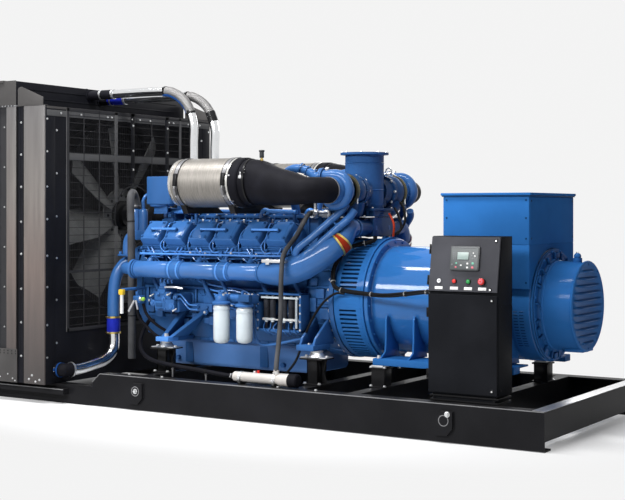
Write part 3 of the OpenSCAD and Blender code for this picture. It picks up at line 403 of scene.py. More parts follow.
class Piece:
    """A piece in the making: shapes are added, then done() turns it into one object."""

    def __init__(self, name, *materials):
        self.name = name
        self.materials = list(materials)
        self.mesh = bmesh.new()

    def add(self, part, material, place=None, bevel=0.0, segments=2):
        """Takes in a finished part, bevelled along its sharp edges."""
        if place is not None:
            bmesh.ops.transform(part, matrix=place, verts=part.verts)
        if bevel:
            sharp = [e for e in part.edges if len(e.link_faces) == 2 and e.calc_face_angle(0) > 0.6]
            bmesh.ops.bevel(part, geom=sharp, offset=bevel, segments=segments, profile=0.6, affect="EDGES",
                clamp_overlap=True)
        if material not in self.materials:
            self.materials.append(material)
        for face in part.faces:
            face.material_index = self.materials.index(material)
        shape = bpy.data.meshes.new("part")
        part.to_mesh(shape)
        part.free()
        self.mesh.from_mesh(shape)
        bpy.data.meshes.remove(shape)

    def box(self, low, high, material, bevel=0.003, place=None, segments=2):
        low, high = Vector(low), Vector(high)
        part = bmesh.new()
        bmesh.ops.create_cube(part, size=1.0)
        fit = at((low + high) / 2) @ Matrix.Diagonal((*(high - low), 1.0))
        bmesh.ops.transform(part, matrix=fit, verts=part.verts)
        self.add(part, material, place, bevel, segments)

    def prism(self, outline, depth, material, bevel=0.003, place=None, segments=2):
        """An outline in XY raised by a depth along +Z."""
        part = bmesh.new()
        ring = [part.verts.new((x, y, 0.0)) for x, y in outline]
        base = part.faces.new(ring)
        grown = bmesh.ops.extrude_face_region(part, geom=[base])["geom"]
        moved = [v for v in grown if isinstance(v, bmesh.types.BMVert)]
        bmesh.ops.translate(part, verts=moved, vec=(0, 0, depth))
        bmesh.ops.recalc_face_normals(part, faces=part.faces)
        self.add(part, material, place, bevel, segments)

    def prism_x(self, outline, x1, x2, material, bevel=0.003, segments=2):
        """An outline in YZ carried along X."""
        turn = Matrix(((0, 0, 1, x1), (1, 0, 0, 0), (0, 1, 0, 0), (0, 0, 0, 1)))
        self.prism(outline, x2 - x1, material, bevel, turn, segments)

    def prism_y(self, outline, y1, y2, material, bevel=0.003):
        """An outline in XZ carried along Y."""
        turn = Matrix(((1, 0, 0, 0), (0, 0, 1, y1), (0, 1, 0, 0), (0, 0, 0, 1)))
        self.prism(outline, y2 - y1, material, bevel, turn)

    def lathe(self, profile, place, material, steps=48, arc=math.tau, start=0.0):
        """A profile of (height, radius) points turned round +Z of the place."""
        part = bmesh.new()
        full = arc > math.tau - 1e-6
        count = steps if full else steps + 1
        rings = []
        for height, radius in profile:
            if radius < 1e-6:
                rings.append([part.verts.new((0, 0, height))])
                continue
            ring = []
            for k in range(count):
                a = start + arc * k / steps
                ring.append(part.verts.new((radius * math.cos(a), radius * math.sin(a), height)))
            rings.append(ring)
        for low, high in zip(rings, rings[1:]):
            for k in range(steps):
                n = (k + 1) % count
                corners = [low[k % len(low)], low[n % len(low)], high[n % len(high)], high[k % len(high)]]
                unique = list(dict.fromkeys(corners))
                if len(unique) > 2:
                    part.faces.new(unique)
        if full:
            for ring in (rings[0], rings[-1]):
                if len(ring) > 2 and all(len(e.link_faces) == 1 for v in ring
                        for e in v.link_edges if e.other_vert(v) in ring) and profile[0] != profile[-1]:
                    part.faces.new(ring)
            bmesh.ops.remove_doubles(part, verts=part.verts, dist=1e-6)
        bmesh.ops.recalc_face_normals(part, faces=part.faces)
        self.add(part, material, place)

    def lathe_x(self, profile, centre, material, steps=48, arc=math.tau, start=0.0):
        """The same round the X axis through a centre."""
        turn = at(centre) @ Matrix(((0, 0, 1, 0), (0, 1, 0, 0), (-1, 0, 0, 0), (0, 0, 0, 1)))
        self.lathe(profile, turn, material, steps, arc, start)

    def rod(self, a, b, radius, material, steps=16):
        """A round bar between two points with eased ends."""
        a, b, edge = Vector(a), Vector(b), 0.001
        length = (b - a).length
        profile = [(0, 0), (0, radius - edge), (edge, radius), (length - edge, radius),
            (length, radius - edge), (length, 0)]
        self.lathe(profile, facing(a, b - a), material, steps)

    def ball(self, centre, radius, material):
        profile = [(-math.cos(a) * radius, math.sin(a) * radius) for a in (k * math.pi / 8 for k in range(9))]
        self.lathe(profile, at(centre), material, 16)

    def sweep(self, path, radii, material, sides=16, closed=False):
        """A round pipe through points, one radius for each or one for all."""
        count = len(path)
        if not isinstance(radii, (list, tuple)):
            radii = [radii] * count
        part = bmesh.new()
        path = [Vector(p) for p in path]
        side = None
        rings = []
        for i, point in enumerate(path):
            ahead = path[(i + 1) % count] if closed else path[min(i + 1, count - 1)]
            behind = path[i - 1] if closed or i else path[0]
            tangent = (ahead - behind).normalized()
            if side is None:
                side = tangent.orthogonal()
            side = (side - tangent * side.dot(tangent)).normalized()
            over = tangent.cross(side)
            ring = [part.verts.new(point + radii[i] * (math.cos(a) * side + math.sin(a) * over))
                for a in (math.tau * k / sides for k in range(sides))]
            rings.append(ring)
        pairs = list(zip(rings, rings[1:]))
        if closed:
            pairs.append((rings[-1], rings[0]))
        for low, high in pairs:
            for k in range(sides):
                part.faces.new((low[k], low[(k + 1) % sides], high[(k + 1) % sides], high[k]))
        if not closed:
            part.faces.new(list(reversed(rings[0])))
            part.faces.new(rings[-1])
        self.add(part, material)

    def band(self, centre, axis, radius, width, material, bolt=None, steps=32):
        """A strap clamp round a pipe, with its screw."""
        depth = 0.002 + radius * 0.012
        profile = [(-width / 2, radius), (-width / 2, radius + depth), (width / 2, radius + depth),
            (width / 2, radius)]
        self.lathe(profile + profile[:1], facing(centre, axis), material, steps)
        if bolt is not None:
            out = (Vector(bolt) - Vector(axis) * Vector(bolt).dot(Vector(axis))).normalized()
            across = Vector(axis).normalized().cross(out)
            spot = Vector(centre) + out * (radius + depth + width * 0.3)
            self.box((-width * 0.8, -width * 0.3, -width * 0.32), (width * 0.8, width * 0.3, width * 0.32),
                material, 0.001, at(spot) @ basis(across, Vector(axis).normalized()))
            self.rod(spot - across * width * 1.2, spot + across * width * 1.2, width * 0.16, zinc, 8)

    def band_at(self, path, i, *settings):
        """A strap clamp square to a path at one of its points."""
        self.band(path[i], path[i + 1] - path[i - 1], *settings)

    def done(self, slot, *replaces, body="root"):
        shape = bpy.data.meshes.new(self.name)
        self.mesh.to_mesh(shape)
        self.mesh.free()
        for material in self.materials:
            shape.materials.append(material)
        return settle(self.name, shape, body, replaces)


def basis(x, y):
    """Rotation with its own X and Y along two directions."""
    x = Vector(x).normalized()
    z = x.cross(Vector(y)).normalized()
    y = z.cross(x)
    return Matrix((x, y, z)).transposed().to_4x4()


def settle(name, shape, body, replaces=()):
    """Smooth shading split at sharp edges, then the piece rides on its body."""
    for face in shape.polygons:
        face.use_smooth = True
    shape.set_sharp_from_angle(angle=math.radians(32))
    piece = bpy.data.objects.new(name, shape)
    bpy.context.scene.collection.objects.link(piece)
    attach(piece, body)
    if replaces:
        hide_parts(*replaces)
    return piece


def curve(points, steps=6):
    """Smooth path through points, straight out of both ends."""
    points = [Vector(p) for p in points]
    padded = [points[0] * 2 - points[1]] + points + [points[-1] * 2 - points[-2]]
    path = []
    for a, b, c, d in zip(padded, padded[1:], padded[2:], padded[3:]):
        for k in range(steps):
            t = k / steps
            path.append(0.5 * (2 * b + (c - a) * t + (2 * a - 5 * b + 4 * c - d) * t * t
                + (3 * b - a - 3 * c + d) * t ** 3))
    path.append(points[-1])
    return path


def round_outline(low, high, radius, steps=5):
    """Rectangle with rounded corners, as points."""
    centres = [(high[0] - radius, high[1] - radius, 0), (low[0] + radius, high[1] - radius, 1),
        (low[0] + radius, low[1] + radius, 2), (high[0] - radius, low[1] + radius, 3)]
    return [(x + radius * math.cos(math.pi / 2 * (q + k / steps)), y + radius
        * math.sin(math.pi / 2 * (q + k / steps))) for x, y, q in centres for k in range(steps + 1)]


def polar(centre, radius, angle):
    """A point round the X axis: angle 0 is up, 90 degrees is the near side."""
    return vec(centre[0], centre[1] - radius * math.sin(angle), centre[2] + radius * math.cos(angle))


def spaced(a, b, count):
    """Numbers from a to b at equal steps."""
    return [a + (b - a) * i / (count - 1) for i in range(count)]


# ---- geometry nodes ----

class Tree:
    """A geometry node tree with named inputs."""

    def __init__(self, name, **inputs):
        self.group = bpy.data.node_groups.new(name, "GeometryNodeTree")
        face = self.group.interface
        face.new_socket("Geometry", in_out="INPUT", socket_type="NodeSocketGeometry")
        self.keys = {}
        for key, value in inputs.items():
            kind = {int: "Int", float: "Float", tuple: "Vector"}.get(type(value), "Material")
            socket = face.new_socket(key, in_out="INPUT", socket_type="NodeSocket" + kind)
            if kind != "Material":
                socket.default_value = value
            self.keys[key] = socket.identifier
        face.new_socket("Geometry", in_out="OUTPUT", socket_type="NodeSocketGeometry")
        self.start = self.group.nodes.new("NodeGroupInput")
        self.end = self.group.nodes.new("NodeGroupOutput")

    def add(self, kind, values=None, out=0, **settings):
        node = self.group.nodes.new(kind)
        for key, value in settings.items():
            setattr(node, key, value)
        for key, value in (values or {}).items():
            if isinstance(value, bpy.types.NodeSocket):
                self.group.links.new(value, node.inputs[key])
            else:
                node.inputs[key].default_value = value
        return node.outputs[out]

    def given(self, key):
        return self.start.outputs[key]

    def finish(self, geometry):
        """Closes the tree: instances made real, one material."""
        real = self.add("GeometryNodeRealizeInstances", {0: geometry})
        painted = self.add("GeometryNodeSetMaterial", {0: real, "Material": self.given("Material")})
        self.group.links.new(painted, self.end.inputs[0])
        return self

    def run(self, name, shape, body, slot, **inputs):
        """The tree's result on a shape, as a plain piece."""
        seed = bpy.data.objects.new(name + "_seed", shape)
        bpy.context.scene.collection.objects.link(seed)
        modifier = seed.modifiers.new(name, "NODES")
        modifier.node_group = self.group
        for key, value in inputs.items():
            modifier[self.keys[key]] = value
        ready = seed.evaluated_get(bpy.context.evaluated_depsgraph_get())
        result = bpy.data.meshes.new_from_object(ready)
        seed.modifiers.clear()
        bpy.data.objects.remove(seed)
        result.name = name
        return settle(name, result, body)


def points_mesh(places):
    """Points with the direction that each one faces."""
    shape = bpy.data.meshes.new("places")
    shape.from_pydata([tuple(p) for p, _ in places], [], [])
    facing = shape.attributes.new("facing", "FLOAT_VECTOR", "POINT")
    facing.data.foreach_set("vector", [c for _, d in places for c in Vector(d).normalized()])
    return shape


def routes_mesh(routes):
    """Polylines as loose edges."""
    shape = bpy.data.meshes.new("routes")
    points, edges = [], []
    for route in routes:
        first = len(points)
        points += [tuple(p) for p in route]
        edges += [(first + i, first + i + 1) for i in range(len(route) - 1)]
    shape.from_pydata(points, edges, [])
    return shape


def bolt_tree():
    """A hexagon head on a washer at each point, turned to its direction."""
    t = Tree("bolt_heads", Radius=0.009, Height=0.007, Material=None)
    radius, height = t.given("Radius"), t.given("Height")
    head = t.add("GeometryNodeMeshCone", {"Vertices": 6, "Radius Top": t.add("ShaderNodeMath",
        {0: radius, 1: 0.86}, operation="MULTIPLY"), "Radius Bottom": radius, "Depth": height})
    washer_radius = t.add("ShaderNodeMath", {0: radius, 1: 1.32}, operation="MULTIPLY")
    thin = t.add("ShaderNodeMath", {0: height, 1: 0.22}, operation="MULTIPLY")
    washer = t.add("GeometryNodeMeshCylinder", {"Vertices": 14, "Radius": washer_radius, "Depth": thin})
    lifted = t.add("ShaderNodeCombineXYZ", {"Z": thin})
    head = t.add("GeometryNodeTransform", {0: head, "Translation": lifted})
    both = t.add("GeometryNodeJoinGeometry")
    t.group.links.new(washer, both.node.inputs[0])
    t.group.links.new(head, both.node.inputs[0])
    facing = t.add("GeometryNodeInputNamedAttribute", {"Name": "facing"}, data_type="FLOAT_VECTOR")
    turn = t.add("FunctionNodeAlignRotationToVector", {"Vector": facing}, axis="Z")
    placed = t.add("GeometryNodeInstanceOnPoints", {"Points": t.given("Geometry"), "Instance": both,
        "Rotation": turn})
    return t.finish(placed)


def pipe_tree():
    """A round pipe along every route."""
    t = Tree("pipes", Radius=0.005, Sides=10, Material=None)
    path = t.add("GeometryNodeMeshToCurve", {0: t.given("Geometry")})
    ring = t.add("GeometryNodeCurvePrimitiveCircle", {"Resolution": t.given("Sides"),
        "Radius": t.given("Radius")})
    tube = t.add("GeometryNodeCurveToMesh", {"Curve": path, "Profile Curve": ring, "Fill Caps": True})
    return t.finish(tube)


def wheel_tree():
    """Copies of a shape turned round the X axis through a centre."""
    t = Tree("wheel", Count=12, Step=0.5, Centre=(0.0, 0.0, 0.0), Material=None)
    row = t.add("GeometryNodePoints", {"Count": t.given("Count"), "Position": t.given("Centre")})
    number = t.add("GeometryNodeInputIndex")
    angle = t.add("ShaderNodeMath", {0: number, 1: t.given("Step")}, operation="MULTIPLY")
    turn = t.add("ShaderNodeCombineXYZ", {"X": angle})
    spin = t.add("FunctionNodeEulerToRotation", {0: turn})
    placed = t.add("GeometryNodeInstanceOnPoints", {"Points": row, "Instance": t.given("Geometry"),
        "Rotation": spin})
    return t.finish(placed)


bolt_heads = bolt_tree()
pipes = pipe_tree()
wheel = wheel_tree()


def bolts(name, places, radius=0.009, height=None, material=None, body="root", slot="mount_silver"):
    return bolt_heads.run(name, points_mesh(places), body, slot, Radius=radius,
        Height=height or radius * 0.75, Material=material or zinc)


def tubes(name, routes, radius, material, sides=10, slot="engine_blue"):
    return pipes.run(name, routes_mesh(routes), "root", slot, Radius=radius, Sides=sides, Material=material)


def seed_mesh(build):
    """A bare mesh, drawn at the origin by a function on a Piece, for the wheel tree."""
    piece = Piece("seed")
    build(piece)
    shape = bpy.data.meshes.new("seed")
    piece.mesh.to_mesh(shape)
    piece.mesh.free()
    return shape


# ---- engine ----

CYLINDERS = 6
HEAD = (0.205, 0.25, 0.12)           # length, width and height of a cylinder head
COVER = (0.186, 0.196, 0.088)
housing_low, housing_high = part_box("flywheel_housing")
heads_low, heads_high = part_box("cylinder_heads_near")
block_low, block_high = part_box("engine_block")
CRANK = (housing_low.z + housing_high.z) / 2
FIRST = heads_low.x + HEAD[0] / 2
PITCH = (heads_high.x - heads_low.x - HEAD[0]) / (CYLINDERS - 1)
BANK = math.radians(45)
DECK = (block_high.z - CRANK) / math.cos(BANK) - HEAD[1] / 2
AXIS = (0, 0, CRANK)
cylinder_x = [FIRST + PITCH * i for i in range(CYLINDERS)]
BLOCK_SIDE = 0.376
MOUNT_Y = 0.56                         # rubber mounts, from the centre plane
CROSSOVER = vec(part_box("turbo_support")[1].x - 0.135, 0, 1.302)
MANIFOLD_RADIUS = 0.062
MANIFOLD = vec(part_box("coolant_manifolds")[1].x, -0.55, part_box("coolant_manifolds")[0].z + MANIFOLD_RADIUS)


def bank_place(side, x=0.0):
    """Frame of one bank: +Z along its cylinders, +Y up towards the valley; side is 1 near and -1 far."""
    return at((x, 0, CRANK)) @ turned(side * BANK, "X")


def bank_point(side, x, out, up):
    """A point of the bank's frame; out is towards the valley, up along the cylinder."""
    return bank_place(side) @ vec(x, side * out, up)


def both(stem, *builders):
    """Builds each thing on the near side, 1, and then on the far side, -1."""
    for side, end in ((1, "_near"), (-1, "_far")):
        for build, name in zip(builders, [stem] if isinstance(stem, str) else stem):
            build(side, name + end)


def once(side, node):
    """A node that holds both sides is replaced by the near piece."""
    return (node,) if side > 0 else ()


def cylinder_heads(side, node):
    """Six separate heads with their rocker covers."""
    p = Piece(node + "_castings")
    half, wide = HEAD[0] / 2, HEAD[1] / 2
    top = DECK + HEAD[2]
    for x in cylinder_x:
        place = bank_place(side, x)
        p.box((-half, -wide, DECK), (half, wide, top - 0.012), cast_paint, 0.007, place)
        p.box((-half + 0.004, -wide + 0.018, top - 0.014), (half - 0.004, wide - 0.018, top), engine_paint,
            0.003, place)
        # Rocker cover: foot flange, body with leaning sides, raised pad
        w, d = COVER[0] / 2, COVER[1] / 2
        p.box((-w, -d, top), (w, d, top + 0.012), smooth_paint, 0.004, place)
        slab = [(-w + 0.004, 0), (w - 0.004, 0), (w - 0.012, 0.064), (w - 0.024, 0.074),
            (-w + 0.024, 0.074), (-w + 0.012, 0.064)]
        lay = place @ at((0, d - 0.006, top + 0.012)) @ turned(math.pi / 2, "X")
        p.prism(slab, 2 * d - 0.012, smooth_paint, 0.007, lay, 3)
        p.box((-w + 0.032, -d + 0.02, top + 0.084), (w - 0.032, d - 0.02, top + 0.088), smooth_paint, 0.003,
            place)
        # Port boss, plug and pads on the outer face
        port = place @ at((-0.03, -side * wide, DECK + 0.052)) @ turned(side * math.pi / 2, "X")
        p.lathe([(0, 0.036), (0.01, 0.034), (0.01, 0.02), (0.004, 0.018), (0.004, 0)], port, cast_paint, 20)
        for dx, w2 in ((0.062, 0.02), (-0.085, 0.014)):
            p.box((dx - w2, -wide - 0.01, DECK + 0.012), (dx + w2, -wide + 0.01, DECK + 0.1), cast_paint,
                0.005, place if side > 0 else place @ turned(math.pi, "Z"))
        # Inner intake branch over the valley
        branch = place @ at((0, side * (wide - 0.01), DECK + 0.07)) @ turned(-side * math.pi / 2, "X")
        p.lathe([(0, 0.046), (0.035, 0.046), (0.038, 0.054), (0.05, 0.054), (0.05, 0)], branch, cast_paint,
            24)
    return p.done("engine_blue", node)


def head_bolts(side, name):
    places = []
    top = DECK + HEAD[2]
    normal = bank_place(side).to_3x3() @ UP
    for x in cylinder_x:
        for dx in (-0.094, 0.094):
            for dy in (-0.112, -0.03, 0.05, 0.112):
                places.append((bank_point(side, x + dx, dy, top + 0.001), normal))
        for dx in (-0.062, 0.062):
            places.append((bank_point(side, x + dx, -0.07, top + COVER[2]), normal))
            places.append((bank_point(side, x + dx, 0.07, top + COVER[2]), normal))
    bolts(name, places, 0.0095, material=engine_paint, slot="engine_blue")
    out = bank_place(side).to_3x3() @ vec(0, -side, 0)
    low = [(bank_point(side, x + dx, -HEAD[1] / 2 - 0.01, DECK + dz), out) for x in cylinder_x for dx,
        dz in ((0.062, 0.03), (0.062, 0.08), (-0.085, 0.055))]
    bolts(name + "_low", low, 0.0075, material=smooth_paint, slot="engine_blue")


def cover_bars(side, name):
    """Bar over each pair of covers, on two posts, and the leak-off pipe beside it."""
    top = DECK + HEAD[2] + COVER[2]
    bars, posts, leak = [], [], []
    for i in range(0, CYLINDERS, 2):
        a, b = cylinder_x[i], cylinder_x[i + 1]
        bars.append([bank_point(side, a + 0.005, -0.012, top + 0.018),
            bank_point(side, b + 0.005, -0.012, top + 0.018)])
        for x in (a + 0.01, b):
            posts.append([bank_point(side, x, -0.012, top - 0.004), bank_point(side, x, -0.012, top + 0.02)])
        leak.append(curve([bank_point(side, a + 0.1, 0.12, top - 0.05),
            bank_point(side, a + 0.11, 0.06, top - 0.01), bank_point(side, a + 0.112, -0.03, top - 0.04),
            bank_point(side, a + 0.09, -0.1, top - 0.06), bank_point(side, a + 0.13, -0.14, top - 0.09),
            bank_point(side, a + 0.19, -0.145, top - 0.08)], 5))
    tubes(name, bars, 0.0095, highlight_blue_paint)
    tubes(name + "_posts", posts, 0.015, deep_paint)
    tubes(name + "_leak_off", leak, 0.0045, highlight_blue_paint, 8)


def injection_lines(side, name):
    """High-pressure lines from the rail up to the heads, leaning in pairs, with their nuts."""
    lines, nuts, rail = [], [], []
    base = DECK - 0.028
    out = -HEAD[1] / 2
    lean = (0.075, -0.06)
    for i, x in enumerate(cylinder_x):
        lean_x = lean[i % 2]
        for k in (0, 1):
            top = bank_point(side, x + 0.012 * k - lean_x * 0.4 + k * 0.024, out + 0.012,
                DECK + HEAD[2] + 0.006)
            mid = bank_point(side, x + lean_x * 0.35 + k * 0.03, out - 0.045, DECK + 0.07)
            foot = bank_point(side, x + lean_x + k * 0.032, out - 0.07, base + 0.022)
            lines.append(curve([top + (mid - top) * 0.02, top, mid, foot, foot - UP * 0.02], 4))
            nuts.append((foot, bank_place(side).to_3x3() @ UP))
            nuts.append((mid, mid - foot))
    y = MANIFOLD.y * side
    left, right = cylinder_x[0] - 0.09, cylinder_x[-1] + 0.07
    for dy, z in ((0.055, 1.122), (0.03, 1.104)):
        rail.append([vec(left, y + side * dy, z), vec(right, y + side * dy, z)])
    tubes(name, lines, 0.0062, highlight_blue_paint, 8)
    tubes(name + "_rails", rail, 0.0085, highlight_blue_paint, 10)
    tubes(name + "_gallery", [[vec(left + 0.32, y + side * 0.07, 1.085),
        vec(right - 0.05, y + side * 0.07, 1.085)]], 0.017, engine_paint, 14)
    bolts(name + "_nuts", nuts, 0.01, 0.02, smooth_paint, slot="engine_blue")
    blocks = Piece(name + "_rail_blocks")
    middle = left + 0.32
    for k, x in enumerate(spaced(middle, middle + 0.36, 9) + spaced(middle + 0.5, right - 0.03, 7)):
        spot = vec(x, y + side * 0.05, 1.104 + 0.004 * (k % 2))
        blocks.rod(spot - UP * 0.01, spot + UP * 0.016, 0.0095, highlight_blue_paint if k % 3 else zinc, 6)
        blocks.rod(spot + UP * 0.014, spot + UP * 0.024, 0.0055, zinc if k % 4 == 1 else highlight_blue_paint, 10)
    for x in (left + 0.03, left + 0.2, middle + 0.42, right - 0.28, right - 0.02):
        blocks.box((x - 0.014, y + side * 0.043 - 0.016, 1.088), (x + 0.014, y + side * 0.043 + 0.016,
            1.13), engine_paint, 0.003)
    blocks.done("engine_blue")


def side_harness(side, name):
    """Wires and small pipes woven along the heads."""
    rng = random.Random(7 + side)
    wires, silver = [], []
    out = -HEAD[1] / 2 - 0.018
    for x in cylinder_x:
        a = bank_point(side, x - 0.09, out, DECK + 0.09)
        b = bank_point(side, x - 0.03, out - 0.03, DECK + 0.055 + rng.uniform(-0.01, 0.01))
        c = bank_point(side, x + 0.03, out - 0.025, DECK + 0.085 + rng.uniform(-0.01, 0.01))
        d = bank_point(side, x + 0.1, out - 0.005, DECK + 0.06)
        wires.append(curve([a, b, c, d], 5))
        e = bank_point(side, x + 0.098, 0.1, DECK + HEAD[2] + 0.02)
        f = bank_point(side, x + 0.104, 0.0, DECK + HEAD[2] + 0.045)
        g = bank_point(side, x + 0.108, -0.09, DECK + HEAD[2] + 0.012)
        h = bank_point(side, x + 0.112, -0.15, DECK + 0.03)
        silver.append(curve([e, f, g, h], 5))
    # Wires and drops are both in the doubled engine blue, a painted highlight; the drops are called silver for that
    # painted highlight, not for a metal.
    tubes(name, wires, 0.0048, highlight_blue_paint, 8)
    tubes(name + "_drops", silver, 0.0048, highlight_blue_paint, 8)


def manifold(side, name):
    """Long coolant pipe along the bank in three lengths, joined by pairs of band clamps."""
    p = Piece(name)
    low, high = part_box("coolant_manifolds")
    y = MANIFOLD.y * side
    x1, x2 = low.x, high.x
    r = MANIFOLD_RADIUS
    joints = (x1 + 0.41, x1 + 0.84)
    gap = 0.055
    ends = [x1] + [v for j in joints for v in (j - gap, j + gap)] + [x2]
    for a, b in zip(ends[::2], ends[1::2]):
        profile = [(a, 0), (a, r - 0.008), (a + 0.004, r - 0.002), (a + 0.012, r), (b - 0.012, r),
            (b - 0.004, r - 0.002), (b, r - 0.008), (b, 0)]
        p.lathe_x(profile, (0, y, MANIFOLD.z), pipe_paint, 56)
    for j in joints:
        p.lathe_x([(j - gap - 0.012, r - 0.006), (j - gap - 0.01, r + 0.003), (j - 0.018, r + 0.005),
            (j, r + 0.009), (j + 0.018, r + 0.005), (j + gap + 0.01, r + 0.003),
            (j + gap + 0.012, r - 0.006)], (0, y, MANIFOLD.z), engine_paint, 48)
        for dx in (-0.038, 0.038):
            p.band((j + dx, y, MANIFOLD.z), RIGHT, r + 0.004, 0.014, highlight_blue_paint, (0, 0.35, 1))
        p.box((j - 0.03, y - 0.014, MANIFOLD.z + r), (j + 0.03, y + 0.014, MANIFOLD.z + r + 0.02),
            engine_paint, 0.004)
        p.rod((j + 0.012, y, MANIFOLD.z + r + 0.018), (j + 0.012, y, MANIFOLD.z + r + 0.045), 0.01,
            smooth_paint, 10)
    # End collar and flange at the front
    p.lathe_x([(x1 - 0.002, 0), (x1 - 0.002, r + 0.01), (x1 + 0.02, r + 0.01), (x1 + 0.022, r)],
        (0, y, MANIFOLD.z), smooth_paint, 48)
    p.lathe_x([(x1 + 0.028, r), (x1 + 0.03, r + 0.006), (x1 + 0.042, r + 0.006), (x1 + 0.044, r)],
        (0, y, MANIFOLD.z), engine_paint, 48)
    for x in cylinder_x[:5]:
        a = vec(x, y + side * 0.02, MANIFOLD.z + 0.035)
        b = bank_point(side, x, -HEAD[1] / 2 + 0.02, DECK + 0.03)
        p.sweep(curve([a, a.lerp(b, 0.5) + UP * 0.018, b], 4), 0.027, engine_paint, 18)
        p.lathe([(0, 0.037), (0.012, 0.036), (0.012, 0.028)], facing(b - (b - a).normalized() * 0.035,
            b - a), cast_paint, 20)
    return p.done("engine_blue", *once(side, "coolant_manifolds"))


def elbow_route(side):
    s = MANIFOLD
    end = CROSSOVER + NEAR * 0.3003
    points = [s, s + vec(0.06, 0, 0), s + vec(0.18, 0.004, 0.006), s + vec(0.32, 0.02, 0.045),
        s + vec(0.45, 0.05, 0.112), s + vec(0.535, 0.08, 0.175), s + vec(0.582, 0.13, 0.225),
        end - vec(0.005, 0.06, 0.005), end]
    return [vec(v.x, v.y * side, v.z) for v in curve(points, 6)]


def charge_elbow(side, name):
    """Swelling cast elbow that carries charge air up and across, with its red hose."""
    p = Piece(name)
    path = elbow_route(side)
    last = len(path) - 1
    widest, neck = 0.097, 0.061

    def radius(i):
        t = i / last
        if t < 0.4:
            return MANIFOLD_RADIUS + (widest - MANIFOLD_RADIUS) * math.sin(t / 0.4 * math.pi / 2)
        return widest + (neck - widest) * (t - 0.4) / 0.6

    p.sweep(path, [radius(i) for i in range(last + 1)], smooth_paint, 48)
    axis = path[1] - path[0]
    p.band(path[0] + axis * 0.6, axis, MANIFOLD_RADIUS + 0.006, 0.016, engine_paint, (0, -0.3, 1))
    p.lathe([(-0.004, 0.05), (-0.004, 0.07), (0.012, 0.07), (0.012, 0.05)], facing(path[0], axis),
        engine_paint, 40)
    hose = range(int(last * 0.7), int(last * 0.75) + 1)
    p.sweep([path[i] for i in hose], [radius(i) + 0.006 for i in hose], red_rubber, 48)
    for i in (hose[0], hose[-1]):
        along = path[i + 1] - path[i - 1]
        p.band(path[i], along, radius(i) + 0.007, 0.013, gold if side > 0 else zinc, (-0.5, -side, 0.6))
    return p.done("engine_blue", *once(side, "charge_air_elbows"))


def block_side(side, name):
    """Ribs, plugs, doors and bosses cast on the crankcase wall."""
    p = Piece(name)
    y = BLOCK_SIDE * side
    z1, z2 = CRANK - 0.17, CRANK + 0.06

    def wall(x1, x2, za, zb, depth):
        a, b = sorted((-y, -y - side * depth))
        p.box((x1, a, za), (x2, b, zb), cast_paint, 0.006)

    for x in [block_low.x + 0.035 + PITCH * i for i in range(CYLINDERS + 1)]:
        wall(x - 0.009, x + 0.009, z1 + 0.01, z2 - 0.01, 0.016)
    wall(block_low.x + 0.01, block_high.x - 0.01, z2 - 0.02, z2, 0.02)
    wall(block_low.x + 0.01, block_high.x - 0.01, z1, z1 + 0.02, 0.014)
    turn = turned(side * math.pi / 2, "X")
    for i, x in enumerate(cylinder_x):
        door = at((x + 0.02, -y - side * 0.004, CRANK - 0.055)) @ turn
        p.prism(round_outline((-0.07, -0.07), (0.07, 0.07), 0.02), 0.014, engine_paint, 0.004, door)
        plug = at((x - 0.075, -y - side * 0.002, CRANK + 0.02)) @ turn
        p.lathe([(0, 0.026), (0.006, 0.025), (0.006, 0.018), (0.002, 0.016), (0.002, 0)], plug,
            engine_paint, 20)
    return p.done("engine_blue")


def block_bolts():
    places = []
    for side in (1, -1):
        out = vec(0, -side, 0)
        for x in cylinder_x:
            for dx in (-0.058, 0, 0.058):
                for dz in (-0.058, 0.058):
                    if dx or dz > 0:
                        places.append((vec(x + 0.02 + dx, -side * (BLOCK_SIDE + 0.018), CRANK - 0.055 + dz),
                            out))
        pan_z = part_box("oil_pan")[1].z - 0.012
        places += [(vec(x, -side * 0.3005, pan_z), out) for x in spaced(-1.0, 0.3, 18)]
    bolts("crankcase_bolts", places, 0.008, material=engine_paint, slot="engine_blue")


def oil_pan():
    """Deep pressed pan with rounded corners, rail and drain plug."""
    p = Piece("oil_pan_shell")
    low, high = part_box("oil_pan")
    rail = high.z - 0.025
    p.box((low.x, low.y, rail), (high.x, high.y, high.z), cast_paint, 0.004)
    outline = [(-0.25, low.z + 0.02), (-0.235, low.z + 0.004), (-0.222, low.z), (0.222, low.z),
        (0.235, low.z + 0.004), (0.25, low.z + 0.02), (0.265, rail + 0.001), (-0.265, rail + 0.001)]
    p.prism_x(outline, low.x + 0.012, high.x - 0.012, pan_paint, 0.012, 3)
    for x in (low.x + 0.3, high.x - 0.42):
        for side in (-1, 1):
            p.box((x - 0.035, side * 0.258 - 0.005, low.z + 0.022), (x + 0.035, side * 0.258 + 0.005,
                rail - 0.002), engine_paint, 0.004)
    for x in (low.x + 0.2, high.x - 0.25):
        p.rod((x, low.y + 0.02, low.z + 0.05), (x, low.y + 0.06, low.z + 0.05), 0.018, engine_paint, 6)
    return p.done("engine_blue", "oil_pan")


both("cylinder_heads", cylinder_heads)
both("head_bolts", head_bolts)
both("cover_bars", cover_bars)
both("injection_lines", injection_lines)
both("side_harness", side_harness)
both("coolant_manifold", manifold)
both("charge_elbow", charge_elbow)
both("crankcase_wall", block_side)
block_bolts()
oil_pan()


# ---- air, turbochargers and exhaust ----

FILTER_Y = 0.55
TURBO_Y = 0.46
filter_low, filter_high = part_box("air_filters")
turbo_low, turbo_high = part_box("turbochargers")
exhaust_low, exhaust_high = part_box("exhaust_outlet")
support_low, support_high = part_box("turbo_support")
FILTER_RADIUS = filter_high.y - FILTER_Y
FILTER_Z = filter_high.z - FILTER_RADIUS
TURBO = vec((turbo_low.x + turbo_high.x) / 2, 0, (turbo_low.z + turbo_high.z) / 2)
INLET = 0.088


def out(side, x, y, z):
    """A point at a distance y from the centre plane, on the near side for 1 and the far side for -1."""
    return vec(x, -side * y, z)


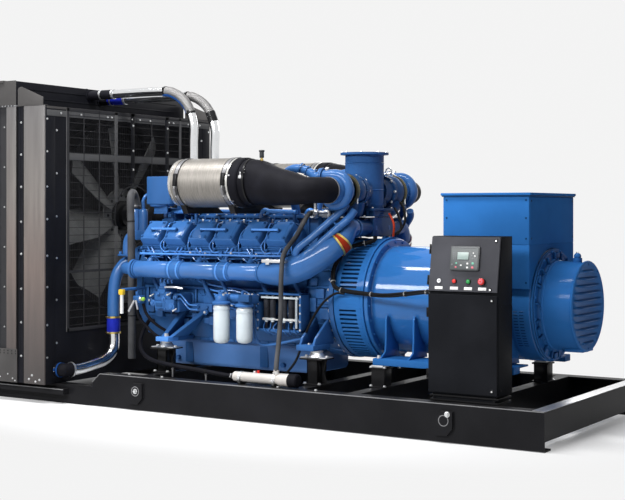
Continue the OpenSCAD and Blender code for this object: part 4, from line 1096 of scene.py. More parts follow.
def slab(p, side, x, y, z, material, bevel=0.003):
    """A box given by its ranges, y measured out from the centre plane on one side."""
    y = sorted((-side * y[0], -side * y[1]))
    p.box((x[0], y[0], z[0]), (x[1], y[1], z[1]), material, bevel)


def ring(centre, axis, radius, count, start=0.0):
    """Bolt places on a circle."""
    turn = facing(centre, axis)
    angles = [start + math.tau * k / count for k in range(count)]
    return [(turn @ vec(radius * math.cos(a), radius * math.sin(a), 0), Vector(axis)) for a in angles]


def air_filter(side, name):
    """Stainless canister with pressed ends, bright bands and two strap clamps on black saddles."""
    p = Piece(name)
    r = FILTER_RADIUS - 0.003
    x1, x2 = filter_low.x, filter_high.x
    c = out(side, 0, FILTER_Y, FILTER_Z)
    cap = shifted((x1, 0), [(0, 0), (0, 0.055), (0.006, 0.066), (0.006, 0.128), (0.001, 0.14),
        (0.006, 0.158), (0.018, r - 0.006), (0.036, r - 0.002), (0.04, r - 0.006)])
    p.lathe_x(cap, c, steel_band, 96)
    body = [(x1 + 0.04, r - 0.006), (x1 + 0.042, r - 0.002), (x1 + 0.122, r - 0.002), (x1 + 0.124, r),
        (x1 + 0.13, r), (x1 + 0.132, r - 0.002), (x2 - 0.142, r - 0.002), (x2 - 0.14, r), (x2 - 0.134, r),
        (x2 - 0.132, r - 0.002), (x2 - 0.098, r - 0.002), (x2 - 0.096, r - 0.006)]
    p.lathe_x(body, c, stainless, 96)
    band = [(x2 - 0.098, r - 0.006), (x2 - 0.096, r + 0.001), (x2 - 0.074, r + 0.001),
        (x2 - 0.072, r - 0.008)]
    p.lathe_x(band, c, steel_band, 96)
    lid = [(x2 - 0.072, r - 0.008), (x2 - 0.07, r - 0.001), (x2 - 0.014, r - 0.001),
        (x2 - 0.004, r - 0.008), (x2, r - 0.02), (x2, 0.1)]
    p.lathe_x(lid, c, hose_rubber, 96)
    saddle_top = [(-side * (FILTER_Y + r * math.sin(a)), FILTER_Z - r * math.cos(a))
        for a in [0.5 - 0.12 * k for k in range(14)]]
    foot = [(-side * 0.16, filter_low.z), (-side * 0.6, filter_low.z)]
    for x in (x1 + 0.09, x2 - 0.11):
        p.prism_x(foot + saddle_top, x - 0.024, x + 0.024, black_steel, 0.002)
        p.band((x, c.y, c.z), RIGHT, r - 0.002, 0.034, strap_steel, (0, -side, -0.35), 96)
        # Thin black bands at both edges of each strap are painted shadow lines.
        for dx in (-0.017, 0.017):
            p.band((x + dx, c.y, c.z), RIGHT, r - 0.0015, 0.004, black_steel, None, 96)
        latch = polar(c, r, side * 1.45)
        p.box((-0.014, -0.045, -0.004), (0.014, 0.045, 0.012), black_steel, 0.003,
            facing(vec(x, 0, 0) + latch, latch - c))
    for a in (-0.9, 0.2, 1.3, 2.4):
        clip = polar(c, r, a * side)
        p.box((-0.012, -0.006, -0.002), (0.012, 0.006, 0.005), strap_steel, 0.001,
            facing(clip + RIGHT * (x2 - 0.066), clip - c))
    return p.done("stainless", *once(side, "air_filters"))


def intake_hose(side, name):
    """Tapering rubber hose from the filter round into the compressor inlet."""
    p = Piece(name)
    a = out(side, filter_high.x - 0.006, FILTER_Y, FILTER_Z)
    b = out(side, TURBO.x, turbo_high.y - 0.012, TURBO.z)
    bend = 0.12
    centre = b + out(side, -bend, 0.022, 0)
    c = centre + out(side, 0, bend, 0)
    arc = [centre + out(side, bend * math.sin(t), bend * math.cos(t), 0)
        for t in (0.5, 1.0, 1.35, math.pi / 2)]
    path = curve([a, a + RIGHT * 0.09, a.lerp(c, 0.45), a.lerp(c, 0.8), c] + arc + [b], 8)
    last = len(path) - 1
    radii = []
    for i in range(last + 1):
        t = min(1.0, i / last / 0.55)
        radii.append(0.163 + (INLET - 0.163) * t * t * (3 - 2 * t))
    p.sweep(path, radii, hose_rubber, 56)
    for i, width, material in ((3, 0.012, black_steel), (last - 5, 0.01, strap_steel)):
        along = path[i + 1] - path[i - 1]
        p.band(path[i], along, radii[i] + 0.001, width, material, (0.2, -side, 0.5), 64)
    clamp = path[3] + vec(0, -side * (radii[3] - 0.004), 0.035)
    p.rod(clamp - UP * 0.035, clamp + UP * 0.035, 0.0045, zinc, 8)
    p.box((-0.012, -0.008, -0.01), (0.012, 0.004, 0.01), zinc, 0.002, at(clamp))
    return p.done("black_rubber", *once(side, "intake_hoses"))


def turbocharger(side, name):
    """Compressor scroll, bearing housing, clamp band and turbine, on an axis across the engine."""
    p = Piece(name)
    c = out(side, TURBO.x, TURBO_Y, TURBO.z)
    axis = vec(0, -side, 0)
    turn = facing(c, axis)
    inlet = [(0.098, 0.076), (0.1, 0.082), (0.098, 0.087), (0.092, 0.088), (0.07, 0.088), (0.062, 0.094),
        (0.04, 0.098), (0.0, 0.096), (-0.046, 0.099), (-0.052, 0.099), (-0.054, 0.085), (-0.058, 0.072),
        (-0.075, 0.066), (-0.1, 0.066), (-0.106, 0.088), (-0.106, 0.104)]
    p.lathe([(0.06, 0), (0.06, 0.072)] + inlet, turn, engine_paint, 64)
    # Scroll that grows round to the outlet over the top
    scroll, radii = [], []
    for k in range(61):
        a = math.radians(150 + 300 * k / 60)
        scroll.append(c + vec(0.098 * math.cos(a), 0, 0.098 * math.sin(a)))
        radii.append(0.028 + 0.018 * k / 60)
    exit_point = scroll[-1]
    scroll += [exit_point + LEFT * 0.05, exit_point + LEFT * 0.1]
    radii += [0.045, 0.044]
    p.sweep(scroll, radii, smooth_paint, 28)
    flange = exit_point + LEFT * 0.105
    p.lathe([(-0.014, 0.03), (-0.014, 0.058), (0.0, 0.058), (0.0, 0.03)], facing(flange, LEFT), cast_paint,
        32)
    p.lathe([(0.004, 0.03), (0.004, 0.056), (0.016, 0.056), (0.016, 0.03)], facing(flange, LEFT),
        smooth_paint, 32)
    pipe = shifted(flange, [(-0.01, 0, 0), (-0.05, 0, 0), (-0.1, side * 0.01, 0.024),
        (-0.17, side * 0.02, 0.052), (-0.27, side * 0.04, 0.056), (-0.38, side * 0.13, 0.02),
        (-0.42, side * 0.26, -0.1), (-0.42, side * 0.32, -0.26)])
    p.sweep(curve(pipe, 6), 0.03, smooth_paint, 20)
    for k in (0.07, 0.13, 0.18):
        p.band(flange + vec(-k, side * 0.012, 0.006 + (k - 0.05) * 0.42), (-1, 0, 0.4), 0.033, 0.012,
            cast_paint)
    p.lathe([(0, 0.014), (0.018, 0.014), (0.02, 0.01), (0.02, 0)], facing(exit_point + vec(-0.06,
        -side * 0.01, 0.04), (0, -side * 0.5, 1)), white_plastic, 16)
    # Clamp band over the joint, with its clamping bolt
    v_band = [(-0.138, 0.103), (-0.136, 0.114), (-0.126, 0.119), (-0.114, 0.119), (-0.104, 0.114),
        (-0.102, 0.103)]
    p.lathe(v_band + v_band[:1], turn, olive, 72)
    for a in (-0.6, 2.3):
        spot = c + vec(0.124 * math.cos(a), side * 0.12, 0.124 * math.sin(a))
        p.rod(spot - UP * 0.022, spot + UP * 0.022, 0.0055, zinc, 8)
    housing = [(-0.136, 0.06), (-0.136, 0.108), (-0.15, 0.113), (-0.185, 0.118), (-0.215, 0.114),
        (-0.238, 0.104), (-0.24, 0.112), (-0.258, 0.112), (-0.26, 0.06)]
    p.lathe(housing, turn, deep_paint, 64)
    # Turbine scroll with its inlet foot on the support
    p.sweep(curve(shifted(c, [(0.055, side * 0.19, -0.06), (0.03, side * 0.21, -0.12),
        (0.0, side * 0.24, -0.155), (-0.02, side * 0.26, -0.17)]), 5), 0.062, deep_paint, 20)
    # Oil feed and drain pipes of the bearing housing
    middle = c + vec(0, side * 0.085, 0)
    p.box((-0.024, -0.016, 0.06), (0.024, 0.016, 0.078), cast_paint, 0.003, at(middle))
    p.sweep(curve(shifted(middle, [(0, 0, 0.075), (0, 0, 0.12), (-0.05, side * 0.02, 0.135),
        (-0.13, side * 0.06, 0.09), (-0.2, side * 0.12, -0.06)]), 6), 0.007, zinc, 10)
    p.sweep(curve(shifted(middle, [(0, 0, -0.06), (0, 0, -0.1), (-0.03, side * 0.05, -0.14),
        (-0.05, side * 0.12, -0.17)]), 5), 0.017, cast_paint, 14)
    p.done("engine_blue", *once(side, "turbochargers"))
    places = ring(c + axis * 0.041, axis, 0.094, 10, 0.3) + ring(c - axis * 0.24, axis, 0.106, 8)
    bolts(name + "_bolts", places, 0.0065, slot="engine_blue", material=cast_paint)


def exhaust_stack():
    """Outlet pipe with its flange and the cross duct between the turbines."""
    p = Piece("exhaust_stack")
    x = (exhaust_low.x + exhaust_high.x) / 2
    top = exhaust_high.z
    low = exhaust_low.z
    pipe = [(low, 0.1), (low, 0.138), (low + 0.028, 0.14), (low + 0.03, 0.138), (top - 0.02, 0.138),
        (top - 0.016, 0.141), (top - 0.016, 0.172), (top, 0.172), (top, 0.13), (top - 0.3, 0.13),
        (top - 0.3, 0)]
    p.lathe(pipe, at((x, 0, 0)), stack_paint, 80)
    for z in (low + 0.13, top - 0.075):
        p.lathe([(z - 0.004, 0.137), (z, 0.1415), (z + 0.004, 0.137)], at((x, 0, 0)), cast_paint, 80)
    for side in (1, -1):
        axis = vec(0, -side, 0)
        duct = facing(vec(TURBO.x, 0, TURBO.z), axis)
        p.lathe([(0.1, 0.085), (0.125, 0.086), (0.15, 0.092), (0.184, 0.096), (0.186, 0.112), (0.2, 0.112),
            (0.2, 0.05)], duct, deep_paint, 56)
        p.box((x - 0.1, -side * 0.125 - 0.02, low + 0.01), (x + 0.1, -side * 0.125 + 0.02, TURBO.z - 0.04),
            deep_paint, 0.01)
    # Lifting ring by the far turbine
    centre = vec(TURBO.x - 0.01, 0.3, TURBO.z + 0.15)
    loop = [centre + vec(0.024 * math.cos(a), 0, 0.024 * math.sin(a))
        for a in [math.tau * k / 24 for k in range(24)]]
    p.sweep(loop, 0.006, zinc, 10, closed=True)
    p.rod(centre - UP * 0.05, centre - UP * 0.022, 0.01, zinc, 12)
    p.done("engine_blue", "exhaust_outlet")
    places = ring((x, 0, top), UP, 0.158, 8, math.pi / 8)
    for side in (1, -1):
        places += ring((TURBO.x, -side * 0.185, TURBO.z), (0, side, 0), 0.105, 8)
    bolts("exhaust_bolts", places, 0.0085, slot="engine_blue")


def support():
    """Cast saddle under the exhaust and the charge-air crossover over the drum."""
    p = Piece("turbo_saddle")
    low, high = support_low, support_high
    end = block_high.x - 0.03
    saddle_top = exhaust_low.z
    p.box((end, -0.13, low.z), (exhaust_high.x - 0.022, 0.13, saddle_top - 0.016), deep_paint, 0.012)
    p.box((end + 0.02, -0.15, saddle_top - 0.018), (exhaust_high.x - 0.01, 0.15, saddle_top), deep_paint,
        0.004)
    for side in (1, -1):
        for x in spaced(end + 0.05, exhaust_high.x - 0.07, 4):
            p.box((x - 0.006, -side * 0.13 - 0.014, low.z + 0.02), (x + 0.006, -side * 0.13 + 0.014,
                saddle_top - 0.017), cast_paint, 0.003)
    cross = CROSSOVER
    p.rod(cross + NEAR * 0.297, cross + FAR * 0.297, 0.06, deep_paint, 40)
    for y in (-0.297, -0.1, 0.085, 0.277):
        p.rod(cross + FAR * y, cross + FAR * (y + 0.02), 0.067, cast_paint, 40)
    p.box((end + 0.06, -0.24, 1.374), (high.x - 0.07, 0.24, 1.382), zinc, 0.002)
    p.box((end + 0.1, -0.2, 1.362), (high.x - 0.1, 0.2, 1.374), black_steel, 0.002)
    for side in (1, -1):
        p.box((cross.x - 0.03, -side * 0.17 - 0.03, 1.35), (cross.x + 0.03, -side * 0.17 + 0.03, 1.374),
            deep_paint, 0.004)
        outlet = facing(out(side, block_high.x + 0.015, 0.13, high.z - 0.04), (0, -side, 0))
        if side > 0:
            p.lathe([(0, 0.03), (0.03, 0.03), (0.034, 0.022), (0.2, 0.022), (0.205, 0.028), (0.214, 0.028),
                (0.214, 0.01)], outlet, zinc, 24)
            p.ball(out(side, block_high.x + 0.015, 0.3, high.z - 0.04), 0.034, zinc)
            p.rod(out(side, block_high.x + 0.015, 0.3, high.z - 0.05),
                out(side, block_high.x + 0.015, 0.3, high.z + 0.04), 0.013, zinc)
    p.done("engine_blue", "turbo_support")
    places = [(vec(x, side * 0.136, saddle_top), UP) for side in (1, -1)
        for x in spaced(end + 0.04, exhaust_high.x - 0.03, 5)]
    places += [(vec(x, y, 1.382), UP) for x in (end + 0.09, high.x - 0.1) for y in (-0.21, 0.21)]
    bolts("saddle_bolts", places, 0.008, slot="engine_blue")


def sensor_lines():
    """Red and black leads with their plugs beside the support."""
    x, z = support_high.x - 0.06, support_low.z
    red = [shifted((x, 0, z), [(0.03, 0.02, 0.16), (0.06, 0.0, 0.13), (0.09, -0.02, 0.08),
        (0.085, -0.02, 0)])]
    black = [shifted((x, 0, z), [(0.03, 0.1, 0.2), (0.08, 0.06, 0.15), (0.11, 0.05, 0.06),
        (0.08, 0.0, 0.01)]), shifted((x, 0, z), [(0.02, 0.2, 0.24), (0.07, 0.16, 0.2), (0.1, 0.12, 0.1),
        (0.05, 0.1, 0.01)])]
    tubes("sensor_leads_red", [curve(r, 6) for r in red], 0.008, red_rubber, slot="black_rubber")
    tubes("sensor_leads_black", [curve(r, 6) for r in black], 0.009, loom_rubber, slot="black_rubber")


def plenum():
    """Charge-air chest in the valley, with its ribbed lid."""
    p = Piece("intake_chest")
    low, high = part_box("intake_plenum")
    p.box((low.x, low.y, low.z), (high.x, high.y, high.z - 0.03), cast_paint, 0.014)
    p.box((low.x, low.y - 0.012, high.z - 0.034), (high.x, high.y + 0.012, high.z - 0.01), engine_paint,
        0.005)
    p.box((low.x + 0.03, low.y + 0.03, high.z - 0.012), (high.x - 0.03, high.y - 0.03, high.z),
        engine_paint, 0.006)
    for x in spaced(low.x + 0.08, high.x - 0.08, 11):
        for side in (1, -1):
            p.box((x - 0.007, -side * high.y - 0.016, low.z + 0.01), (x + 0.007, -side * high.y + 0.016,
                high.z - 0.034), cast_paint, 0.004)
    p.done("engine_blue", "intake_plenum")
    places = [(vec(x, side * (high.y - 0.004), high.z - 0.01), UP) for side in (1, -1)
        for x in spaced(low.x + 0.04, high.x - 0.04, 14)]
    bolts("chest_bolts", places, 0.0085, slot="engine_blue")


def dust_gauge():
    """Restriction gauge standing on the hose: black bowl with a brass foot."""
    p = Piece("dust_gauge")
    foot = out(1, filter_high.x + 0.1, FILTER_Y, FILTER_Z + 0.145)
    p.lathe([(0, 0.012), (0.018, 0.012), (0.02, 0.008), (0.03, 0.008), (0.03, 0)], at(foot), brass, 16)
    p.lathe([(0.026, 0), (0.026, 0.014), (0.03, 0.016), (0.066, 0.016), (0.07, 0.02), (0.08, 0.02),
        (0.082, 0)], at(foot), dark_plastic, 20)
    p.done("control_plastic")


both(("air_filter", "intake_hose", "turbocharger"), air_filter, intake_hose, turbocharger)
dust_gauge()
exhaust_stack()
support()
sensor_lines()
plenum()


# ---- tanks, pumps, filters and pipes on the engine ----

def header_tank():
    """Upright coolant tank on a bracket behind the first filter; its label place is left bare."""
    p = Piece("coolant_header_tank")
    low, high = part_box("header_tank")
    floor = high.z - 0.24
    p.prism(round_outline((low.x, low.y), (high.x, low.y + 0.2), 0.028), 0.208, tank_paint, 0.01,
        at((0, 0, floor + 0.02)), 3)
    p.lathe([(0, 0.06), (0.006, 0.088), (0.024, 0.094)], at(((low.x + high.x) / 2 - 0.04, low.y + 0.1,
        floor)), engine_paint, 40)
    p.box((low.x + 0.04, low.y + 0.05, floor - 0.05), (high.x - 0.07, high.y, floor - 0.038), cast_paint,
        0.003)
    for y in (low.y + 0.06, high.y - 0.05):
        p.box((low.x + 0.04, y - 0.006, floor - 0.05), (high.x - 0.07, y + 0.006, floor + 0.03), cast_paint,
            0.003)
    p.box((low.x + 0.04, high.y - 0.09, low.z), (high.x - 0.07, high.y, floor - 0.045), cast_paint, 0.01)
    cap = at((high.x - 0.06, low.y + 0.1, high.z - 0.014))
    p.lathe([(0, 0.032), (0.006, 0.032), (0.01, 0.026), (0.012, 0)], cap, smooth_paint, 28)
    p.rod((high.x - 0.06, low.y + 0.1, high.z - 0.005), (high.x - 0.06, low.y + 0.1, high.z - 0.0005),
        0.012, zinc, 6)
    pipe = shifted((high.x, high.y, floor), [(-0.02, -0.05, 0.12), (0.035, -0.04, 0.12),
        (0.06, -0.02, 0.07), (0.06, 0, -0.07)])
    p.sweep(curve(pipe, 6), 0.016, smooth_paint, 14)
    p.done("engine_blue", "header_tank")


def breathers():
    """Pair of breather canisters with the hose that runs down in front of the engine."""
    p = Piece("breather_pair")
    low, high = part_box("breather_canisters")
    y = low.y + 0.035
    for k, x in enumerate((low.x + 0.02, low.x + 0.088)):
        base = at((x, y, low.z))
        wide = 0.038 - 0.004 * k
        p.lathe([(0.03, wide - 0.006), (0.036, wide), (0.06, wide), (0.063, wide + 0.002),
            (0.071, wide + 0.002), (0.074, wide), (high.z - low.z - 0.03, wide),
            (high.z - low.z - 0.012, wide - 0.006), (high.z - low.z - 0.006, 0.012),
            (high.z - low.z + 0.01, 0.012), (high.z - low.z + 0.01, 0)], base, pipe_paint, 32)
        p.rod((x, y, high.z - 0.02), (x, y, high.z + 0.018 + 0.01 * k), 0.014, cast_paint, 14)
    p.prism(round_outline((low.x, low.y), (high.x, high.y), 0.02), 0.074, cast_paint, 0.008,
        at((0, 0, low.z)))
    p.sweep(curve(shifted((low.x, y, high.z), [(0.088, 0, 0.01), (0.088, 0, 0.06), (0.1, 0.05, 0.1),
        (0.16, 0.14, 0.06), (0.2, 0.2, -0.04)]), 6), 0.013, smooth_paint, 14)
    p.done("engine_blue", "breather_canisters")
    hose = Piece("breather_down_hose")
    x, top, foot = low.x + 0.02, high.z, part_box("breather_hose")[0].z
    route = shifted((x, y, 0), [(0, 0, top), (0, 0, top + 0.04), (0, -0.02, top + 0.09),
        (0.022, -0.07, top + 0.115), (0.048, -0.125, top + 0.085), (0.066, -0.148, top),
        (0.076, -0.152, top - 0.25), (0.08, -0.152, top - 0.7), (0.081, -0.152, foot + 0.03),
        (0.081, -0.152, foot)])
    path = curve(route, 8)
    hose.sweep(path, 0.0285, grey_rubber, 24)
    hose.band(path[3], path[4] - path[2], 0.0295, 0.012, strap_steel, (-0.3, -1, 0.2))
    for i in (44, 58):
        hose.band_at(path, i, 0.0288, 0.008, black_steel)
    hose.done("black_rubber", "breather_hose")


def oil_filter(p, x, y, top, length):
    """Spin-on canister: gasket, rolled rim, long body and a domed foot."""
    r = 0.0575
    p.lathe([(0, 0.045), (-0.006, 0.045), (-0.008, r - 0.005), (-0.016, r - 0.001), (-0.024, r),
        (-0.028, r + 0.0012), (-0.036, r + 0.0012), (-0.04, r - 0.0015), (-0.055, r - 0.0015), (-0.06, r),
        (-length + 0.04, r), (-length + 0.022, r - 0.003), (-length + 0.008, r - 0.014),
        (-length + 0.001, r - 0.034), (-length, 0)], at((x, y, top)), white_enamel, 48)


def oil_filters():
    """Two white canisters under their cast heads, with the pipes between them."""
    p = Piece("oil_filter_canisters")
    low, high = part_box("oil_filters")
    spots = (low.x + 0.059, high.x - 0.059)
    y = low.y + 0.059
    oil_filter(p, spots[0], y, high.z, high.z - low.z)
    oil_filter(p, spots[1], y, high.z - 0.012, high.z - low.z - 0.022)
    p.done("white_paint", "oil_filters")
    h = Piece("oil_filter_castings")
    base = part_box("oil_filter_heads")[0].z
    for k, x in enumerate(spots):
        place = at((x, y, base - 0.012 * k))
        h.lathe([(0, 0.03), (0, 0.064), (0.01, 0.066), (0.02, 0.06), (0.024, 0.044), (0.052, 0.04),
            (0.06, 0.036), (0.07, 0.018), (0.086, 0.018), (0.088, 0)], place, cast_paint, 40)
        h.rod((x - 0.03, y + 0.02, base + 0.06), (x - 0.03, y + 0.02, base + 0.095), 0.012, smooth_paint, 6)
        h.rod((x + 0.026, y - 0.012, base + 0.05), (x + 0.026, y - 0.012, base + 0.075), 0.008, zinc, 6)
        h.box((x - 0.045, y + 0.02, base + 0.006), (x + 0.045, -BLOCK_SIDE - 0.02, base + 0.07), cast_paint,
            0.014)
        h.sweep(curve(shifted((x, 0, base), [(-0.04, y + 0.03, 0.04), (-0.075, y + 0.04, 0.05),
            (-0.1, y + 0.11, 0.03), (-0.11, -BLOCK_SIDE - 0.03, -0.04)]), 5), 0.013, smooth_paint, 14)
    h.rod((spots[0] + 0.03, y + 0.06, base + 0.04), (spots[1] - 0.03, y + 0.06, base + 0.04), 0.028,
        cast_paint, 24)
    h.box((spots[1] - 0.015, y - 0.055, base + 0.026), (spots[1] + 0.075, y - 0.01, base + 0.075),
        deep_paint, 0.005)
    h.rod((spots[0] - 0.09, y + 0.05, base + 0.01), (spots[0] - 0.03, y + 0.05, base + 0.01), 0.016,
        smooth_paint, 14)
    h.done("engine_blue", "oil_filter_heads")
    places = [(vec(x + dx, y + 0.05, base + 0.072), UP) for x in spots for dx in (-0.03, 0.0, 0.03)]
    bolts("filter_head_bolts", places, 0.0075, slot="engine_blue", material=zinc)


def injection_pump():
    """Fuel pump block with its delivery unions, covers and linkage."""
    p = Piece("injection_pump")
    low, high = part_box("fuel_pump")
    y = low.y
    mid = (low.z + high.z) / 2
    x1, x2 = low.x + 0.03, high.x - 0.02
    p.box((x1, y + 0.05, low.z + 0.01), (x2, -BLOCK_SIDE - 0.01, high.z - 0.045), cast_paint, 0.012)
    p.box((x1 + 0.015, y + 0.025, mid - 0.02), (x2 - 0.06, y + 0.07, high.z - 0.03), engine_paint, 0.01)
    p.box((x1 + 0.03, y + 0.01, low.z + 0.03), (x1 + 0.12, y + 0.07, mid - 0.005), engine_paint, 0.012)
    p.box((x2 - 0.13, y + 0.015, low.z + 0.02), (x2 - 0.02, y + 0.08, mid + 0.01), cast_paint, 0.014)
    p.box((x1 + 0.05, y + 0.02, high.z - 0.05), (x2 - 0.11, -BLOCK_SIDE - 0.06, high.z - 0.012),
        engine_paint, 0.008)
    p.box((x1 + 0.045, y + 0.006, low.z + 0.045), (x1 + 0.105, y + 0.012, mid - 0.02), deep_paint, 0.002)
    for x in spaced(x1 + 0.06, x2 - 0.13, 4):
        p.lathe([(0, 0.014), (0.018, 0.014), (0.02, 0.01), (0.042, 0.01), (0.044, 0.006), (0.05, 0.006),
            (0.05, 0)], at((x, y + 0.05, high.z - 0.014)), smooth_paint, 14)
    for dx, dz, r in ((0.04, 0.07, 0.024), (0.14, 0.1, 0.02), (0.215, 0.05, 0.028), (0.245, 0.115, 0.016),
            (0.09, 0.135, 0.013)):
        boss = facing((low.x + dx, y + 0.04, low.z + dz), NEAR)
        p.lathe([(0, r), (0.024, r), (0.028, r - 0.004), (0.029, r * 0.55), (0.036, r * 0.5), (0.037, 0)],
            boss, smooth_paint, 20)
    for dx, dz, long in ((0.19, 0.135, 0.05), (0.235, 0.02, 0.035), (0.02, 0.12, 0.03)):
        spot = vec(low.x + dx, y + 0.03, low.z + dz)
        p.rod(spot, spot + NEAR * long * 0.7, 0.008, zinc, 6)
        p.rod(spot + NEAR * long * 0.5, spot + vec(0.03, -long * 0.5, 0.016), 0.005, zinc, 8)
    p.done("engine_blue", "fuel_pump")
    pipes_out = []
    for k in range(4):
        start = vec(x1 + 0.06 + 0.035 * k, y + 0.05, high.z + 0.03)
        pipes_out.append(curve(shifted(start, [(0, 0, 0), (0, 0, 0.03), (0.03 + 0.02 * k, 0.02, 0.055),
            (0.1 + 0.02 * k, 0.07, 0.07), (0.16, 0.12, 0.02)]), 5))
    side_line = shifted((x2, y, mid), [(-0.01, 0.04, 0.04), (0.04, 0.02, 0.045), (0.1, 0, 0.005),
        (0.15, -0.02, -0.02), (0.23, -0.03, -0.022)])
    tubes("pump_pipes", pipes_out + [curve(side_line, 6), curve([v + vec(0, 0, -0.03) for v in side_line],
        6)], 0.006, smooth_paint)
    tubes("pump_silver_pipes", [curve([vec(x2 - 0.09, y, high.z + 0.005), vec(x2, y - 0.01, high.z + 0.008),
        vec(x2 + 0.07, y, high.z)], 5)], 0.0075, zinc)
    places = []
    for dx in (0.05, 0.09, 0.13, 0.17, 0.21):
        places += [(vec(low.x + dx, y + 0.025, high.z - 0.038), NEAR),
            (vec(low.x + dx, y + 0.025, mid - 0.01), NEAR)]
    for dx in (0.155, 0.235):
        places += [(vec(low.x + dx, y + 0.015, low.z + dz), NEAR) for dz in (0.032, 0.075)]
    bolts("pump_bolts", places, 0.0065, material=smooth_paint, slot="engine_blue")


def injector_bank():
    """Open rack of five dark cylinders with white unions and a light top plate."""
    p = Piece("cylinder_rack")
    low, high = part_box("injector_rack")
    y = low.y
    back = y + 0.105
    frame_width = 0.018
    p.box((low.x, back, low.z), (high.x, back + 0.012, high.z), deep_paint, 0.003)
    for a, b in (((low.x, low.z), (low.x + frame_width, high.z)), ((high.x - frame_width, low.z),
            (high.x, high.z)), ((low.x, low.z), (high.x, low.z + frame_width)),
            ((low.x, high.z - 0.012), (high.x, high.z))):
        p.box((a[0], y, a[1]), (b[0], back + 0.01, b[1]), engine_paint, 0.003)
    for z in (low.z + 0.07, high.z - 0.08):
        p.box((low.x + 0.04, back, z), (low.x + 0.2, -BLOCK_SIDE, z + 0.04), deep_paint, 0.004)
    p.box((low.x + 0.03, y + 0.008, high.z - 0.04), (high.x - 0.03, y + 0.022, high.z - 0.026), cream_paint,
        0.002)
    p.rod((high.x - 0.045, y + 0.012, low.z + 0.03), (high.x - 0.045, y + 0.012, high.z - 0.03), 0.008,
        cream_paint, 10)
    for k, x in enumerate((0.055, 0.107, 0.205, 0.262, 0.308)):
        spot = vec(low.x + x, y + 0.045, 0)
        r = 0.0215 if k != 2 else 0.019
        p.lathe([(low.z + 0.095, 0), (low.z + 0.095, r - 0.002), (low.z + 0.1, r), (low.z + 0.155, r),
            (low.z + 0.157, r - 0.002), (low.z + 0.163, r - 0.002), (low.z + 0.165, r), (high.z - 0.055, r),
            (high.z - 0.045, r - 0.006), (high.z - 0.04, 0)], at((spot.x, spot.y, 0)), rack_cylinder, 24)
        p.rod((spot.x, spot.y, high.z - 0.05), (spot.x, spot.y, high.z - 0.02), 0.009, zinc, 10)
        union = low.z + 0.08
        p.lathe([(-0.016, 0), (-0.016, 0.012), (-0.006, 0.012), (-0.004, 0.017), (0.01, 0.017),
            (0.012, 0.013), (0.02, 0.013), (0.02, 0)], at((spot.x, spot.y - 0.004, union)), cream_paint, 12)
        p.rod((spot.x - 0.026, spot.y - 0.012, union + 0.004), (spot.x + 0.026, spot.y - 0.012,
            union + 0.004), 0.009, white_plastic, 10)
        p.rod((spot.x, spot.y - 0.004, low.z + 0.02), (spot.x, spot.y - 0.004, union - 0.01), 0.0075,
            rack_cylinder, 10)
    p.rod((low.x + 0.03, y + 0.03, low.z + 0.082), (high.x - 0.035, y + 0.03, low.z + 0.082), 0.0055,
        white_plastic, 10)
    p.done("rack_dark", "injector_rack")
    wires = []
    rng = random.Random(12)
    for k in range(6):
        x = low.x + 0.05 + 0.05 * k
        wires.append(curve(shifted((x, y, low.z), [(0, 0.03, 0.06), (rng.uniform(-0.01, 0.03), 0, 0.03),
            (rng.uniform(0.0, 0.05), -0.01, 0), (0.05, 0.04, -0.03)]), 5))
    tubes("rack_wires", wires, 0.0042, smooth_paint)
    tubes("rack_pipe", [curve(shifted((0, y, 0), [(low.x - 0.015, 0.05, high.z - 0.02),
        (low.x - 0.03, 0.02, high.z - 0.06), (low.x - 0.03, 0.01, low.z + 0.05), (low.x, 0, low.z - 0.06),
        (low.x + 0.06, 0.02, low.z - 0.1), (high.x - 0.03, 0.01, low.z - 0.045),
        (high.x + 0.02, 0.05, low.z - 0.02)]), 6)], 0.01, smooth_paint)
    corners = [(vec(x, y, z), NEAR) for x in (low.x + 0.009, high.x - 0.009)
        for z in spaced(low.z + 0.02, high.z - 0.02, 5)]
    bolts("rack_bolts", corners, 0.0058, slot="rack_dark")


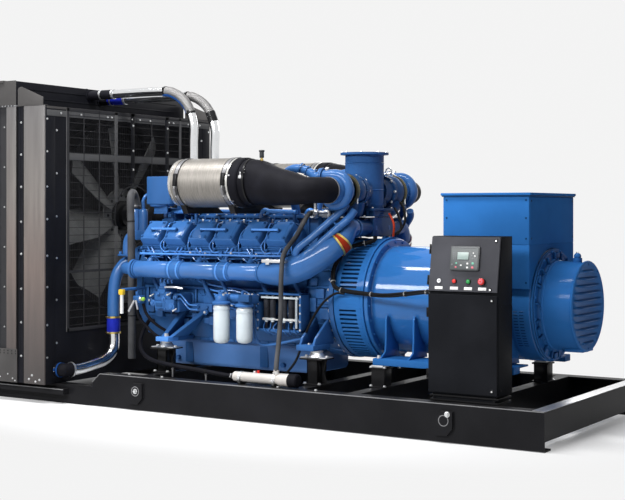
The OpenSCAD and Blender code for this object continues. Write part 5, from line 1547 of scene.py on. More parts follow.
def gear_case():
    """Timing case with its rim of bolts, ribs, damper and coolant pump."""
    p = Piece("timing_case")
    low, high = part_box("gear_case")
    face = block_low.x - 0.1
    top = high.z
    outline = [(-0.25, low.z), (0.25, low.z), (0.39, CRANK - 0.12), (0.39, CRANK + 0.18), (0.28, top),
        (-0.28, top), (-0.39, CRANK + 0.18), (-0.39, CRANK - 0.12)]
    inner = [(y * 0.93, CRANK + (z - CRANK) * 0.93) for y, z in outline]
    p.prism_x(outline, face + 0.03, block_low.x, cast_paint, 0.008)
    p.prism_x(inner, face, face + 0.032, cast_paint, 0.014)
    p.prism_x(outline, block_low.x - 0.022, block_low.x, engine_paint, 0.003)
    for y, z in outline:
        a = vec(face + 0.012, y * 0.9, CRANK + (z - CRANK) * 0.9)
        b = vec(face + 0.012, y * 0.48, CRANK + (z - CRANK) * 0.48)
        p.rod(a, b, 0.012, cast_paint, 8)
    p.lathe_x(shifted((face, 0), [(-0.09, 0), (-0.09, 0.06), (-0.082, 0.07), (-0.078, 0.12), (-0.084, 0.15),
        (-0.084, 0.188), (-0.07, 0.19), (-0.064, 0.182), (-0.056, 0.19), (-0.04, 0.19), (-0.036, 0.12),
        (0, 0.12)]), AXIS, deep_paint, 64)
    pump = (0, -0.25, CRANK + 0.24)
    p.lathe_x(shifted((face, 0), [(-0.08, 0.03), (-0.08, 0.058), (-0.068, 0.06), (-0.06, 0.078),
        (-0.05, 0.108), (-0.02, 0.11), (-0.004, 0.096), (0.01, 0.096)]), pump, cast_paint, 48)
    scroll = [vec(face - 0.035, pump[1] + 0.075 * math.cos(a), pump[2] + 0.075 * math.sin(a))
        for a in [math.radians(20 + 12 * k) for k in range(26)]]
    p.sweep(scroll, [0.03 + 0.0006 * k for k in range(26)], cast_paint, 16)
    p.sweep(curve([vec(face - 0.03, -0.34, CRANK + 0.2), vec(face - 0.02, -0.43, CRANK + 0.19),
        vec(face + 0.02, -0.5, CRANK + 0.185), vec(block_low.x + 0.03, MANIFOLD.y, MANIFOLD.z)], 6), 0.045,
        smooth_paint, 24)
    p.rod((face, 0.22, CRANK + 0.28), (face - 0.03, 0.22, CRANK + 0.28), 0.06, deep_paint, 32)
    p.done("engine_blue", "gear_case")
    places = []
    for (y1, z1), (y2, z2) in zip(outline, outline[1:] + outline[:1]):
        count = max(2, int(math.hypot(y2 - y1, z2 - z1) / 0.06))
        for y, z in list(zip(spaced(y1, y2, count + 1), spaced(z1, z2, count + 1)))[:-1]:
            places.append((vec(face + 0.03, y * 0.965, CRANK + (z - CRANK) * 0.965), LEFT))
    places += ring((face - 0.09, 0, CRANK), LEFT, 0.045, 6) + ring((face - 0.012, pump[1], pump[2]), LEFT,
        0.103, 8)
    bolts("timing_case_bolts", places, 0.009, slot="engine_blue", material=smooth_paint)


def front_mount_bracket(side, name):
    """Leaning cast arms from the crankcase down to the front foot."""
    p = Piece(name)
    low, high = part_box("engine_feet")
    x = (low.x + high.x) / 2
    z = low.z
    # The foot's top plate is in the doubled engine blue: a painted highlight.
    slab(p, side, (x - 0.05, x + 0.066), (0.5, 0.624), (z, z + 0.034), highlight_blue_paint, 0.006)
    slab(p, side, (x - 0.044, x + 0.06), (0.3, 0.56), (z, z + 0.03), cast_paint, 0.006)
    for lean, top_x in ((-0.024, 0.0), (0.046, 0.2)):
        foot = [out(side, x + lean - 0.018, 0.575, z + 0.028), out(side, x + lean + 0.018, 0.575, z + 0.028)]
        head = [out(side, x + top_x + 0.02, BLOCK_SIDE, z + 0.235), out(side, x + top_x + 0.075, BLOCK_SIDE,
            z + 0.235)]
        inner = [out(side, x + lean - 0.018, BLOCK_SIDE, z + 0.028),
            out(side, x + lean + 0.018, BLOCK_SIDE, z + 0.028)]
        part = bmesh.new()
        ring_low = [part.verts.new(v) for v in (foot[0], foot[1], inner[1], inner[0])]
        thick = out(side, 0, 0.022, 0)
        ring_high = [part.verts.new(v) for v in (head[0] + thick, head[1] + thick, head[1], head[0])]
        part.faces.new(ring_low)
        part.faces.new(list(reversed(ring_high)))
        for k in range(4):
            part.faces.new((ring_low[k], ring_high[k], ring_high[(k + 1) % 4], ring_low[(k + 1) % 4]))
        bmesh.ops.recalc_face_normals(part, faces=part.faces)
        p.add(part, engine_paint, None, 0.006)
    slab(p, side, (x - 0.02, x + 0.3), (BLOCK_SIDE - 0.004, BLOCK_SIDE + 0.03), (z + 0.21, z + 0.275),
        cast_paint, 0.008)
    p.done("engine_blue", *once(side, "engine_feet"))
    bolts(name + "_centre_bolt", [(out(side, x, MOUNT_Y, z + 0.03), UP)], 0.017, 0.02)
    places = [(out(side, x + dx, BLOCK_SIDE + 0.03, z + 0.245), vec(0, -side, 0))
        for dx in (0.02, 0.09, 0.18, 0.26)]
    bolts(name + "_bolts", places, 0.01, slot="engine_blue", material=engine_paint)


def soft_mounts():
    """Conical rubber-and-alloy mounts on pressed plates, and their gusseted black pedestals."""
    low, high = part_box("engine_mounts")
    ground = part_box("engine_pedestals")[0].z
    p = Piece("conical_mounts")
    q = Piece("mount_pedestals")
    places = []
    for x in (low.x + 0.075, high.x - 0.075):
        for side in (1, -1):
            c = out(side, x, MOUNT_Y, low.z)
            p.lathe([(0, 0), (0, 0.07), (0.006, 0.072), (0.008, 0.06), (0.012, 0.056), (0.034, 0.04),
                (0.038, 0.044), (0.0445, 0.044), (0.0445, 0)], at(c), cast_alloy, 40)
            p.box(c + vec(-0.1, -0.052, -0.001), c + vec(0.1, 0.052, 0.006), zinc, 0.003)
            top = low.z - 0.001
            q.box(c + vec(-0.09, -0.08, -0.011), c + vec(0.09, 0.08, -0.001), black_steel, 0.003)
            q.box((c.x - 0.075, c.y - 0.07, ground), (c.x + 0.075, c.y + 0.07, ground + 0.012), black_steel,
                0.003)
            for w in (-0.045, 0.035):
                q.box((c.x + w, c.y - 0.055, ground), (c.x + w + 0.01, c.y + 0.055, top - 0.008),
                    black_steel, 0.002)
            for w in (-0.055, 0.045):
                q.box((c.x - 0.045, c.y + w, ground), (c.x + 0.045, c.y + w + 0.01, top - 0.008),
                    black_steel, 0.002)
            for w in (-1, 1):
                tall = top - ground - 0.012
                fin = shifted((c.x, ground), [(w * 0.044, 0.01), (w * 0.085, 0.01), (w * 0.06, tall * 0.55),
                    (w * 0.082, tall), (w * 0.044, tall)])
                q.prism_y(fin, c.y - 0.006, c.y + 0.006, black_steel, 0.0015)
            for dx in (-0.082, 0.082):
                places.append((c + vec(dx, 0, 0.006), UP))
                places.append((vec(c.x + dx * 0.7, c.y - 0.06, ground + 0.012), UP))
    p.done("mount_silver", "engine_mounts")
    q.done("skid_black", "engine_pedestals")
    bolts("mount_bolts", places, 0.011)


def flywheel_case():
    """Bell housing with its flange, ribs and the rear engine feet."""
    p = Piece("bell_housing")
    low, high = housing_low, housing_high
    r = (high.z - low.z) / 2
    p.lathe_x([(low.x, 0.1), (low.x, r - 0.045), (low.x + 0.02, r - 0.02), (low.x + 0.035, r - 0.012),
        (high.x - 0.04, r - 0.016), (high.x - 0.036, r), (high.x, r), (high.x, 0.1)], AXIS, cast_paint, 96)
    for k in range(20):
        a = math.tau * k / 20 + 0.1
        p.rod(polar((low.x + 0.012, 0, CRANK), r - 0.022, a), polar((high.x - 0.035, 0, CRANK), r - 0.008,
            a), 0.01, cast_paint, 8)
    foot_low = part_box("engine_feet")[0].z
    for side in (1, -1):
        x = high.x - 0.103
        slab(p, side, (x - 0.07, x + 0.07), (0.4, 0.62), (foot_low, foot_low + 0.04), engine_paint, 0.008)
        for dx in (-0.062, 0.044):
            web = shifted((0, foot_low), [(-side * 0.34, 0.03), (-side * 0.6, 0.03), (-side * 0.57, 0.085),
                (-side * 0.4, 0.21), (-side * 0.34, 0.21)])
            p.prism_x(web, x + dx, x + dx + 0.018, cast_paint, 0.004)
        for dx, dz, s in ((-0.08, 0.3, 0.05), (0.0, 0.38, 0.035), (0.03, 0.24, 0.04), (-0.06, 0.46, 0.03)):
            y = math.sqrt(max(0.0, r * r - (foot_low + dz - CRANK) ** 2)) - 0.02
            slab(p, side, (x + dx - s, x + dx + s), (y - 0.05, y + 0.025),
                (foot_low + dz - s, foot_low + dz + s), cast_paint, 0.012)
    p.done("engine_blue", "flywheel_housing")
    places = ring((high.x - 0.036, 0, CRANK), LEFT, r - 0.01, 36)
    places += [(out(side, high.x - 0.103, MOUNT_Y, foot_low + 0.04), UP) for side in (1, -1)]
    bolts("bell_housing_bolts", places, 0.011, slot="engine_blue")


def lower_pipe():
    """Coolant return: painted elbow from the pump, blue sleeve between gold clamps, bright pipe and dark hose."""
    p = Piece("coolant_return")
    low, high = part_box("lower_coolant_pipe")
    pump_x = high.x
    z = CRANK + 0.24
    foot = low.z + 0.048
    side_frame = low.x
    route = [(pump_x, -0.25, z), (pump_x - 0.045, -0.25, z), (pump_x - 0.12, -0.285, z - 0.045),
        (pump_x - 0.16, -0.325, z - 0.15), (pump_x - 0.165, -0.345, z - 0.32),
        (pump_x - 0.158, -0.352, z - 0.52), (pump_x - 0.152, -0.365, z - 0.68),
        (pump_x - 0.155, -0.45, foot + 0.045), (pump_x - 0.158, -0.6, foot + 0.015),
        (side_frame + 0.088, -0.74, foot), (side_frame + 0.084, -0.82, foot),
        (side_frame + 0.072, -0.868, foot), (side_frame + 0.06, -0.88, foot), (side_frame, -0.88, foot)]
    path = curve(route, 8)
    parts = ((0, 38, 0.046, pipe_paint), (37, 42, 0.052, blue_rubber), (41, 80, 0.045, pipe_steel),
        (79, len(path) - 1, 0.049, hose_rubber))
    for first, last, radius, material in parts:
        p.sweep(path[first:last + 1], radius, material, 32)
    for i, material in ((37, gold), (42, gold), (80, zinc), (len(path) - 6, steel_blue)):
        p.band_at(path, i, 0.053, 0.014, material, (-0.3, -1, 0.1))
    # Small outlet elbow over the pump with its bolted flange
    neck = vec(pump_x - 0.03, -0.34, z + 0.03)
    p.sweep(curve(shifted(neck, [(0, 0, 0), (0, 0, 0.07), (0.012, 0, 0.13), (0.06, 0, 0.16),
        (0.13, 0.02, 0.165)]), 6), 0.034, pipe_paint, 24)
    p.box(neck + vec(-0.06, -0.045, 0.0), neck + vec(0.055, 0.045, 0.014), engine_paint, 0.004)
    for x in (-0.05, 0.045):
        p.rod(neck + vec(x, -0.02, 0.012), neck + vec(x, -0.02, 0.034), 0.011, highlight_blue_paint, 6)
    p.lathe([(0, 0.05), (0, 0.075), (0.016, 0.075), (0.016, 0.05)], facing(path[2], path[3] - path[2]),
        cast_paint, 32)
    p.done("engine_blue", "lower_coolant_pipe")
    bolts("coolant_return_bolts", ring(path[2] + (path[3] - path[2]).normalized() * 0.016,
        path[3] - path[2], 0.064, 6), 0.007)


def drain_valves():
    """Small valves with levers, a yellow tap with its white rod and a green knob."""
    p = Piece("drain_valves")
    tap = vec(-1.002, -0.74, 0.825)
    p.rod(tap + vec(0, 0.25, 0.02), tap + vec(0, 0.0, 0.02), 0.011, smooth_paint, 12)
    p.box(tap - vec(0.02, 0.016, 0.018), tap + vec(0.02, 0.016, 0.022), yellow_plastic, 0.005)
    p.rod(tap - UP * 0.155, tap - UP * 0.018, 0.013, white_plastic, 16)
    block = vec(-0.955, -0.6, 0.765)
    p.box(block - vec(0.035, 0.03, 0.022), block + vec(0.03, 0.05, 0.03), engine_paint, 0.006)
    p.rod(block + vec(-0.02, 0.0, -0.05), block + vec(-0.02, 0.0, 0.06), 0.012, smooth_paint, 12)
    p.rod(block + vec(0.02, -0.02, 0.0), block + vec(0.055, -0.03, 0.006), 0.01, zinc, 10)
    p.ball(block + vec(0.066, -0.034, 0.008), 0.016, lime_plastic)
    p.ball(block + vec(0.035, -0.03, 0.012), 0.013, zinc)
    p.box((-0.008, -0.006, -0.05), (0.008, 0.006, 0.05), zinc, 0.002,
        at(block + vec(-0.035, -0.045, -0.045)) @ turned(0.6, "Y"))
    p.box((-0.006, -0.005, -0.035), (0.006, 0.005, 0.035), zinc, 0.002,
        at(block + vec(0.015, -0.045, -0.035)) @ turned(-0.3, "Y"))
    p.done("engine_blue")
    hoses = [curve(shifted(block, [(-0.02, 0.0, -0.05), (0.0, 0.0, -0.13), (0.06, 0.02, -0.2),
        (0.14, 0.03, -0.26), (0.2, 0.08, -0.3)]), 6), curve(shifted(block,
        [(0.02, 0.02, -0.03), (0.05, 0.03, -0.11), (0.12, 0.05, -0.18), (0.2, 0.1, -0.24)]), 6)]
    tubes("drain_hoses", hoses, 0.011, hose_rubber, slot="black_rubber")


def heater():
    """White coolant heater with a black end cap, and its two hoses."""
    p = Piece("heater_body")
    low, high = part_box("coolant_heater")
    y = (low.y + high.y) / 2
    z = low.z + 0.05
    joint = high.x - 0.146
    p.lathe_x([(low.x, 0.02), (low.x, 0.03), (low.x + 0.006, 0.034), (joint, 0.034), (joint, 0.02)],
        (0, y, z), heater_white, 40)
    p.lathe_x([(joint - 0.004, 0.034), (joint - 0.002, 0.043), (joint + 0.072, 0.043),
        (joint + 0.074, 0.03)], (0, y, z), heater_white, 40)
    p.lathe_x([(joint + 0.072, 0.03), (joint + 0.074, 0.0455), (high.x - 0.01, 0.0455),
        (high.x - 0.002, 0.036), (high.x, 0)], (0, y, z), hose_rubber, 40)
    p.lathe([(0.02, 0.024), (0.04, 0.024), (0.042, 0.02), (0.065, 0.02)], at((joint - 0.034, y, z)),
        heater_white, 24)
    # The red plug's plastic glows: painted light, as it is no lamp.
    p.rod((low.x + 0.2, y - 0.002, z + 0.03), (low.x + 0.2, y - 0.002, z + 0.052), 0.009, glowing_red_plastic, 12)
    p.rod((low.x + 0.17, y, z + 0.03), (low.x + 0.17, y, z + 0.046), 0.012, zinc, 6)
    for x in (low.x + 0.045, low.x + 0.325):
        p.box((x, y - 0.03, low.z), (x + 0.03, y + 0.03, low.z + 0.022), black_steel, 0.002)
        p.band((x + 0.015, y, z), RIGHT, 0.0345, 0.022, zinc, (0, -1, -0.4))
    p.done("white_paint", "coolant_heater")
    hose = Piece("heater_hose_pair")
    rail_z = z - 0.05
    x = joint - 0.034
    top = vec(block_high.x + 0.015, -0.345, support_high.z - 0.04)
    up = [(x, y, z + 0.036), (x, y, z + 0.1), (x - 0.02, y + 0.06, z + 0.26),
        (x - 0.035, y + 0.105, z + 0.43), (x - 0.038, y + 0.112, z + 0.6), (x - 0.035, y + 0.114, z + 0.72),
        (x - 0.045, y + 0.16, z + 0.84), (x - 0.03, y + 0.28, z + 0.95), (x - 0.012, y + 0.365, z + 1.06),
        (top.x, top.y - 0.035, top.z), top]
    path = curve(up, 6)
    hose.sweep(path, 0.0165, grey_rubber, 20)
    for i in (1, len(path) - 3):
        hose.band_at(path, i, 0.0175, 0.011, zinc, (-0.3, -1, 0))
    a = low.x
    down = shifted((a, 0, z), [(0, y, 0), (-0.045, y, 0), (-0.135, y, 0.006), (-0.315, y + 0.01, 0.02),
        (-0.535, y + 0.04, 0.03), (-0.785, y + 0.09, 0.05), (-0.955, y + 0.17, 0.095),
        (-1.045, y + 0.26, 0.18), (-1.065, -BLOCK_SIDE - 0.05, 0.3), (-1.065, -BLOCK_SIDE + 0.006, 0.3)])
    path = curve(down, 6)
    hose.sweep(path, 0.0145, hose_rubber, 20)
    hose.band(path[3], RIGHT, 0.0155, 0.012, strap_steel, (0, -1, 0.3))
    for i in (16, 25):
        hose.rod(path[i] - UP * 0.014, (path[i].x, path[i].y, rail_z), 0.006, strap_steel, 10)
        hose.band_at(path, i, 0.0155, 0.014, black_steel, (0, 0.2, -1))
    hose.done("black_rubber", "heater_hoses")


def wall_pipes(side, name):
    """Oil and fuel pipes that run along and across the crankcase under the manifold."""
    y = BLOCK_SIDE
    rng = random.Random(31)
    thick, thin, bright = [], [], []
    top = CRANK + 0.1
    for x in (-0.96, -0.5, -0.33, 0.02, 0.16, 0.3):
        thick.append(curve([out(side, x, y + 0.02, top + 0.1), out(side, x + 0.015, y + 0.07, top + 0.03),
            out(side, x + 0.05, y + 0.06, top - 0.06), out(side, x + 0.08, y + 0.02, top - 0.15)], 6))
    for k in range(5):
        z = top - 0.02 - 0.045 * k
        x = -0.55 + 0.07 * k
        thin.append(curve([out(side, x, y + 0.03, z + 0.02), out(side, x + 0.12,
            y + 0.055 + rng.uniform(0, 0.02), z), out(side, x + 0.25, y + 0.05,
            z + rng.uniform(-0.02, 0.02)), out(side, x + 0.38, y + 0.035, z - 0.03),
            out(side, x + 0.47, y + 0.02, z - 0.07)], 6))
    for x in (-0.62, -0.4, 0.0, 0.2):
        bright.append(curve([out(side, x, y + 0.09, top + 0.045), out(side, x + 0.06, y + 0.1, top + 0.05),
            out(side, x + 0.13, y + 0.08, top + 0.035)], 5))
    tubes(name + "_thick", thick, 0.015, engine_paint, 14)
    tubes(name + "_thin", thin, 0.0068, highlight_blue_paint)
    tubes(name + "_bright", bright, 0.006, zinc, slot="mount_silver")
    p = Piece(name + "_bosses")
    for k in range(16):
        x = block_low.x + 0.08 + 0.085 * k + rng.uniform(-0.015, 0.015)
        z = CRANK - rng.uniform(0.1, 0.2)
        s = rng.uniform(0.018, 0.036)
        slab(p, side, (x - s, x + s), (y - 0.02, y + 0.02 + s * 0.6), (z - s, z + s * 0.8), cast_paint, 0.008)
        if k % 3 == 0:
            p.rod(out(side, x, y + 0.02, z + 0.06), out(side, x, y + 0.05, z + 0.06), 0.02, engine_paint, 20)
            p.rod(out(side, x, y + 0.045, z + 0.06), out(side, x, y + 0.062, z + 0.06), 0.01, zinc, 6)
    p.done("engine_blue")


def lifting_eyes(side, name):
    """Hooked cast lifting eyes at both ends of the bank, each with its bar, and the unions in the valley."""
    p = Piece(name)
    for x in (-0.905, -0.03):
        c = out(side, x, 0.3, 1.345)
        hook = [c + vec(0.04 * math.cos(a), 0, 0.046 * math.sin(a) + 0.036)
            for a in [math.radians(20 + 14 * k) for k in range(21)]]
        p.sweep(hook, 0.016, highlight_blue_paint, 14)
        p.box(c - vec(0.045, 0.018, 0.05), c + vec(0.045, 0.018, 0.028), cast_paint, 0.006)
        p.rod(c + vec(0.03, 0, 0.072), c + vec(0.27, 0, 0.068), 0.017, highlight_blue_paint, 16)
        p.rod(c + vec(0.25, 0, -0.03), c + vec(0.25, 0, 0.085), 0.013, cast_paint, 12)
    for k, x in enumerate(spaced(cylinder_x[0] + 0.1, cylinder_x[-1] - 0.03, 17)):
        spot = out(side, x, 0.245, 1.318 + 0.012 * (k % 2))
        p.rod(spot, spot + UP * 0.028, 0.009, zinc if k % 2 else white_plastic, 8)
        p.rod(spot + RIGHT * 0.02, spot + vec(0.02, 0, 0.05), 0.006, smooth_paint, 8)
    p.done("engine_blue")
    tubes(name + "_valley_pipe", [[out(side, cylinder_x[0], 0.238, 1.345),
        out(side, cylinder_x[-1], 0.238, 1.345)]], 0.011, engine_paint)


def slanted_pipes(side, name):
    """Two drain pipes that climb beside the elbow to the turbocharger, with their brackets."""
    low_end, high_end = out(side, 0.425, 0.585, 1.15), out(side, 0.69, 0.44, 1.415)
    run = high_end - low_end
    shift = vec(0.062, 0, -0.044)
    routes = []
    for k in (0, 1):
        a = low_end + shift * k
        routes.append(curve([a + vec(-0.02, side * 0.05, -0.07), a, a + run * 0.33, a + run * 0.66, a + run,
            a + run + vec(0.02, side * 0.04, 0.05)], 6))
    tubes(name, routes, 0.026, smooth_paint, 18)
    p = Piece(name + "_brackets")
    for t in (0.22, 0.78):
        p.band(low_end + run * t, run, 0.0275, 0.018, cast_paint)
        p.band(low_end + shift + run * t, run, 0.0275, 0.018, cast_paint)
        p.rod(low_end + run * t, low_end + shift + run * t, 0.008, engine_paint, 8)
    slab(p, side, (0.165, 0.365), (0.615, 0.635), (1.064, 1.086), zinc, 0.003)
    slab(p, side, (0.195, 0.225), (0.585, 0.63), (1.05, 1.09), zinc, 0.003)
    p.done("mount_silver")


header_tank()
breathers()
oil_filters()
injection_pump()
injector_bank()
gear_case()
both("front_foot", front_mount_bracket)
soft_mounts()
flywheel_case()
lower_pipe()
drain_valves()
heater()
both("wall_pipes", wall_pipes)
both("lifting_eyes", lifting_eyes)
both("slanted_pipes", slanted_pipes)


# ---- radiator, fan and the pipes over it ----

side_low, side_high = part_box("radiator_side_near")
tank_low, tank_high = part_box("radiator_top_tank")
guard_low, guard_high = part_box("fan_guard")
rotor_low, rotor_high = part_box("fan_rotor")
core_low, core_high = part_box("radiator_core")
FRONT = side_low.x
REAR = side_high.x
SKIN = -side_low.y - 0.008
FOOT = side_low.z
TANK = tank_low.z
FAN = vec((rotor_low.x + rotor_high.x) / 2, 0, (rotor_low.z + rotor_high.z) / 2)


def radiator_side(side, name):
    """Folded side frame: rear column, post, bolted front panel, lower plate and lifting gusset."""
    p = Piece(name)
    deep = SKIN - 0.015
    column, post, panel = REAR - 0.21, REAR - 0.39, FRONT + 0.37
    slab(p, side, (FRONT, REAR), (deep - 0.006, deep), (FOOT, TANK), box_paint, 0.001)
    slab(p, side, (column, REAR), (deep - 0.001, SKIN), (FOOT, TANK), column_sheen_sheet, 0.006)
    slab(p, side, (post, post + 0.1), (deep - 0.001, SKIN), (FOOT, TANK), column_sheen_sheet, 0.006)
    slab(p, side, (FRONT, panel), (deep - 0.001, SKIN - 0.004), (FOOT, TANK), box_paint, 0.005)
    slab(p, side, (FRONT + 0.03, panel - 0.03), (SKIN - 0.006, SKIN - 0.001), (FOOT + 0.32, TANK - 0.05),
        box_paint, 0.004)
    slab(p, side, (FRONT, post + 0.112), (SKIN - 0.003, SKIN + 0.0015), (FOOT, FOOT + 0.25), grey_paint,
        0.001)
    for x in (column - 0.008, post + 0.102):
        slab(p, side, (x, x + 0.006), (deep - 0.001, SKIN - 0.002), (FOOT, TANK), black_steel, 0.001)
    for z in (FOOT + 0.02, TANK - 0.03):
        slab(p, side, (column + 0.02, REAR - 0.02), (deep, SKIN - 0.001), (z, z + 0.012), black_steel, 0.002)
    gusset = shifted((REAR, TANK), [(-0.015, 0), (-0.27, 0), (-0.27, 0.124), (-0.262, 0.138),
        (-0.245, 0.144), (-0.23, 0.144), (-0.015, 0.06)])
    p.prism_y(gusset, *sorted((-side * SKIN, -side * (SKIN - 0.006))), grey_paint, 0.0015)
    slab(p, side, (REAR - 0.27, REAR - 0.015), (SKIN - 0.05, SKIN - 0.004), (TANK, TANK + 0.006),
        grey_paint, 0.002)
    hole = facing(out(side, REAR - 0.24, SKIN - 0.0055, TANK + 0.09), (0, -side, 0))
    p.lathe([(0.004, 0.0), (0.004, 0.018), (0.0052, 0.019), (0.0052, 0.021), (0.004, 0.022)], hole,
        black_steel, 24)
    p.done("radiator_grey", name.replace("frame", "side"))
    away = vec(0, -side, 0)
    places = [(out(side, column - 0.04, deep, z), away) for z in (0.34, 0.59, 0.84, 1.1, 1.34, 1.6, 1.84,
        2.08)]
    places += [(out(side, post - 0.03, deep, z), away) for z in (0.55, 0.85, 1.15, 1.45, 1.75, 2.05)]
    places += [(out(side, x, SKIN - 0.004, z), away) for x in (FRONT + 0.015, panel - 0.015)
        for z in (0.48, 0.62, 0.86, 1.1, 1.34, 1.6, 1.84, 2.08)]
    places += [(out(side, x, SKIN, FOOT + dz), away) for x, dz in ((column + 0.055, 0.035),
        (column + 0.085, 0.065), (column + 0.12, 0.02), (column + 0.16, 0.035), (post + 0.02, 0.06),
        (post + 0.07, 0.03), (post - 0.06, 0.035), (post - 0.14, 0.035), (post + 0.095, 0.015))]
    bolts(name + "_bolts", places, 0.0068, slot="mount_silver")
    small = [(out(side, x, SKIN, z), away) for z in (FOOT + 0.235, FOOT + 0.215)
        for x in spaced(FRONT + 0.03, post + 0.1, 14)]
    bolts(name + "_small_bolts", small, 0.005, slot="radiator_grey", material=black_steel)


COOLANT_PIPES = ((-0.2, 2.34, -0.76), (-0.07, 2.305, -0.655))      # y and z of each run, x of its drop


def top_tank():
    """Welded top tank with its flange, stiffened ends and hose necks."""
    p = Piece("top_tank")
    p.box(tank_low + vec(0, 0.01, 0.012), tank_high - vec(0, 0.01, 0.008), box_paint, 0.006)
    # The flange strip is in the skid's lighter edge paint: partly worn edge and partly a painted highlight.
    p.box((tank_low.x, -SKIN, tank_low.z), (tank_high.x, SKIN, tank_low.z + 0.012), worn_edge_and_highlight_paint, 0.002)
    p.box((tank_low.x, tank_low.y, tank_high.z - 0.02), (tank_high.x - 0.12, tank_high.y, tank_high.z),
        grey_paint, 0.004)
    for side in (1, -1):
        slab(p, side, (tank_low.x, tank_high.x), (SKIN - 0.003, SKIN), (TANK + 0.01, tank_high.z - 0.004),
            grey_paint, 0.002)
    for z in (TANK + 0.07, TANK + 0.135):
        p.box((tank_high.x - 0.001, -0.9, z), (tank_high.x + 0.004, 0.9, z + 0.01), box_paint, 0.002)
    p.box((core_high.x + 0.02, -SKIN + 0.03, TANK - 0.01), (REAR, SKIN - 0.03, TANK - 0.001), grey_paint,
        0.003)
    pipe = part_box("upper_coolant_pipes")
    for y, z, _ in COOLANT_PIPES:
        p.lathe([(0, 0.03), (0, 0.058), (0.01, 0.058), (0.012, 0.046), (0.05, 0.044), (0.05, 0.03)],
            facing((pipe[0].x - 0.04, y, z), RIGHT), box_paint, 32)
    p.done("radiator_grey", "radiator_top_tank")
    places = [(vec(x, side * SKIN, TANK + 0.006), vec(0, side, 0)) for side in (1, -1)
        for x in spaced(tank_low.x + 0.03, tank_high.x - 0.03, 16)]
    places += [(vec(tank_high.x, y, TANK + 0.006), RIGHT) for y in spaced(-0.95, 0.95, 26)]
    bolts("top_tank_bolts", places, 0.005, slot="radiator_grey", material=black_steel)


def rear_frame():
    """Edges, corner angle and bolt rows on the frame round the fan opening."""
    p = Piece("rear_frame_edges")
    for side in (1, -1):
        slab(p, side, (REAR - 0.001, REAR + 0.004), (0.77, 0.782), (guard_low.z, guard_high.z), bar_paint,
            0.001)
        slab(p, side, (REAR - 0.001, REAR + 0.002), (0.9, 0.998), (FOOT, TANK - 0.01), box_paint, 0.001)
    p.box((REAR - 0.002, -0.99, TANK - 0.075), (REAR + 0.003, 0.99, TANK - 0.03), bar_paint, 0.001)
    p.box((REAR - 0.002, -0.99, TANK - 0.022), (REAR + 0.005, 0.99, TANK - 0.004), grey_paint, 0.001)
    p.done("radiator_grey")
    places = [(out(side, REAR + 0.002, 0.985, z), RIGHT) for side in (1, -1)
        for z in (0.34, 0.58, 0.86, 1.09, 1.36, 1.6, 1.86, 2.1)]
    places += [(out(side, REAR + 0.002, 0.885, z), RIGHT) for side in (1, -1)
        for z in (0.44, 0.76, 1.07, 1.38, 1.7, 2.02)]
    places += [(vec(REAR + 0.003, y, TANK - 0.05), RIGHT) for y in (-0.84, -0.62, -0.32, -0.27, -0.03, 0.07,
        0.2, 0.44, 0.5, 0.7, 0.86)]
    places += [(vec(guard_high.x + 0.003, y, z), RIGHT) for y in (-0.02, 0.415)
        for z in (0.56, 0.75, 0.95, 1.75, 1.9, 2.1)]
    bolts("rear_frame_bolts", places, 0.0064)


def fan_guard():
    """Welded wire guard with its frame, dark bolted posts and light bars, open round the fan drive."""
    p = Piece("fan_guard_frame")
    x1, x2 = guard_low.x, guard_high.x
    y, z1, z2 = guard_high.y, guard_low.z, guard_high.z
    for a, b in (((-y, z1), (-y + 0.025, z2)), ((y - 0.025, z1), (y, z2)), ((-y, z1), (y, z1 + 0.025)),
            ((-y, z2 - 0.025), (y, z2))):
        p.box((x1, a[0], a[1]), (x2, b[0], b[1]), guard_paint, 0.0015)
    eye = 0.235

    def cut(offset):
        """Half the opening round the fan drive, at an offset from its axis."""
        return math.sqrt(max(0.0, eye * eye - offset * offset))

    for post, material, width in ((-0.59, guard_paint, 0.004), (-0.415, guard_paint, 0.005),
            (-0.22, bar_paint, 0.018), (-0.02, box_paint, 0.022), (0.22, guard_paint, 0.004),
            (0.415, box_paint, 0.022), (0.59, bar_paint, 0.014)):
        for low, high in ((z1, FAN.z - cut(post)), (FAN.z + cut(post), z2)):
            p.box((x1, post - width, low + 0.02), (x2, post + width, high), material, 0.0015)
    p.box((x1, -y + 0.02, TANK - 0.4), (x2 - 0.002, y - 0.02, TANK - 0.34), bar_paint, 0.0015)
    p.box((x1, -y + 0.02, FAN.z - 0.43), (x2 - 0.002, y - 0.02, FAN.z - 0.412), guard_paint, 0.0015)
    p.lathe_x([(x1 + 0.001, eye - 0.006), (x2 - 0.001, eye - 0.006), (x2 - 0.001, eye + 0.004),
        (x1 + 0.001, eye + 0.004), (x1 + 0.001, eye - 0.006)], (0, 0, FAN.z), guard_paint, 72)
    p.done("radiator_grey", "fan_guard")
    upright, level = [], []
    x = (x1 + x2) / 2
    for k in range(-60, 61):
        side = k * 0.0125
        gap = cut(side)
        ends = [(z1 + 0.01, FAN.z - gap), (FAN.z + gap, z2 - 0.01)] if gap else [(z1 + 0.01, z2 - 0.01)]
        upright += [[(x, side, a), (x, side, b)] for a, b in ends]
    for k in range(29):
        z = z1 + 0.045 + k * 0.0565
        gap = cut(z - FAN.z)
        ends = [(-y + 0.01, -gap), (gap, y - 0.01)] if gap else [(-y + 0.01, y - 0.01)]
        level += [[(x + 0.001, a, z), (x + 0.001, b, z)] for a, b in ends]
    tubes("fan_guard_uprights", upright, 0.001, guard_paint, 4, slot="radiator_grey")
    tubes("fan_guard_wires", level, 0.0024, guard_paint, 6, slot="radiator_grey")


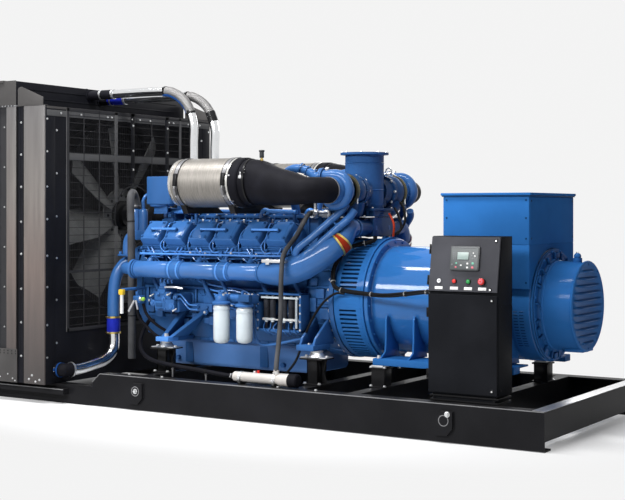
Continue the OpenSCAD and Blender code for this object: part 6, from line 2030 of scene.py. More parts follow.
def fan_blade(p, angle):
    """One broad cambered blade, twisted towards its root."""
    root, tip, half_tip = 0.15, 0.712, 0.5 * (rotor_high.x - rotor_low.x) / math.sin(math.radians(32)) - 0.006
    part = bmesh.new()
    grid = {}
    across, along = 8, 10
    for face in (0, 1):
        for i in range(along + 1):
            t = i / along
            r = root + (tip - root) * t
            half = 0.07 + (half_tip - 0.07) * min(1.0, t * 2.4) ** 0.7
            pitch = math.radians(40 - 8 * t)
            for j in range(across + 1):
                s = 2 * j / across - 1
                camber = 0.016 * (1 - s * s) + (0.0025 if face else -0.0025)
                side = vec(-math.sin(pitch), math.cos(pitch), 0) * (s * half)
                lift = vec(math.cos(pitch), math.sin(pitch), 0) * (camber - 0.008)
                grid[face, i, j] = part.verts.new(side + lift + vec(0, 0, r))
    for face in (0, 1):
        for i in range(along):
            for j in range(across):
                part.faces.new((grid[face, i, j], grid[face, i + 1, j], grid[face, i + 1, j + 1],
                    grid[face, i, j + 1]))
    edge = [(0, j) for j in range(across)] + [(i, across) for i in range(along)]
    edge += [(along, j) for j in range(across, 0, -1)] + [(i, 0) for i in range(along, 0, -1)]
    for a, b in zip(edge, edge[1:] + edge[:1]):
        part.faces.new((grid[0, a[0], a[1]], grid[0, b[0], b[1]], grid[1, b[0], b[1]], grid[1, a[0], a[1]]))
    bmesh.ops.recalc_face_normals(part, faces=part.faces)
    p.add(part, blade_grey, at(FAN) @ turned(angle, "X"))


def fan():
    """Eight-bladed fan on its spider and hub."""
    p = Piece("fan_wheel")
    for k in range(8):
        fan_blade(p, math.radians(45 * k + 8))
    p.lathe_x([(-0.055, 0), (-0.055, 0.1), (-0.045, 0.118), (0.045, 0.118), (0.055, 0.1), (0.055, 0)], FAN,
        black_steel, 48)
    p.lathe_x([(-0.008, 0.1), (-0.008, 0.213), (-0.006, 0.215), (0.006, 0.215), (0.008, 0.213),
        (0.008, 0.1)], FAN, blade_grey, 64)
    p.done("fan_grey", "fan_rotor", body="fan")
    places = ring(FAN + RIGHT * 0.008, RIGHT, 0.16, 16) + ring(FAN + RIGHT * 0.055, RIGHT, 0.075, 6)
    bolts("fan_bolts", places, 0.009, body="fan", slot="fan_grey", material=black_steel)


def fan_drive():
    """Fan bearing on its bracket, with the grooved pulley and shaft."""
    p = Piece("fan_bearing")
    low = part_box("fan_drive")[0]
    c = (0, 0, FAN.z)
    x = block_low.x
    p.lathe_x([(low.x, 0), (low.x, 0.088), (low.x + 0.012, 0.09), (low.x + 0.035, 0.09),
        (low.x + 0.037, 0.046), (x - 0.22, 0.046), (x - 0.22, 0.085)] + [(x - 0.215 + 0.006 * k,
        0.094 if k % 2 else 0.082) for k in range(12)] + [(x - 0.14, 0.075), (x - 0.07, 0.07),
        (x - 0.06, 0.06), (x - 0.06, 0)], c, black_steel, 56)
    p.prism_x([(-0.09, low.z), (0.09, low.z), (0.06, FAN.z), (0.03, FAN.z + 0.06), (-0.03, FAN.z + 0.06),
        (-0.06, FAN.z)], x - 0.095, x - 0.008, deep_paint, 0.008)
    p.done("engine_blue", "fan_drive")
    belts = []
    for k in range(4):
        bx = x - 0.206 + 0.012 * k
        loop = [vec(bx, -0.088, FAN.z), vec(bx, -0.19, CRANK + 0.02), vec(bx, -0.13, CRANK - 0.13),
            vec(bx, 0.13, CRANK - 0.13), vec(bx, 0.19, CRANK + 0.02), vec(bx, 0.088, FAN.z)]
        belts.append(loop)
    tubes("fan_belts", belts, 0.005, hose_rubber, 6, slot="black_rubber")


def core_front():
    """Front face of the core: tube plates, frame and protective bars."""
    p = Piece("core_front")
    x = core_low.x
    for y in (core_low.y + 0.03, core_high.y - 0.03):
        p.box((x - 0.012, y - 0.03, core_low.z), (x + 0.01, y + 0.03, core_high.z), box_paint, 0.003)
    for z in (core_low.z, (core_low.z + core_high.z) / 2 - 0.02, core_high.z - 0.04):
        p.box((x - 0.012, core_low.y, z), (x + 0.008, core_high.y, z + 0.04), box_paint, 0.003)
    p.done("core_fins")
    rods = [[(x - 0.006, y, core_low.z + 0.02), (x - 0.006, y, core_high.z - 0.02)]
        for y in spaced(core_low.y + 0.07, core_high.y - 0.07, 34)]
    tubes("core_front_bars", rods, 0.003, guard_paint, 6, slot="core_fins")
    columns = [[(x - 0.0006, y, core_low.z), (x - 0.0006, y, core_high.z)]
        for y in spaced(core_low.y + 0.02, core_high.y - 0.02, 90)]
    tubes("core_tubes", columns, 0.0035, fins, 6, slot="core_fins")


def upper_pipes():
    """Two bright coolant pipes over the fan, with rubber and blue sleeves, a braided slope and clamps."""
    p = Piece("upper_pipes")
    start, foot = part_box("upper_coolant_pipes")[0].x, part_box("upper_coolant_pipes")[0].z
    for k, (y, z, x) in enumerate(COOLANT_PIPES):
        route = [(start, y, z), (start + 0.2, y, z), (x - 0.33, y, z), (x - 0.18, y, z - 0.02),
            (x - 0.06, y, z - 0.11), (x, y, z - 0.26), (x, y, z - 0.42), (x, y, foot + 0.2), (x, y, foot)]
        path = curve(route, 8)
        last = len(path) - 1
        sleeve = ((0, 6, 0.036, hose_rubber), (5, 9, 0.0375, hose_rubber)) if k == 0 else ((0, 5, 0.036,
            hose_rubber), (5, 9, 0.0375, blue_rubber))
        for first, end, radius, material in sleeve + ((8, 19, 0.034, pipe_steel), (18, 36, 0.0355, braid),
                (36, last, 0.034, pipe_steel)):
            p.sweep(path[first:end + 1], radius, material, 28)
        for i, material in ((6, zinc), (9, zinc), (18, black_steel), (36, black_steel), (last - 2, zinc)):
            p.band_at(path, i, 0.0362, 0.014, material, (0, -1, 0.4), 40)
        if k == 0:
            strip = [q + vec(-0.01, -0.012, -0.024) for q in path[18:36]]
            p.sweep(strip, 0.016, steel_blue, 16)
        else:
            p.lathe([(-0.03, 0.0372), (-0.03, 0.0378), (0.05, 0.0378), (0.05, 0.0372), (-0.03, 0.0372)],
                facing(path[35], path[36] - path[35]), black_steel, 32)
        p.lathe([(0, 0.03), (0, 0.055), (0.014, 0.055), (0.014, 0.03)], at((x, y, foot)), cast_paint, 32)
    p.done("polished_pipe", "upper_coolant_pipes")


both("radiator_frame", radiator_side)
top_tank()
rear_frame()
fan_guard()
fan()
fan_drive()
core_front()
upper_pipes()


# ---- alternator ----

drum_low, drum_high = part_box("adaptor_drum")
barrel_low, barrel_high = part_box("alternator_barrel")
cowl_low, cowl_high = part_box("alternator_cowl")
box_low, box_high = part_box("terminal_box")
casing_low, casing_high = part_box("alternator_casing")
DRUM = drum_high.y - 0.012
BARREL = 0.368


def adaptor_drum():
    """Slotted drum between the flywheel housing and the alternator, with its double flange."""
    p = Piece("slotted_drum")
    x1, x2 = drum_low.x, drum_high.x
    a, b = x1 + 0.046, x2 - 0.062
    p.lathe_x([(x1, 0.3), (x1, DRUM - 0.008), (x1 + 0.004, DRUM - 0.002), (x1 + 0.01, DRUM), (a, DRUM),
        (a, DRUM - 0.014), (a, 0.3)], AXIS, alternator_paint, 128)
    p.lathe_x([(b, 0.3), (b, DRUM - 0.014), (b, DRUM), (x2 - 0.022, DRUM), (x2 - 0.02, DRUM + 0.01),
        (x2 - 0.018, DRUM + 0.012), (x2 - 0.002, DRUM + 0.012), (x2, DRUM + 0.01), (x2, 0.3)], AXIS,
        alternator_paint, 128)
    p.lathe_x([(a - 0.01, DRUM - 0.022), (b + 0.01, DRUM - 0.022)], AXIS, alternator_dark, 96)
    for side in (1, -1):
        patch = math.radians(8.0)
        part = [(a - 0.001, DRUM - 0.01), (a - 0.001, DRUM - 0.0005), (b + 0.001, DRUM - 0.0005),
            (b + 0.001, DRUM - 0.01)]
        p.lathe_x(part, AXIS, alternator_paint, 8, patch * 2, -math.pi / 2 * side - patch)
    p.done("alternator_blue", "adaptor_drum")
    bar = seed_mesh(lambda q: q.box((a - 0.002, -0.0085, DRUM - 0.016), (b + 0.002, 0.0085, DRUM),
        alternator_paint, 0.002, segments=1))
    wheel.run("drum_bars", bar, "root", "alternator_blue", Count=82, Step=math.tau / 82, Centre=AXIS,
        Material=alternator_paint)
    places = ring((x2 - 0.021, 0, CRANK), LEFT, DRUM + 0.002, 40, 0.04)
    places += ring((barrel_low.x + 0.031, 0, CRANK), RIGHT, 0.396, 24, 0.07)
    bolts("drum_bolts", places, 0.0075, slot="alternator_blue", material=alternator_paint)


def barrel():
    """Smooth stator barrel with its flange, rib plates, foot rails and vent slots."""
    p = Piece("stator_barrel")
    x1, x2 = barrel_low.x, barrel_high.x
    p.lathe_x([(x1, 0.3), (x1, DRUM - 0.002), (x1 + 0.002, DRUM), (x1 + 0.026, DRUM),
        (x1 + 0.03, DRUM - 0.004), (x1 + 0.03, BARREL + 0.004), (x1 + 0.036, BARREL - 0.001),
        (x2 - 0.13, BARREL - 0.001), (x2 - 0.128, BARREL + 0.001), (x2 - 0.006, BARREL + 0.001),
        (x2, BARREL - 0.006), (x2, 0.3)], AXIS, barrel_paint, 160)
    rail = barrel_low.z + 0.005
    for side in (1, -1):
        slab(p, side, (x1 + 0.105, x2 - 0.06), (0.38, 0.48), (rail, rail + 0.046), alternator_paint, 0.006)
        slab(p, side, (x1 + 0.105, x2 - 0.06), (0.25, 0.39), (rail + 0.034, rail + 0.046), alternator_cast,
            0.003)
        for dx in (0.15, 0.36, 0.73, 1.03):
            top = CRANK - 0.085
            web = [(0.47, rail + 0.045), (0.2, rail + 0.045), (0.25, CRANK - 0.2),
                (BARREL - 0.03, CRANK - 0.1), (BARREL - 0.002, top - 0.01), (BARREL + 0.012, top),
                (BARREL + 0.022, top - 0.03), (BARREL + 0.024, rail + 0.16), (0.4, rail + 0.085)]
            p.prism_x([(-side * y, z) for y, z in web], x1 + dx, x1 + dx + 0.013, alternator_paint, 0.003)
    p.done("alternator_blue", "alternator_barrel")
    slots = seed_mesh(lambda q: [q.box((x2 - x, -0.0035, BARREL - 0.001),
        (x2 - x + 0.03, 0.0035, BARREL + 0.0018), alternator_dark, 0.001, segments=1)
        for x in (0.115, 0.075)])
    for side in (1, -1):
        shape = slots.copy()
        shape.transform(turned(math.radians(94 if side > 0 else -132), "X"))
        wheel.run("barrel_vents_" + ("near" if side > 0 else "far"), shape, "root", "alternator_blue",
            Count=13, Step=math.radians(3.2), Centre=AXIS, Material=alternator_dark)
    places = [(out(side, x1 + 0.105 + dx, 0.455, rail + 0.046), UP) for side in (1, -1)
        for dx in (0.035, 0.79)]
    bolts("foot_rail_bolts", places, 0.013, 0.016)


def pedestals():
    """Pedestal boxes on the cross beams with silver pads, shims and holding bolts."""
    p = Piece("alternator_pedestal_boxes")
    low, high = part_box("alternator_pedestals")
    places = []
    for x in (low.x + 0.06, high.x - 0.06):
        for side in (1, -1):
            top = high.z - 0.015
            slab(p, side, (x - 0.05, x + 0.05), (0.38, 0.48), (low.z, top - 0.01), black_steel, 0.004)
            slab(p, side, (x - 0.06, x + 0.06), (0.37, 0.49), (top - 0.012, top), black_steel, 0.003)
            slab(p, side, (x - 0.06, x + 0.06), (0.37, 0.49), (low.z, low.z + 0.01), black_steel, 0.003)
            slab(p, side, (x - 0.05, x + 0.04), (0.39, 0.485), (top, high.z), cast_alloy, 0.003)
            for dx in (-0.052, 0.052):
                places.append((out(side, x + dx, 0.48, top), UP))
                places.append((out(side, x + dx, 0.48, low.z + 0.01), UP))
    p.done("mount_silver", "alternator_pedestals")
    bolts("pedestal_bolts", places, 0.01)


def casing():
    """Sheet casing over the barrel and the terminal box with its overhanging lid."""
    p = Piece("terminal_housing")
    x1, x2 = casing_low.x, casing_high.x
    y, z1, z2 = casing_high.y, casing_low.z, casing_high.z
    seat = BARREL + 0.002
    start = math.asin((z1 - CRANK) / seat)
    arc = [(seat * math.cos(a), CRANK + seat * math.sin(a)) for a in spaced(start, math.pi - start, 25)]
    outline = [(-y, z1), (-y, z2), (y, z2), (y, z1)] + arc
    p.prism_x(outline, x1, x2, terminal_paint, 0.0)
    for side in (1, -1):
        slab(p, side, (x1 + 0.002, x2 - 0.002), (y - 0.004, y + 0.0015), (z1 + 0.003, z2 - 0.002),
            terminal_paint, 0.0015)
        slab(p, side, (x1 + 0.002, x2 - 0.002), (y - 0.004, y + 0.0015), (z2 + 0.002, box_high.z - 0.028),
            terminal_paint, 0.0015)
    p.box((x1, -y, z2), (x2, y, box_high.z - 0.02), terminal_paint, 0.003)
    p.box(box_low + vec(0, 0, box_high.z - box_low.z - 0.016), box_high, terminal_paint, 0.004)
    p.box((x1 - 0.008, -y - 0.008, box_high.z - 0.024), (x2 + 0.008, y + 0.008, box_high.z - 0.014),
        alternator_dark, 0.001)
    for x, away in ((x1, -1), (x2, 1)):
        p.box((x - 0.001 if away > 0 else x - 0.003, -y + 0.006, z2 + 0.004),
            (x + 0.003 if away > 0 else x + 0.001, y - 0.006, box_high.z - 0.03), terminal_paint, 0.0015)
    p.done("alternator_blue", "alternator_casing", "terminal_box")
    places = []
    for side in (1, -1):
        places += [(out(side, x, y + 0.0015, z), vec(0, -side, 0)) for x in (x1 + 0.025, x2 - 0.022)
            for z in (z2 + 0.04, z2 + 0.17, z2 + 0.285)]
        places += [(out(side, x2 - 0.022, y + 0.0015, z1 + 0.04), vec(0, -side, 0))]
    places += [(vec(x2 + 0.003, y, z), RIGHT) for y in (-0.35, 0.35) for z in (z2 + 0.04, z2 + 0.28)]
    bolts("terminal_box_screws", places, 0.0052, 0.003, slot="alternator_blue", material=alternator_dark)


def end_bracket():
    """Cast end bracket: rolled rim, ribbed face and the seat of the cowl."""
    p = Piece("end_bracket_casting")
    low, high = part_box("alternator_end_bracket")
    r = high.y - 0.002
    p.lathe_x([(low.x, 0.25), (low.x, r - 0.008), (low.x + 0.004, r - 0.002), (low.x + 0.008, r),
        (low.x + 0.014, r), (low.x + 0.017, r - 0.004), (low.x + 0.018, r - 0.01),
        (low.x + 0.022, r - 0.006), (low.x + 0.026, r - 0.008), (low.x + 0.027, r - 0.02),
        (low.x + 0.022, r - 0.028), (low.x + 0.024, r - 0.062), (high.x - 0.004, r - 0.066),
        (high.x, r - 0.07), (high.x, 0.25)], AXIS, alternator_cast, 144)
    for k in range(18):
        a = math.tau * k / 18 + 0.09
        spot = polar((low.x + 0.03, 0, CRANK), r - 0.044, a)
        turn = at(spot) @ turned(a, "X")
        p.box((-0.01, -0.006, -0.024), (0.01, 0.006, 0.022), alternator_cast, 0.003, turn)
        if k % 3 == 0:
            p.box((-0.008, -0.026, -0.018), (0.008, 0.026, 0.016), alternator_cast, 0.006,
                turn @ at((0.0, 0.045, 0)))
    p.done("alternator_blue", "alternator_end_bracket")
    bolts("end_bracket_bolts", ring((low.x + 0.0265, 0, CRANK), RIGHT, r - 0.014, 16,
        0.2) + ring((high.x, 0, CRANK), RIGHT, r - 0.074, 8), 0.008, slot="alternator_blue",
        material=alternator_paint)


def scoop(p, wall, lip, z, half):
    """One pressed louvre: a curved hood that opens downwards and fades into the disc at its ends, with a rolled lip
    in a painted highlight and a strip of painted shadow under it.
    """
    part = bmesh.new()
    rows = []
    for i in range(17):
        u = i / 8 - 1
        bulge = (1 - abs(u) ** 3) ** 0.7
        reach = wall + (lip - wall) * bulge
        rows.append([part.verts.new((x, u * half, z + up)) for x, up in ((wall, 0.008),
            (wall + (reach - wall) * 0.55, 0.006), (reach, -0.004 * bulge), (reach, -0.0075 * bulge),
            (reach - 0.002 * bulge, -0.0075 * bulge), (wall, 0.004))])
    for a, b in zip(rows, rows[1:]):
        for j in range(6):
            part.faces.new((a[j], b[j], b[(j + 1) % 6], a[(j + 1) % 6]))
    part.faces.new(rows[0])
    part.faces.new(rows[-1][::-1])
    bmesh.ops.recalc_face_normals(part, faces=part.faces)
    p.add(part, louvre_paint)
    lips = [vec(wall + (lip - wall) * (1 - abs(k / 8 - 1) ** 3) ** 0.7 - 0.0022, (k / 8 - 1) * half,
        z - 0.0035) for k in range(1, 16)]
    # The lip rod is in the doubled engine blue, a painted highlight, and the strip under it is painted shadow.
    p.sweep(lips, 0.0018, highlight_blue_paint, 8)
    p.box((wall - 0.001, -half * 0.96, z - 0.016), (wall + 0.0006, half * 0.96, z - 0.004), alternator_dark,
        0.0002)


LOUVRE_PITCH = 0.046


def cowl():
    """Air inlet cowl and its end cap with eleven pressed louvres."""
    p = Piece("air_cowl")
    x1, x2 = cowl_low.x, cowl_high.x
    r = cowl_high.y
    cap = x2 - 0.036
    face = x2 - 0.014
    p.lathe_x([(x1, 0.2), (x1, r - 0.001), (x1 + 0.008, r - 0.001), (x1 + 0.014, r - 0.006),
        (cap - 0.002, r - 0.013), (cap, r - 0.01), (cap + 0.004, r - 0.003), (cap + 0.012, r),
        (face - 0.004, r - 0.004), (face, r - 0.014), (face - 0.004, r - 0.024), (face - 0.004, 0)], AXIS,
        alternator_paint, 144)
    for k in range(-5, 6):
        z = CRANK + k * LOUVRE_PITCH - 0.004
        half = math.sqrt(max(0.0, (r - 0.036) ** 2 - (abs(k) * LOUVRE_PITCH + 0.008) ** 2))
        scoop(p, face - 0.005, x2 - 0.0012, z, half)
    foot = CRANK - r
    p.box((cap - 0.11, -0.09, foot + 0.002), (face - 0.003, 0.09, foot + 0.03), alternator_paint, 0.006)
    knob = (x1 + 0.135, 0, CRANK + r - 0.014)
    p.rod(knob, Vector(knob) + UP * 0.03, 0.03, alternator_paint, 20)
    p.ball(Vector(knob) + UP * 0.04, 0.024, alternator_paint)
    p.rod(Vector(knob) + UP * 0.05, Vector(knob) + UP * 0.07, 0.01, zinc, 12)
    p.done("alternator_blue", "alternator_cowl")
    places = ring((face - 0.002, 0, CRANK), RIGHT, r - 0.022, 10, 0.3)
    bolts("cowl_screws", places, 0.0055, 0.003, slot="alternator_blue", material=alternator_paint)


adaptor_drum()
barrel()
pedestals()
casing()
end_bracket()
cowl()


# ---- control cabinet ----

body_low, body_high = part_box("cabinet_body")
lower_low, lower_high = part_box("cabinet_lower_door")
CAB = vec(lower_low.x + 0.012, lower_high.y + 0.006, body_low.z)
WIDE = body_high.x - CAB.x
HIGH = body_high.z - CAB.z
DEEP = body_high.y - CAB.y
LEAN = 0.056
PANEL = 0.344
TILT = math.atan(LEAN / PANEL)
SLOPE = PANEL / math.cos(TILT)
panel_place = at(CAB + vec(0, 0, HIGH - PANEL)) @ turned(-TILT, "X")
DOOR = -0.02
UPPER_HINGES = (0.04, PANEL - 0.11)
LOWER_HINGES = (0.14, HIGH - PANEL - 0.16)
GLAND_Y = -0.692


def cabinet_body():
    """Folded sheet cabinet with a stepped plinth, door frame, side seam and fixed hinge knuckles."""
    p = Piece("cabinet_shell")
    y0, z0 = CAB.y, CAB.z
    plinth = 0.05
    outline = [(y0, z0 + plinth), (y0 + DEEP, z0 + plinth), (y0 + DEEP, z0 + HIGH), (y0 + LEAN, z0 + HIGH),
        (y0, z0 + HIGH - PANEL)]
    for x in (CAB.x, CAB.x + WIDE - 0.006):
        p.prism_x(outline, x, x + 0.006, cabinet_coat, 0.002)
    p.box((CAB.x, y0 + DEEP - 0.006, z0 + plinth), (CAB.x + WIDE, y0 + DEEP, z0 + HIGH), cabinet_coat, 0.002)
    p.box((CAB.x, y0 + LEAN, z0 + HIGH - 0.006), (CAB.x + WIDE, y0 + DEEP, z0 + HIGH), cabinet_coat, 0.002)
    p.box((CAB.x, y0, z0 + plinth), (CAB.x + WIDE, y0 + DEEP, z0 + plinth + 0.006), cabinet_coat, 0.002)
    for z in (z0 + plinth + 0.004, z0 + HIGH - PANEL - 0.018):
        p.box((CAB.x + 0.004, y0, z), (CAB.x + WIDE - 0.004, y0 + 0.02, z + 0.022), cabinet_coat, 0.002)
    p.box((CAB.x + 0.004, y0 + LEAN + 0.001, z0 + HIGH - 0.024), (CAB.x + WIDE - 0.004, y0 + LEAN + 0.02,
        z0 + HIGH - 0.004), cabinet_coat, 0.002)
    for x in (CAB.x + 0.005, CAB.x + WIDE - 0.025):
        p.box((x, y0 + 0.001, z0 + plinth), (x + 0.02, y0 + 0.004, z0 + HIGH - PANEL), cabinet_coat, 0.001)
    p.box((CAB.x + 0.02, y0 + 0.012, z0), (CAB.x + WIDE - 0.02, y0 + DEEP, z0 + plinth + 0.002),
        cabinet_coat, 0.003)
    for z, lip in ((z0 + 0.002, 0.003), (z0 + 0.03, 0.004)):
        p.box((CAB.x + 0.002, y0 + 0.003, z), (CAB.x + WIDE - 0.002, y0 + DEEP - 0.004, z + 0.012),
            black_steel, lip)
    for place, heights in ((at(CAB), LOWER_HINGES), (panel_place, UPPER_HINGES)):
        for z in heights:
            p.lathe([(z, 0), (z, 0.005), (z + 0.03, 0.005), (z + 0.03, 0)], place @ at((-0.007, -0.013, 0)),
                black_steel, 16)
            p.box((-0.01, -0.013, z), (0.0005, 0.015, z + 0.03), black_steel, 0.001, place)
    p.done("cabinet_black", "cabinet_body")
    places = [(vec(x, y0 + 0.003, z0 + 0.021), NEAR) for x in (CAB.x + 0.03, CAB.x + WIDE - 0.03)]
    places += [(vec(CAB.x + WIDE, y, z), RIGHT) for y in (y0 + 0.03, y0 + DEEP - 0.03)
        for z in (z0 + 0.09, z0 + 0.6)]
    bolts("cabinet_screws", places, 0.006, 0.004, slot="cabinet_black", material=black_steel)
    glands = Piece("cabinet_glands")
    for z in (CRANK + 0.1, CRANK + 0.04):
        glands.lathe([(-0.002, 0), (-0.002, 0.026), (0.006, 0.026), (0.006, 0.021), (0.016, 0.021),
            (0.016, 0.0)], facing((CAB.x - 0.001, GLAND_Y, z), LEFT), black_steel,
            6 if z > CRANK + 0.08 else 24)
    glands.done("cabinet_black")


def door(name, node, body, place, bottom, top, locks, hinges, coat):
    """Folded sheet door with a rolled edge, quarter-turn locks and its hinge knuckles."""
    p = Piece(name)
    p.box((0.004, DOOR, bottom), (WIDE - 0.002, DOOR + 0.014, top), coat, 0.0035, place, 3)
    p.box((0.018, DOOR + 0.013, bottom + 0.014), (WIDE - 0.016, DOOR + 0.0165, top - 0.014), coat, 0.001,
        place)
    for x, z in locks:
        turn = place @ at((x, DOOR, z)) @ turned(math.pi / 2, "X")
        p.lathe([(-0.001, 0), (-0.001, 0.0115), (0.002, 0.0115), (0.0035, 0.01), (0.0035, 0.0065),
            (0.002, 0.006), (0.002, 0)], turn, black_steel, 28)
        p.lathe([(0.001, 0), (0.001, 0.0062), (0.0036, 0.0055), (0.0036, 0)], turn, zinc, 20)
    for z in hinges:
        z += 0.0303
        p.lathe([(z, 0), (z, 0.005), (z + 0.0297, 0.005), (z + 0.0297, 0)], place @ at((-0.007, -0.013, 0)),
            black_steel, 16)
        p.box((-0.007, -0.016, z), (0.0045, -0.01, z + 0.0297), black_steel, 0.001, place)
    p.done("cabinet_black", node, body=body)


def controls():
    """Controller with its display and keys, key switch, lamps, stop button and bare label plates."""
    p = Piece("controller_and_switches")
    place = panel_place
    x1, x2, z1, z2 = 0.145, 0.342, 0.13, 0.282
    w, h = x2 - x1, z2 - z1
    lay = place @ at((0, DOOR, 0)) @ turned(math.pi / 2, "X")
    p.prism(round_outline((x1, z1), (x2, z2), 0.01), 0.013, dark_plastic, 0.002, lay)
    p.prism(round_outline((x1 + 0.005, z1 + 0.005), (x2 - 0.005, z2 - 0.005), 0.008), 0.0168, mid_panel,
        0.0025, lay)
    p.box((x1 + w * 0.235, z1 + h * 0.42, 0.016), (x1 + w * 0.665, z1 + h * 0.78, 0.0176), dark_plastic,
        0.001, lay)
    p.box((x1 + w * 0.26, z1 + h * 0.45, 0.0172), (x1 + w * 0.64, z1 + h * 0.75, 0.018), screen_glass,
        0.0003, lay)
    p.box((x1 + w * 0.1, z2 - 0.014, 0.0165), (x2 - w * 0.1, z2 - 0.006, 0.0174), plate_grey, 0.0004, lay)
    keys = [(0.8, 0.72, white_plastic, 0.0045), (0.86, 0.6, white_plastic, 0.005),
        (0.74, 0.6, mid_plastic, 0.0045), (0.8, 0.49, mid_plastic, 0.0045),
        (0.09, 0.24, mid_plastic, 0.0055), (0.235, 0.3, mint_plastic, 0.006),
        (0.225, 0.14, pink_plastic, 0.006), (0.4, 0.22, white_plastic, 0.0055),
        (0.62, 0.29, white_plastic, 0.0065), (0.62, 0.13, white_plastic, 0.0065),
        (0.8, 0.3, mint_plastic, 0.0075), (0.795, 0.135, pink_plastic, 0.0075)]
    for u, v, material, size in keys:
        c = (x1 + w * u, z1 + h * v)
        p.prism(round_outline((c[0] - size, c[1] - size * 0.85), (c[0] + size, c[1] + size * 0.85),
            size * 0.5), 0.0183, material, 0.0006, lay)
    for k in range(4):
        p.box((x1 + w * 0.11, z1 + h * (0.46 + 0.08 * k), 0.0165), (x1 + w * 0.15,
            z1 + h * (0.485 + 0.08 * k), 0.0177), mid_plastic, 0.0003, lay)
    for x in (0.075, 0.18, 0.275, 0.37):
        p.box((x - 0.027, 0.013, 0), (x + 0.027, 0.031, 0.0016), white_plastic, 0.0005, lay)
    for x, material in ((0.18, glowing_red_plastic), (0.275, green_plastic)):
        spot = lay @ at((x, 0.065, 0))
        p.lathe([(0, 0), (0, 0.0165), (0.003, 0.0165), (0.0045, 0.0145), (0.0045, 0.0)], spot, black_steel,
            32)
        p.lathe([(0.003, 0), (0.003, 0.0125), (0.01, 0.0125), (0.0135, 0.0095), (0.014, 0.0)], spot,
            material, 32)
    spot = lay @ at((0.37, 0.065, 0))
    p.lathe([(0, 0), (0, 0.022), (0.004, 0.022), (0.007, 0.017), (0.016, 0.015), (0.018, 0.012),
        (0.018, 0)], spot, black_steel, 36)
    # The stop button's red plastic glows: painted light, as it is no lamp.
    p.lathe([(0.016, 0), (0.017, 0.0195), (0.022, 0.0205), (0.029, 0.0195), (0.0335, 0.012), (0.034, 0)],
        spot, glowing_red_plastic, 40)
    p.lathe([(0.0335, 0.006), (0.0343, 0.007), (0.0343, 0.013), (0.0325, 0.0145)], spot, pink_plastic, 36)
    spot = lay @ at((0.075, 0.065, 0))
    p.lathe([(0, 0), (0, 0.0135), (0.006, 0.0135), (0.0085, 0.011), (0.0085, 0.0065), (0.004, 0.006)], spot,
        zinc, 32)
    p.lathe([(0.004, 0.0065), (0.0045, 0)], spot, black_steel, 24)
    p.box((-0.0012, -0.006, 0.006), (0.0012, 0.006, 0.0135), zinc, 0.0004, spot)
    p.done("control_plastic", "panel_controls", body="upper_door")


# ---- cables ----

def loom():
    """Bundle of taped cables from the crossover round the drum to the cabinet, with pale ties and a branch to the heater."""
    x, z = drum_low.x, CRANK
    start = (support_high.x - 0.02, -0.2, support_low.z + 0.007)
    route = [start, (start[0], -0.2, start[2] - 0.02), (start[0] - 0.035, -0.215, z + 0.4),
        (x + 0.105, -0.24, z + 0.382), (x + 0.045, -0.275, z + 0.358), (x + 0.008, -0.33, z + 0.305),
        (x - 0.003, -0.388, z + 0.232), (x + 0.004, -0.43, z + 0.15), (x + 0.04, -0.45, z + 0.092),
        (x + 0.11, -0.456, z + 0.073), (x + 0.24, -0.466, z + 0.062), (x + 0.44, -0.492, z + 0.056),
        (x + 0.64, -0.56, z + 0.074), (x + 0.81, -0.64, z + 0.094), (CAB.x - 0.05, GLAND_Y, z + 0.1),
        (CAB.x - 0.0165, GLAND_Y, z + 0.1)]
    path = curve(route, 8)
    p = Piece("cable_bundle")
    for k, (reach, radius) in enumerate(((0.0085, 0.0082), (0.0085, 0.0075), (0.0088, 0.0078))):
        strand = []
        for i, point in enumerate(path):
            along = (path[min(i + 1, len(path) - 1)] - path[max(i - 1, 0)]).normalized()
            side = along.cross(UP).normalized()
            over = side.cross(along)
            a = math.tau * k / 3 + 0.055 * i
            fade = min(1.0, (len(path) - 1 - i) / 10)
            strand.append(point + (side * math.cos(a) + over * math.sin(a)) * reach * (0.3 + 0.7 * fade))
        p.sweep(strand, radius, loom_rubber, 12)
    for i in (20, 38, 58, 70, 84, 96, 108, 114):
        p.band_at(path, i, 0.0168, 0.006, tie_plastic, None, 20)
        p.box((-0.004, -0.003, -0.002), (0.004, 0.003, 0.009), tie_plastic, 0.0008,
            facing(path[i] + NEAR * 0.0165, NEAR))
    p.done("black_rubber", "cable_loom")
    branch = shifted((x, 0, z), [(0.115, -0.459, 0.055), (0.04, -0.462, 0.05), (-0.04, -0.478, -0.01),
        (-0.1, -0.5, -0.1), (-0.15, -0.52, -0.21), (-0.176, -0.54, -0.3), (-0.182, -0.6, -0.4),
        (-0.185, -0.7, -0.47), (-0.19, -0.775, -0.505)])
    tubes("heater_lead", [curve(branch, 6)], 0.0085, loom_rubber, 10, slot="black_rubber")


# ---- skid ----

rail_low, rail_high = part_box("skid_rail_near")
beam_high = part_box("skid_end_beam")[1]
RAIL = -rail_low.y
WEB = 0.883
LUGS = (rail_low.x + 0.36, rail_high.x - 0.71)


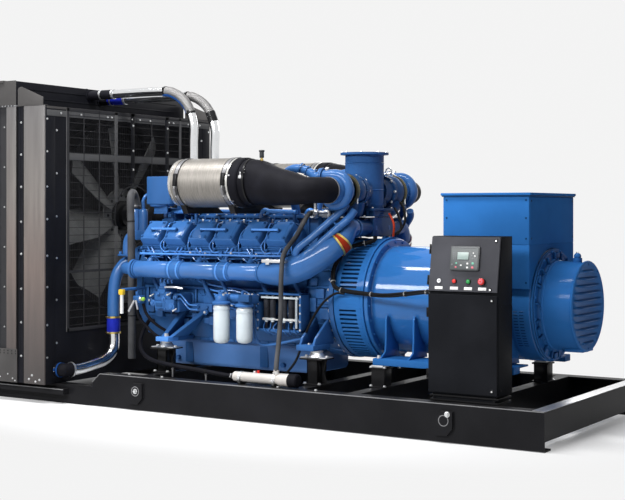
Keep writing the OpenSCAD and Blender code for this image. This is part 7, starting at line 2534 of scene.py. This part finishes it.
def skid_details():
    """Lighter lips along the rails, partly worn edges and partly painted highlights, a painted highlight strip on the
    end beam's top edge, lug plates with light rings round their holes as painted highlights, welds, bottom pads and
    beam cleats on the rolled sections.
    """
    p = Piece("skid_edges")
    top = rail_high.z
    for side in (1, -1):
        slab(p, side, (rail_low.x + 0.07, rail_high.x), (WEB - 0.0045, WEB + 0.0012),
            (top - 0.005, top + 0.0008), worn_edge_and_highlight_paint, 0.001)
        slab(p, side, (rail_low.x, rail_high.x), (WEB - 0.003, WEB + 0.0008), (0.0, 0.004), worn_edge_and_highlight_paint, 0.001)
        slab(p, side, (FRONT + 0.02, rail_low.x - 0.23), (RAIL + 0.0385, RAIL + 0.0412), (0.104, 0.1105),
            worn_edge_and_highlight_paint, 0.001)
        slope = shifted((rail_low.x, top), [(-0.001, -0.062), (0.07, -0.001), (0.071, -0.006),
            (0.002, -0.068)])
        p.prism_y(slope, *sorted((-side * (WEB - 0.004), -side * (WEB + 0.0015))), worn_edge_and_highlight_paint, 0.0)
        for x in LUGS:
            outline = [(x, 0.047), (x + 0.078, 0.047), (x + 0.118, 0.09), (x + 0.118, 0.193),
                (x + 0.04, 0.193), (x + 0.002, 0.155)]
            p.prism_y(outline, *sorted((-side * WEB, -side * (WEB + 0.0195))), skid_paint, 0.003)
            p.lathe([(0.0, 0.03), (0.0205, 0.03), (0.0205, 0.034), (0.019, 0.037), (0.0, 0.037)],
                facing(out(side, x + 0.06, WEB, 0.138), (0, -side, 0)), worn_edge_and_highlight_paint, 32)
    # The end beam's top edge strips are a painted highlight.
    p.box((beam_high.x - 0.086, -0.86, top - 0.001), (beam_high.x - 0.001, 0.86, top + 0.0012), beam_edge_highlight_paint,
        0.0004)
    p.box((beam_high.x - 0.006, -0.87, top - 0.004), (beam_high.x, 0.87, top + 0.0014), beam_edge_highlight_paint, 0.001)
    for x in (-0.72, 0.57, 1.0, 1.8):
        for side in (1, -1):
            slab(p, side, (x - 0.045, x + 0.045), (0.78, 0.79), (0.075, top - 0.012), skid_paint, 0.002)
    p.done("skid_black")
    places = [(out(side, x + dx, WEB + 0.0195, 0.138 + dz), vec(0, -side, 0)) for side in (1, -1) for x, dx,
        dz in ((LUGS[0], 0.06, 0.0), (LUGS[1], 0.085, 0.04))]
    bolts("lug_bolts", places, 0.014, 0.01)
    places = [(out(side, x + dx, 0.81, rail_high.z - 0.0005), UP) for side in (1, -1) for x in (-0.72, 0.57)
        for dx in (-0.15, 0.15)]
    places += [(out(side, x, 0.83, 0.014), UP) for side in (1, -1) for x in (-0.9, 0.0, 0.9, 2.1)]
    bolts("skid_bolts", places, 0.01)
    welds = []
    for side in (1, -1):
        for x in LUGS:
            ring_path = [(x - 0.002, 0.047), (x + 0.078, 0.045), (x + 0.12, 0.09), (x + 0.12, 0.193),
                (x + 0.04, 0.195), (x, 0.155), (x - 0.002, 0.047)]
            welds.append([(a, -side * (WEB + 0.001), b) for a, b in ring_path])
    tubes("lug_welds", welds, 0.003, skid_paint, 6, slot="skid_black")


def ease_edges():
    """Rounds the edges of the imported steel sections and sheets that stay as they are."""
    for name, width in (("skid_rail_near", 0.004), ("skid_rail_far", 0.004), ("skid_end_beam", 0.004),
            ("skid_cross_beams", 0.003), ("radiator_base_frame", 0.004), ("shroud_frame", 0.002),
            ("radiator_bottom_tank", 0.005), ("fan_shroud", 0.002), ("engine_block", 0.006)):
        bevel = nodes[name].modifiers.new("eased", "BEVEL")
        bevel.width = width
        bevel.segments = 2
        bevel.limit_method = "ANGLE"
        bevel.angle_limit = math.radians(40)
        bevel.harden_normals = True


cabinet_body()
door("upper_door_skin", "cabinet_upper_door", "upper_door", panel_place, 0.002, SLOPE - 0.006,
    ((WIDE - 0.028, SLOPE - 0.03), (WIDE - 0.048, 0.018)), UPPER_HINGES, panel_coat)
door("lower_door_skin", "cabinet_lower_door", "lower_door", at(CAB), 0.058, HIGH - PANEL - 0.014,
    ((WIDE - 0.035, HIGH - PANEL - 0.045), (WIDE - 0.035, 0.085)), LOWER_HINGES, cabinet_coat)
controls()
loom()
skid_details()
ease_edges()


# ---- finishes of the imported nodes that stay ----

NODE_PAINT = {
    skid_paint: ("skid_rail_near", "skid_rail_far", "skid_end_beam", "skid_cross_beams", "radiator_base_frame"),
    box_paint: ("radiator_bottom_tank", "shroud_frame", "fan_shroud"),
    fins: ("radiator_core",),
    cast_paint: ("engine_block",),
}

for material, names in NODE_PAINT.items():
    for name in names:
        slots = nodes[name].data.materials
        slots.clear()
        slots.append(material)


# ---- stage: floor, light and camera ----

PALE = (0.9, 0.9, 0.9)


def seen_by_glass(tree):
    """1 for what the camera, a reflection or glass sees, 0 for the light on the object."""
    path = tree.nodes.new("ShaderNodeLightPath")
    total = None
    for ray in ("Is Camera Ray", "Is Glossy Ray", "Is Transmission Ray"):
        if total is None:
            total = path.outputs[ray]
            continue
        both = tree.nodes.new("ShaderNodeMath")
        both.operation = "MAXIMUM"
        tree.links.new(total, both.inputs[0])
        tree.links.new(path.outputs[ray], both.inputs[1])
        total = both.outputs[0]
    return total


def studio_floor():
    """A pale floor that fades into the backdrop away from the set."""
    size = 60.0
    shape = bpy.data.meshes.new("floor")
    shape.from_pydata([(-size, -size, 0), (size, -size, 0), (size, size, 0), (-size, size, 0)], [],
        [(0, 1, 2, 3)])
    floor = bpy.data.objects.new("floor", shape)
    bpy.context.scene.collection.objects.link(floor)
    s = Sheet("floor")
    s.finish(shade(PALE, 0.93), 0.9, specular_ior_level=0.0)
    glow = s.add("Emission", {"Color": PALE, "Strength": 1.0})
    flat = s.add("VectorMath", {0: s.place, 1: (0.62, 1.0, 0.0)}, operation="MULTIPLY")
    distance = s.add("VectorMath", {0: flat}, out="Value", operation="LENGTH")
    away = distance.above(1.1, 2.3) * Wire(s, seen_by_glass(s.tree))
    mix = s.add("MixShader", {0: away, 1: Wire(s, s.shader.outputs[0]), 2: glow})
    s.tree.links.new(mix.socket, s.tree.nodes["Material Output"].inputs["Surface"])
    shape.materials.append(s.material)


def studio_world():
    world = bpy.data.worlds.new("studio")
    bpy.context.scene.world = world
    world.use_nodes = True
    tree = world.node_tree
    fill = tree.nodes["Background"]
    fill.inputs["Color"].default_value = (0.86, 0.9, 1.0, 1)
    fill.inputs["Strength"].default_value = 0.13
    pale = tree.nodes.new("ShaderNodeBackground")
    pale.inputs["Color"].default_value = (*PALE, 1)
    mix = tree.nodes.new("ShaderNodeMixShader")
    tree.links.new(seen_by_glass(tree), mix.inputs[0])
    tree.links.new(fill.outputs[0], mix.inputs[1])
    tree.links.new(pale.outputs[0], mix.inputs[2])
    tree.links.new(mix.outputs[0], tree.nodes["World Output"].inputs["Surface"])


def softbox(name, place, target, width, height, power):
    light = bpy.data.lights.new(name, "AREA")
    light.shape = "RECTANGLE"
    light.size, light.size_y = width, height
    light.energy = power
    lamp = bpy.data.objects.new(name, light)
    lamp.location = place
    lamp.rotation_euler = (Vector(target) - Vector(place)).to_track_quat("-Z", "Y").to_euler()
    bpy.context.scene.collection.objects.link(lamp)


def studio_light():
    middle = (0.2, 0, 0.9)
    softbox("overhead", (-0.7, -1.8, 6.2), (-0.7, -0.2, 0.9), 6.4, 0.7, 420)
    softbox("front", (-0.8, -7.0, 4.4), middle, 6.0, 1.2, 470)
    softbox("behind", (-1.0, 6.5, 4.0), middle, 6.0, 2.0, 150)


def studio_camera():
    """Level camera off the alternator end of the control side."""
    lens = bpy.data.cameras.new("camera")
    lens.sensor_width = 36
    lens.lens = 75.89
    lens.shift_y = -0.0624
    camera = bpy.data.objects.new("camera", lens)
    camera.location = (5.34, -8.13, 1.42)
    camera.rotation_euler = (math.radians(90), 0, math.radians(32.4))
    bpy.context.scene.collection.objects.link(camera)
    bpy.context.scene.camera = camera


bpy.context.scene.view_settings.view_transform = "Standard"
studio_floor()
studio_world()
studio_light()
studio_camera()
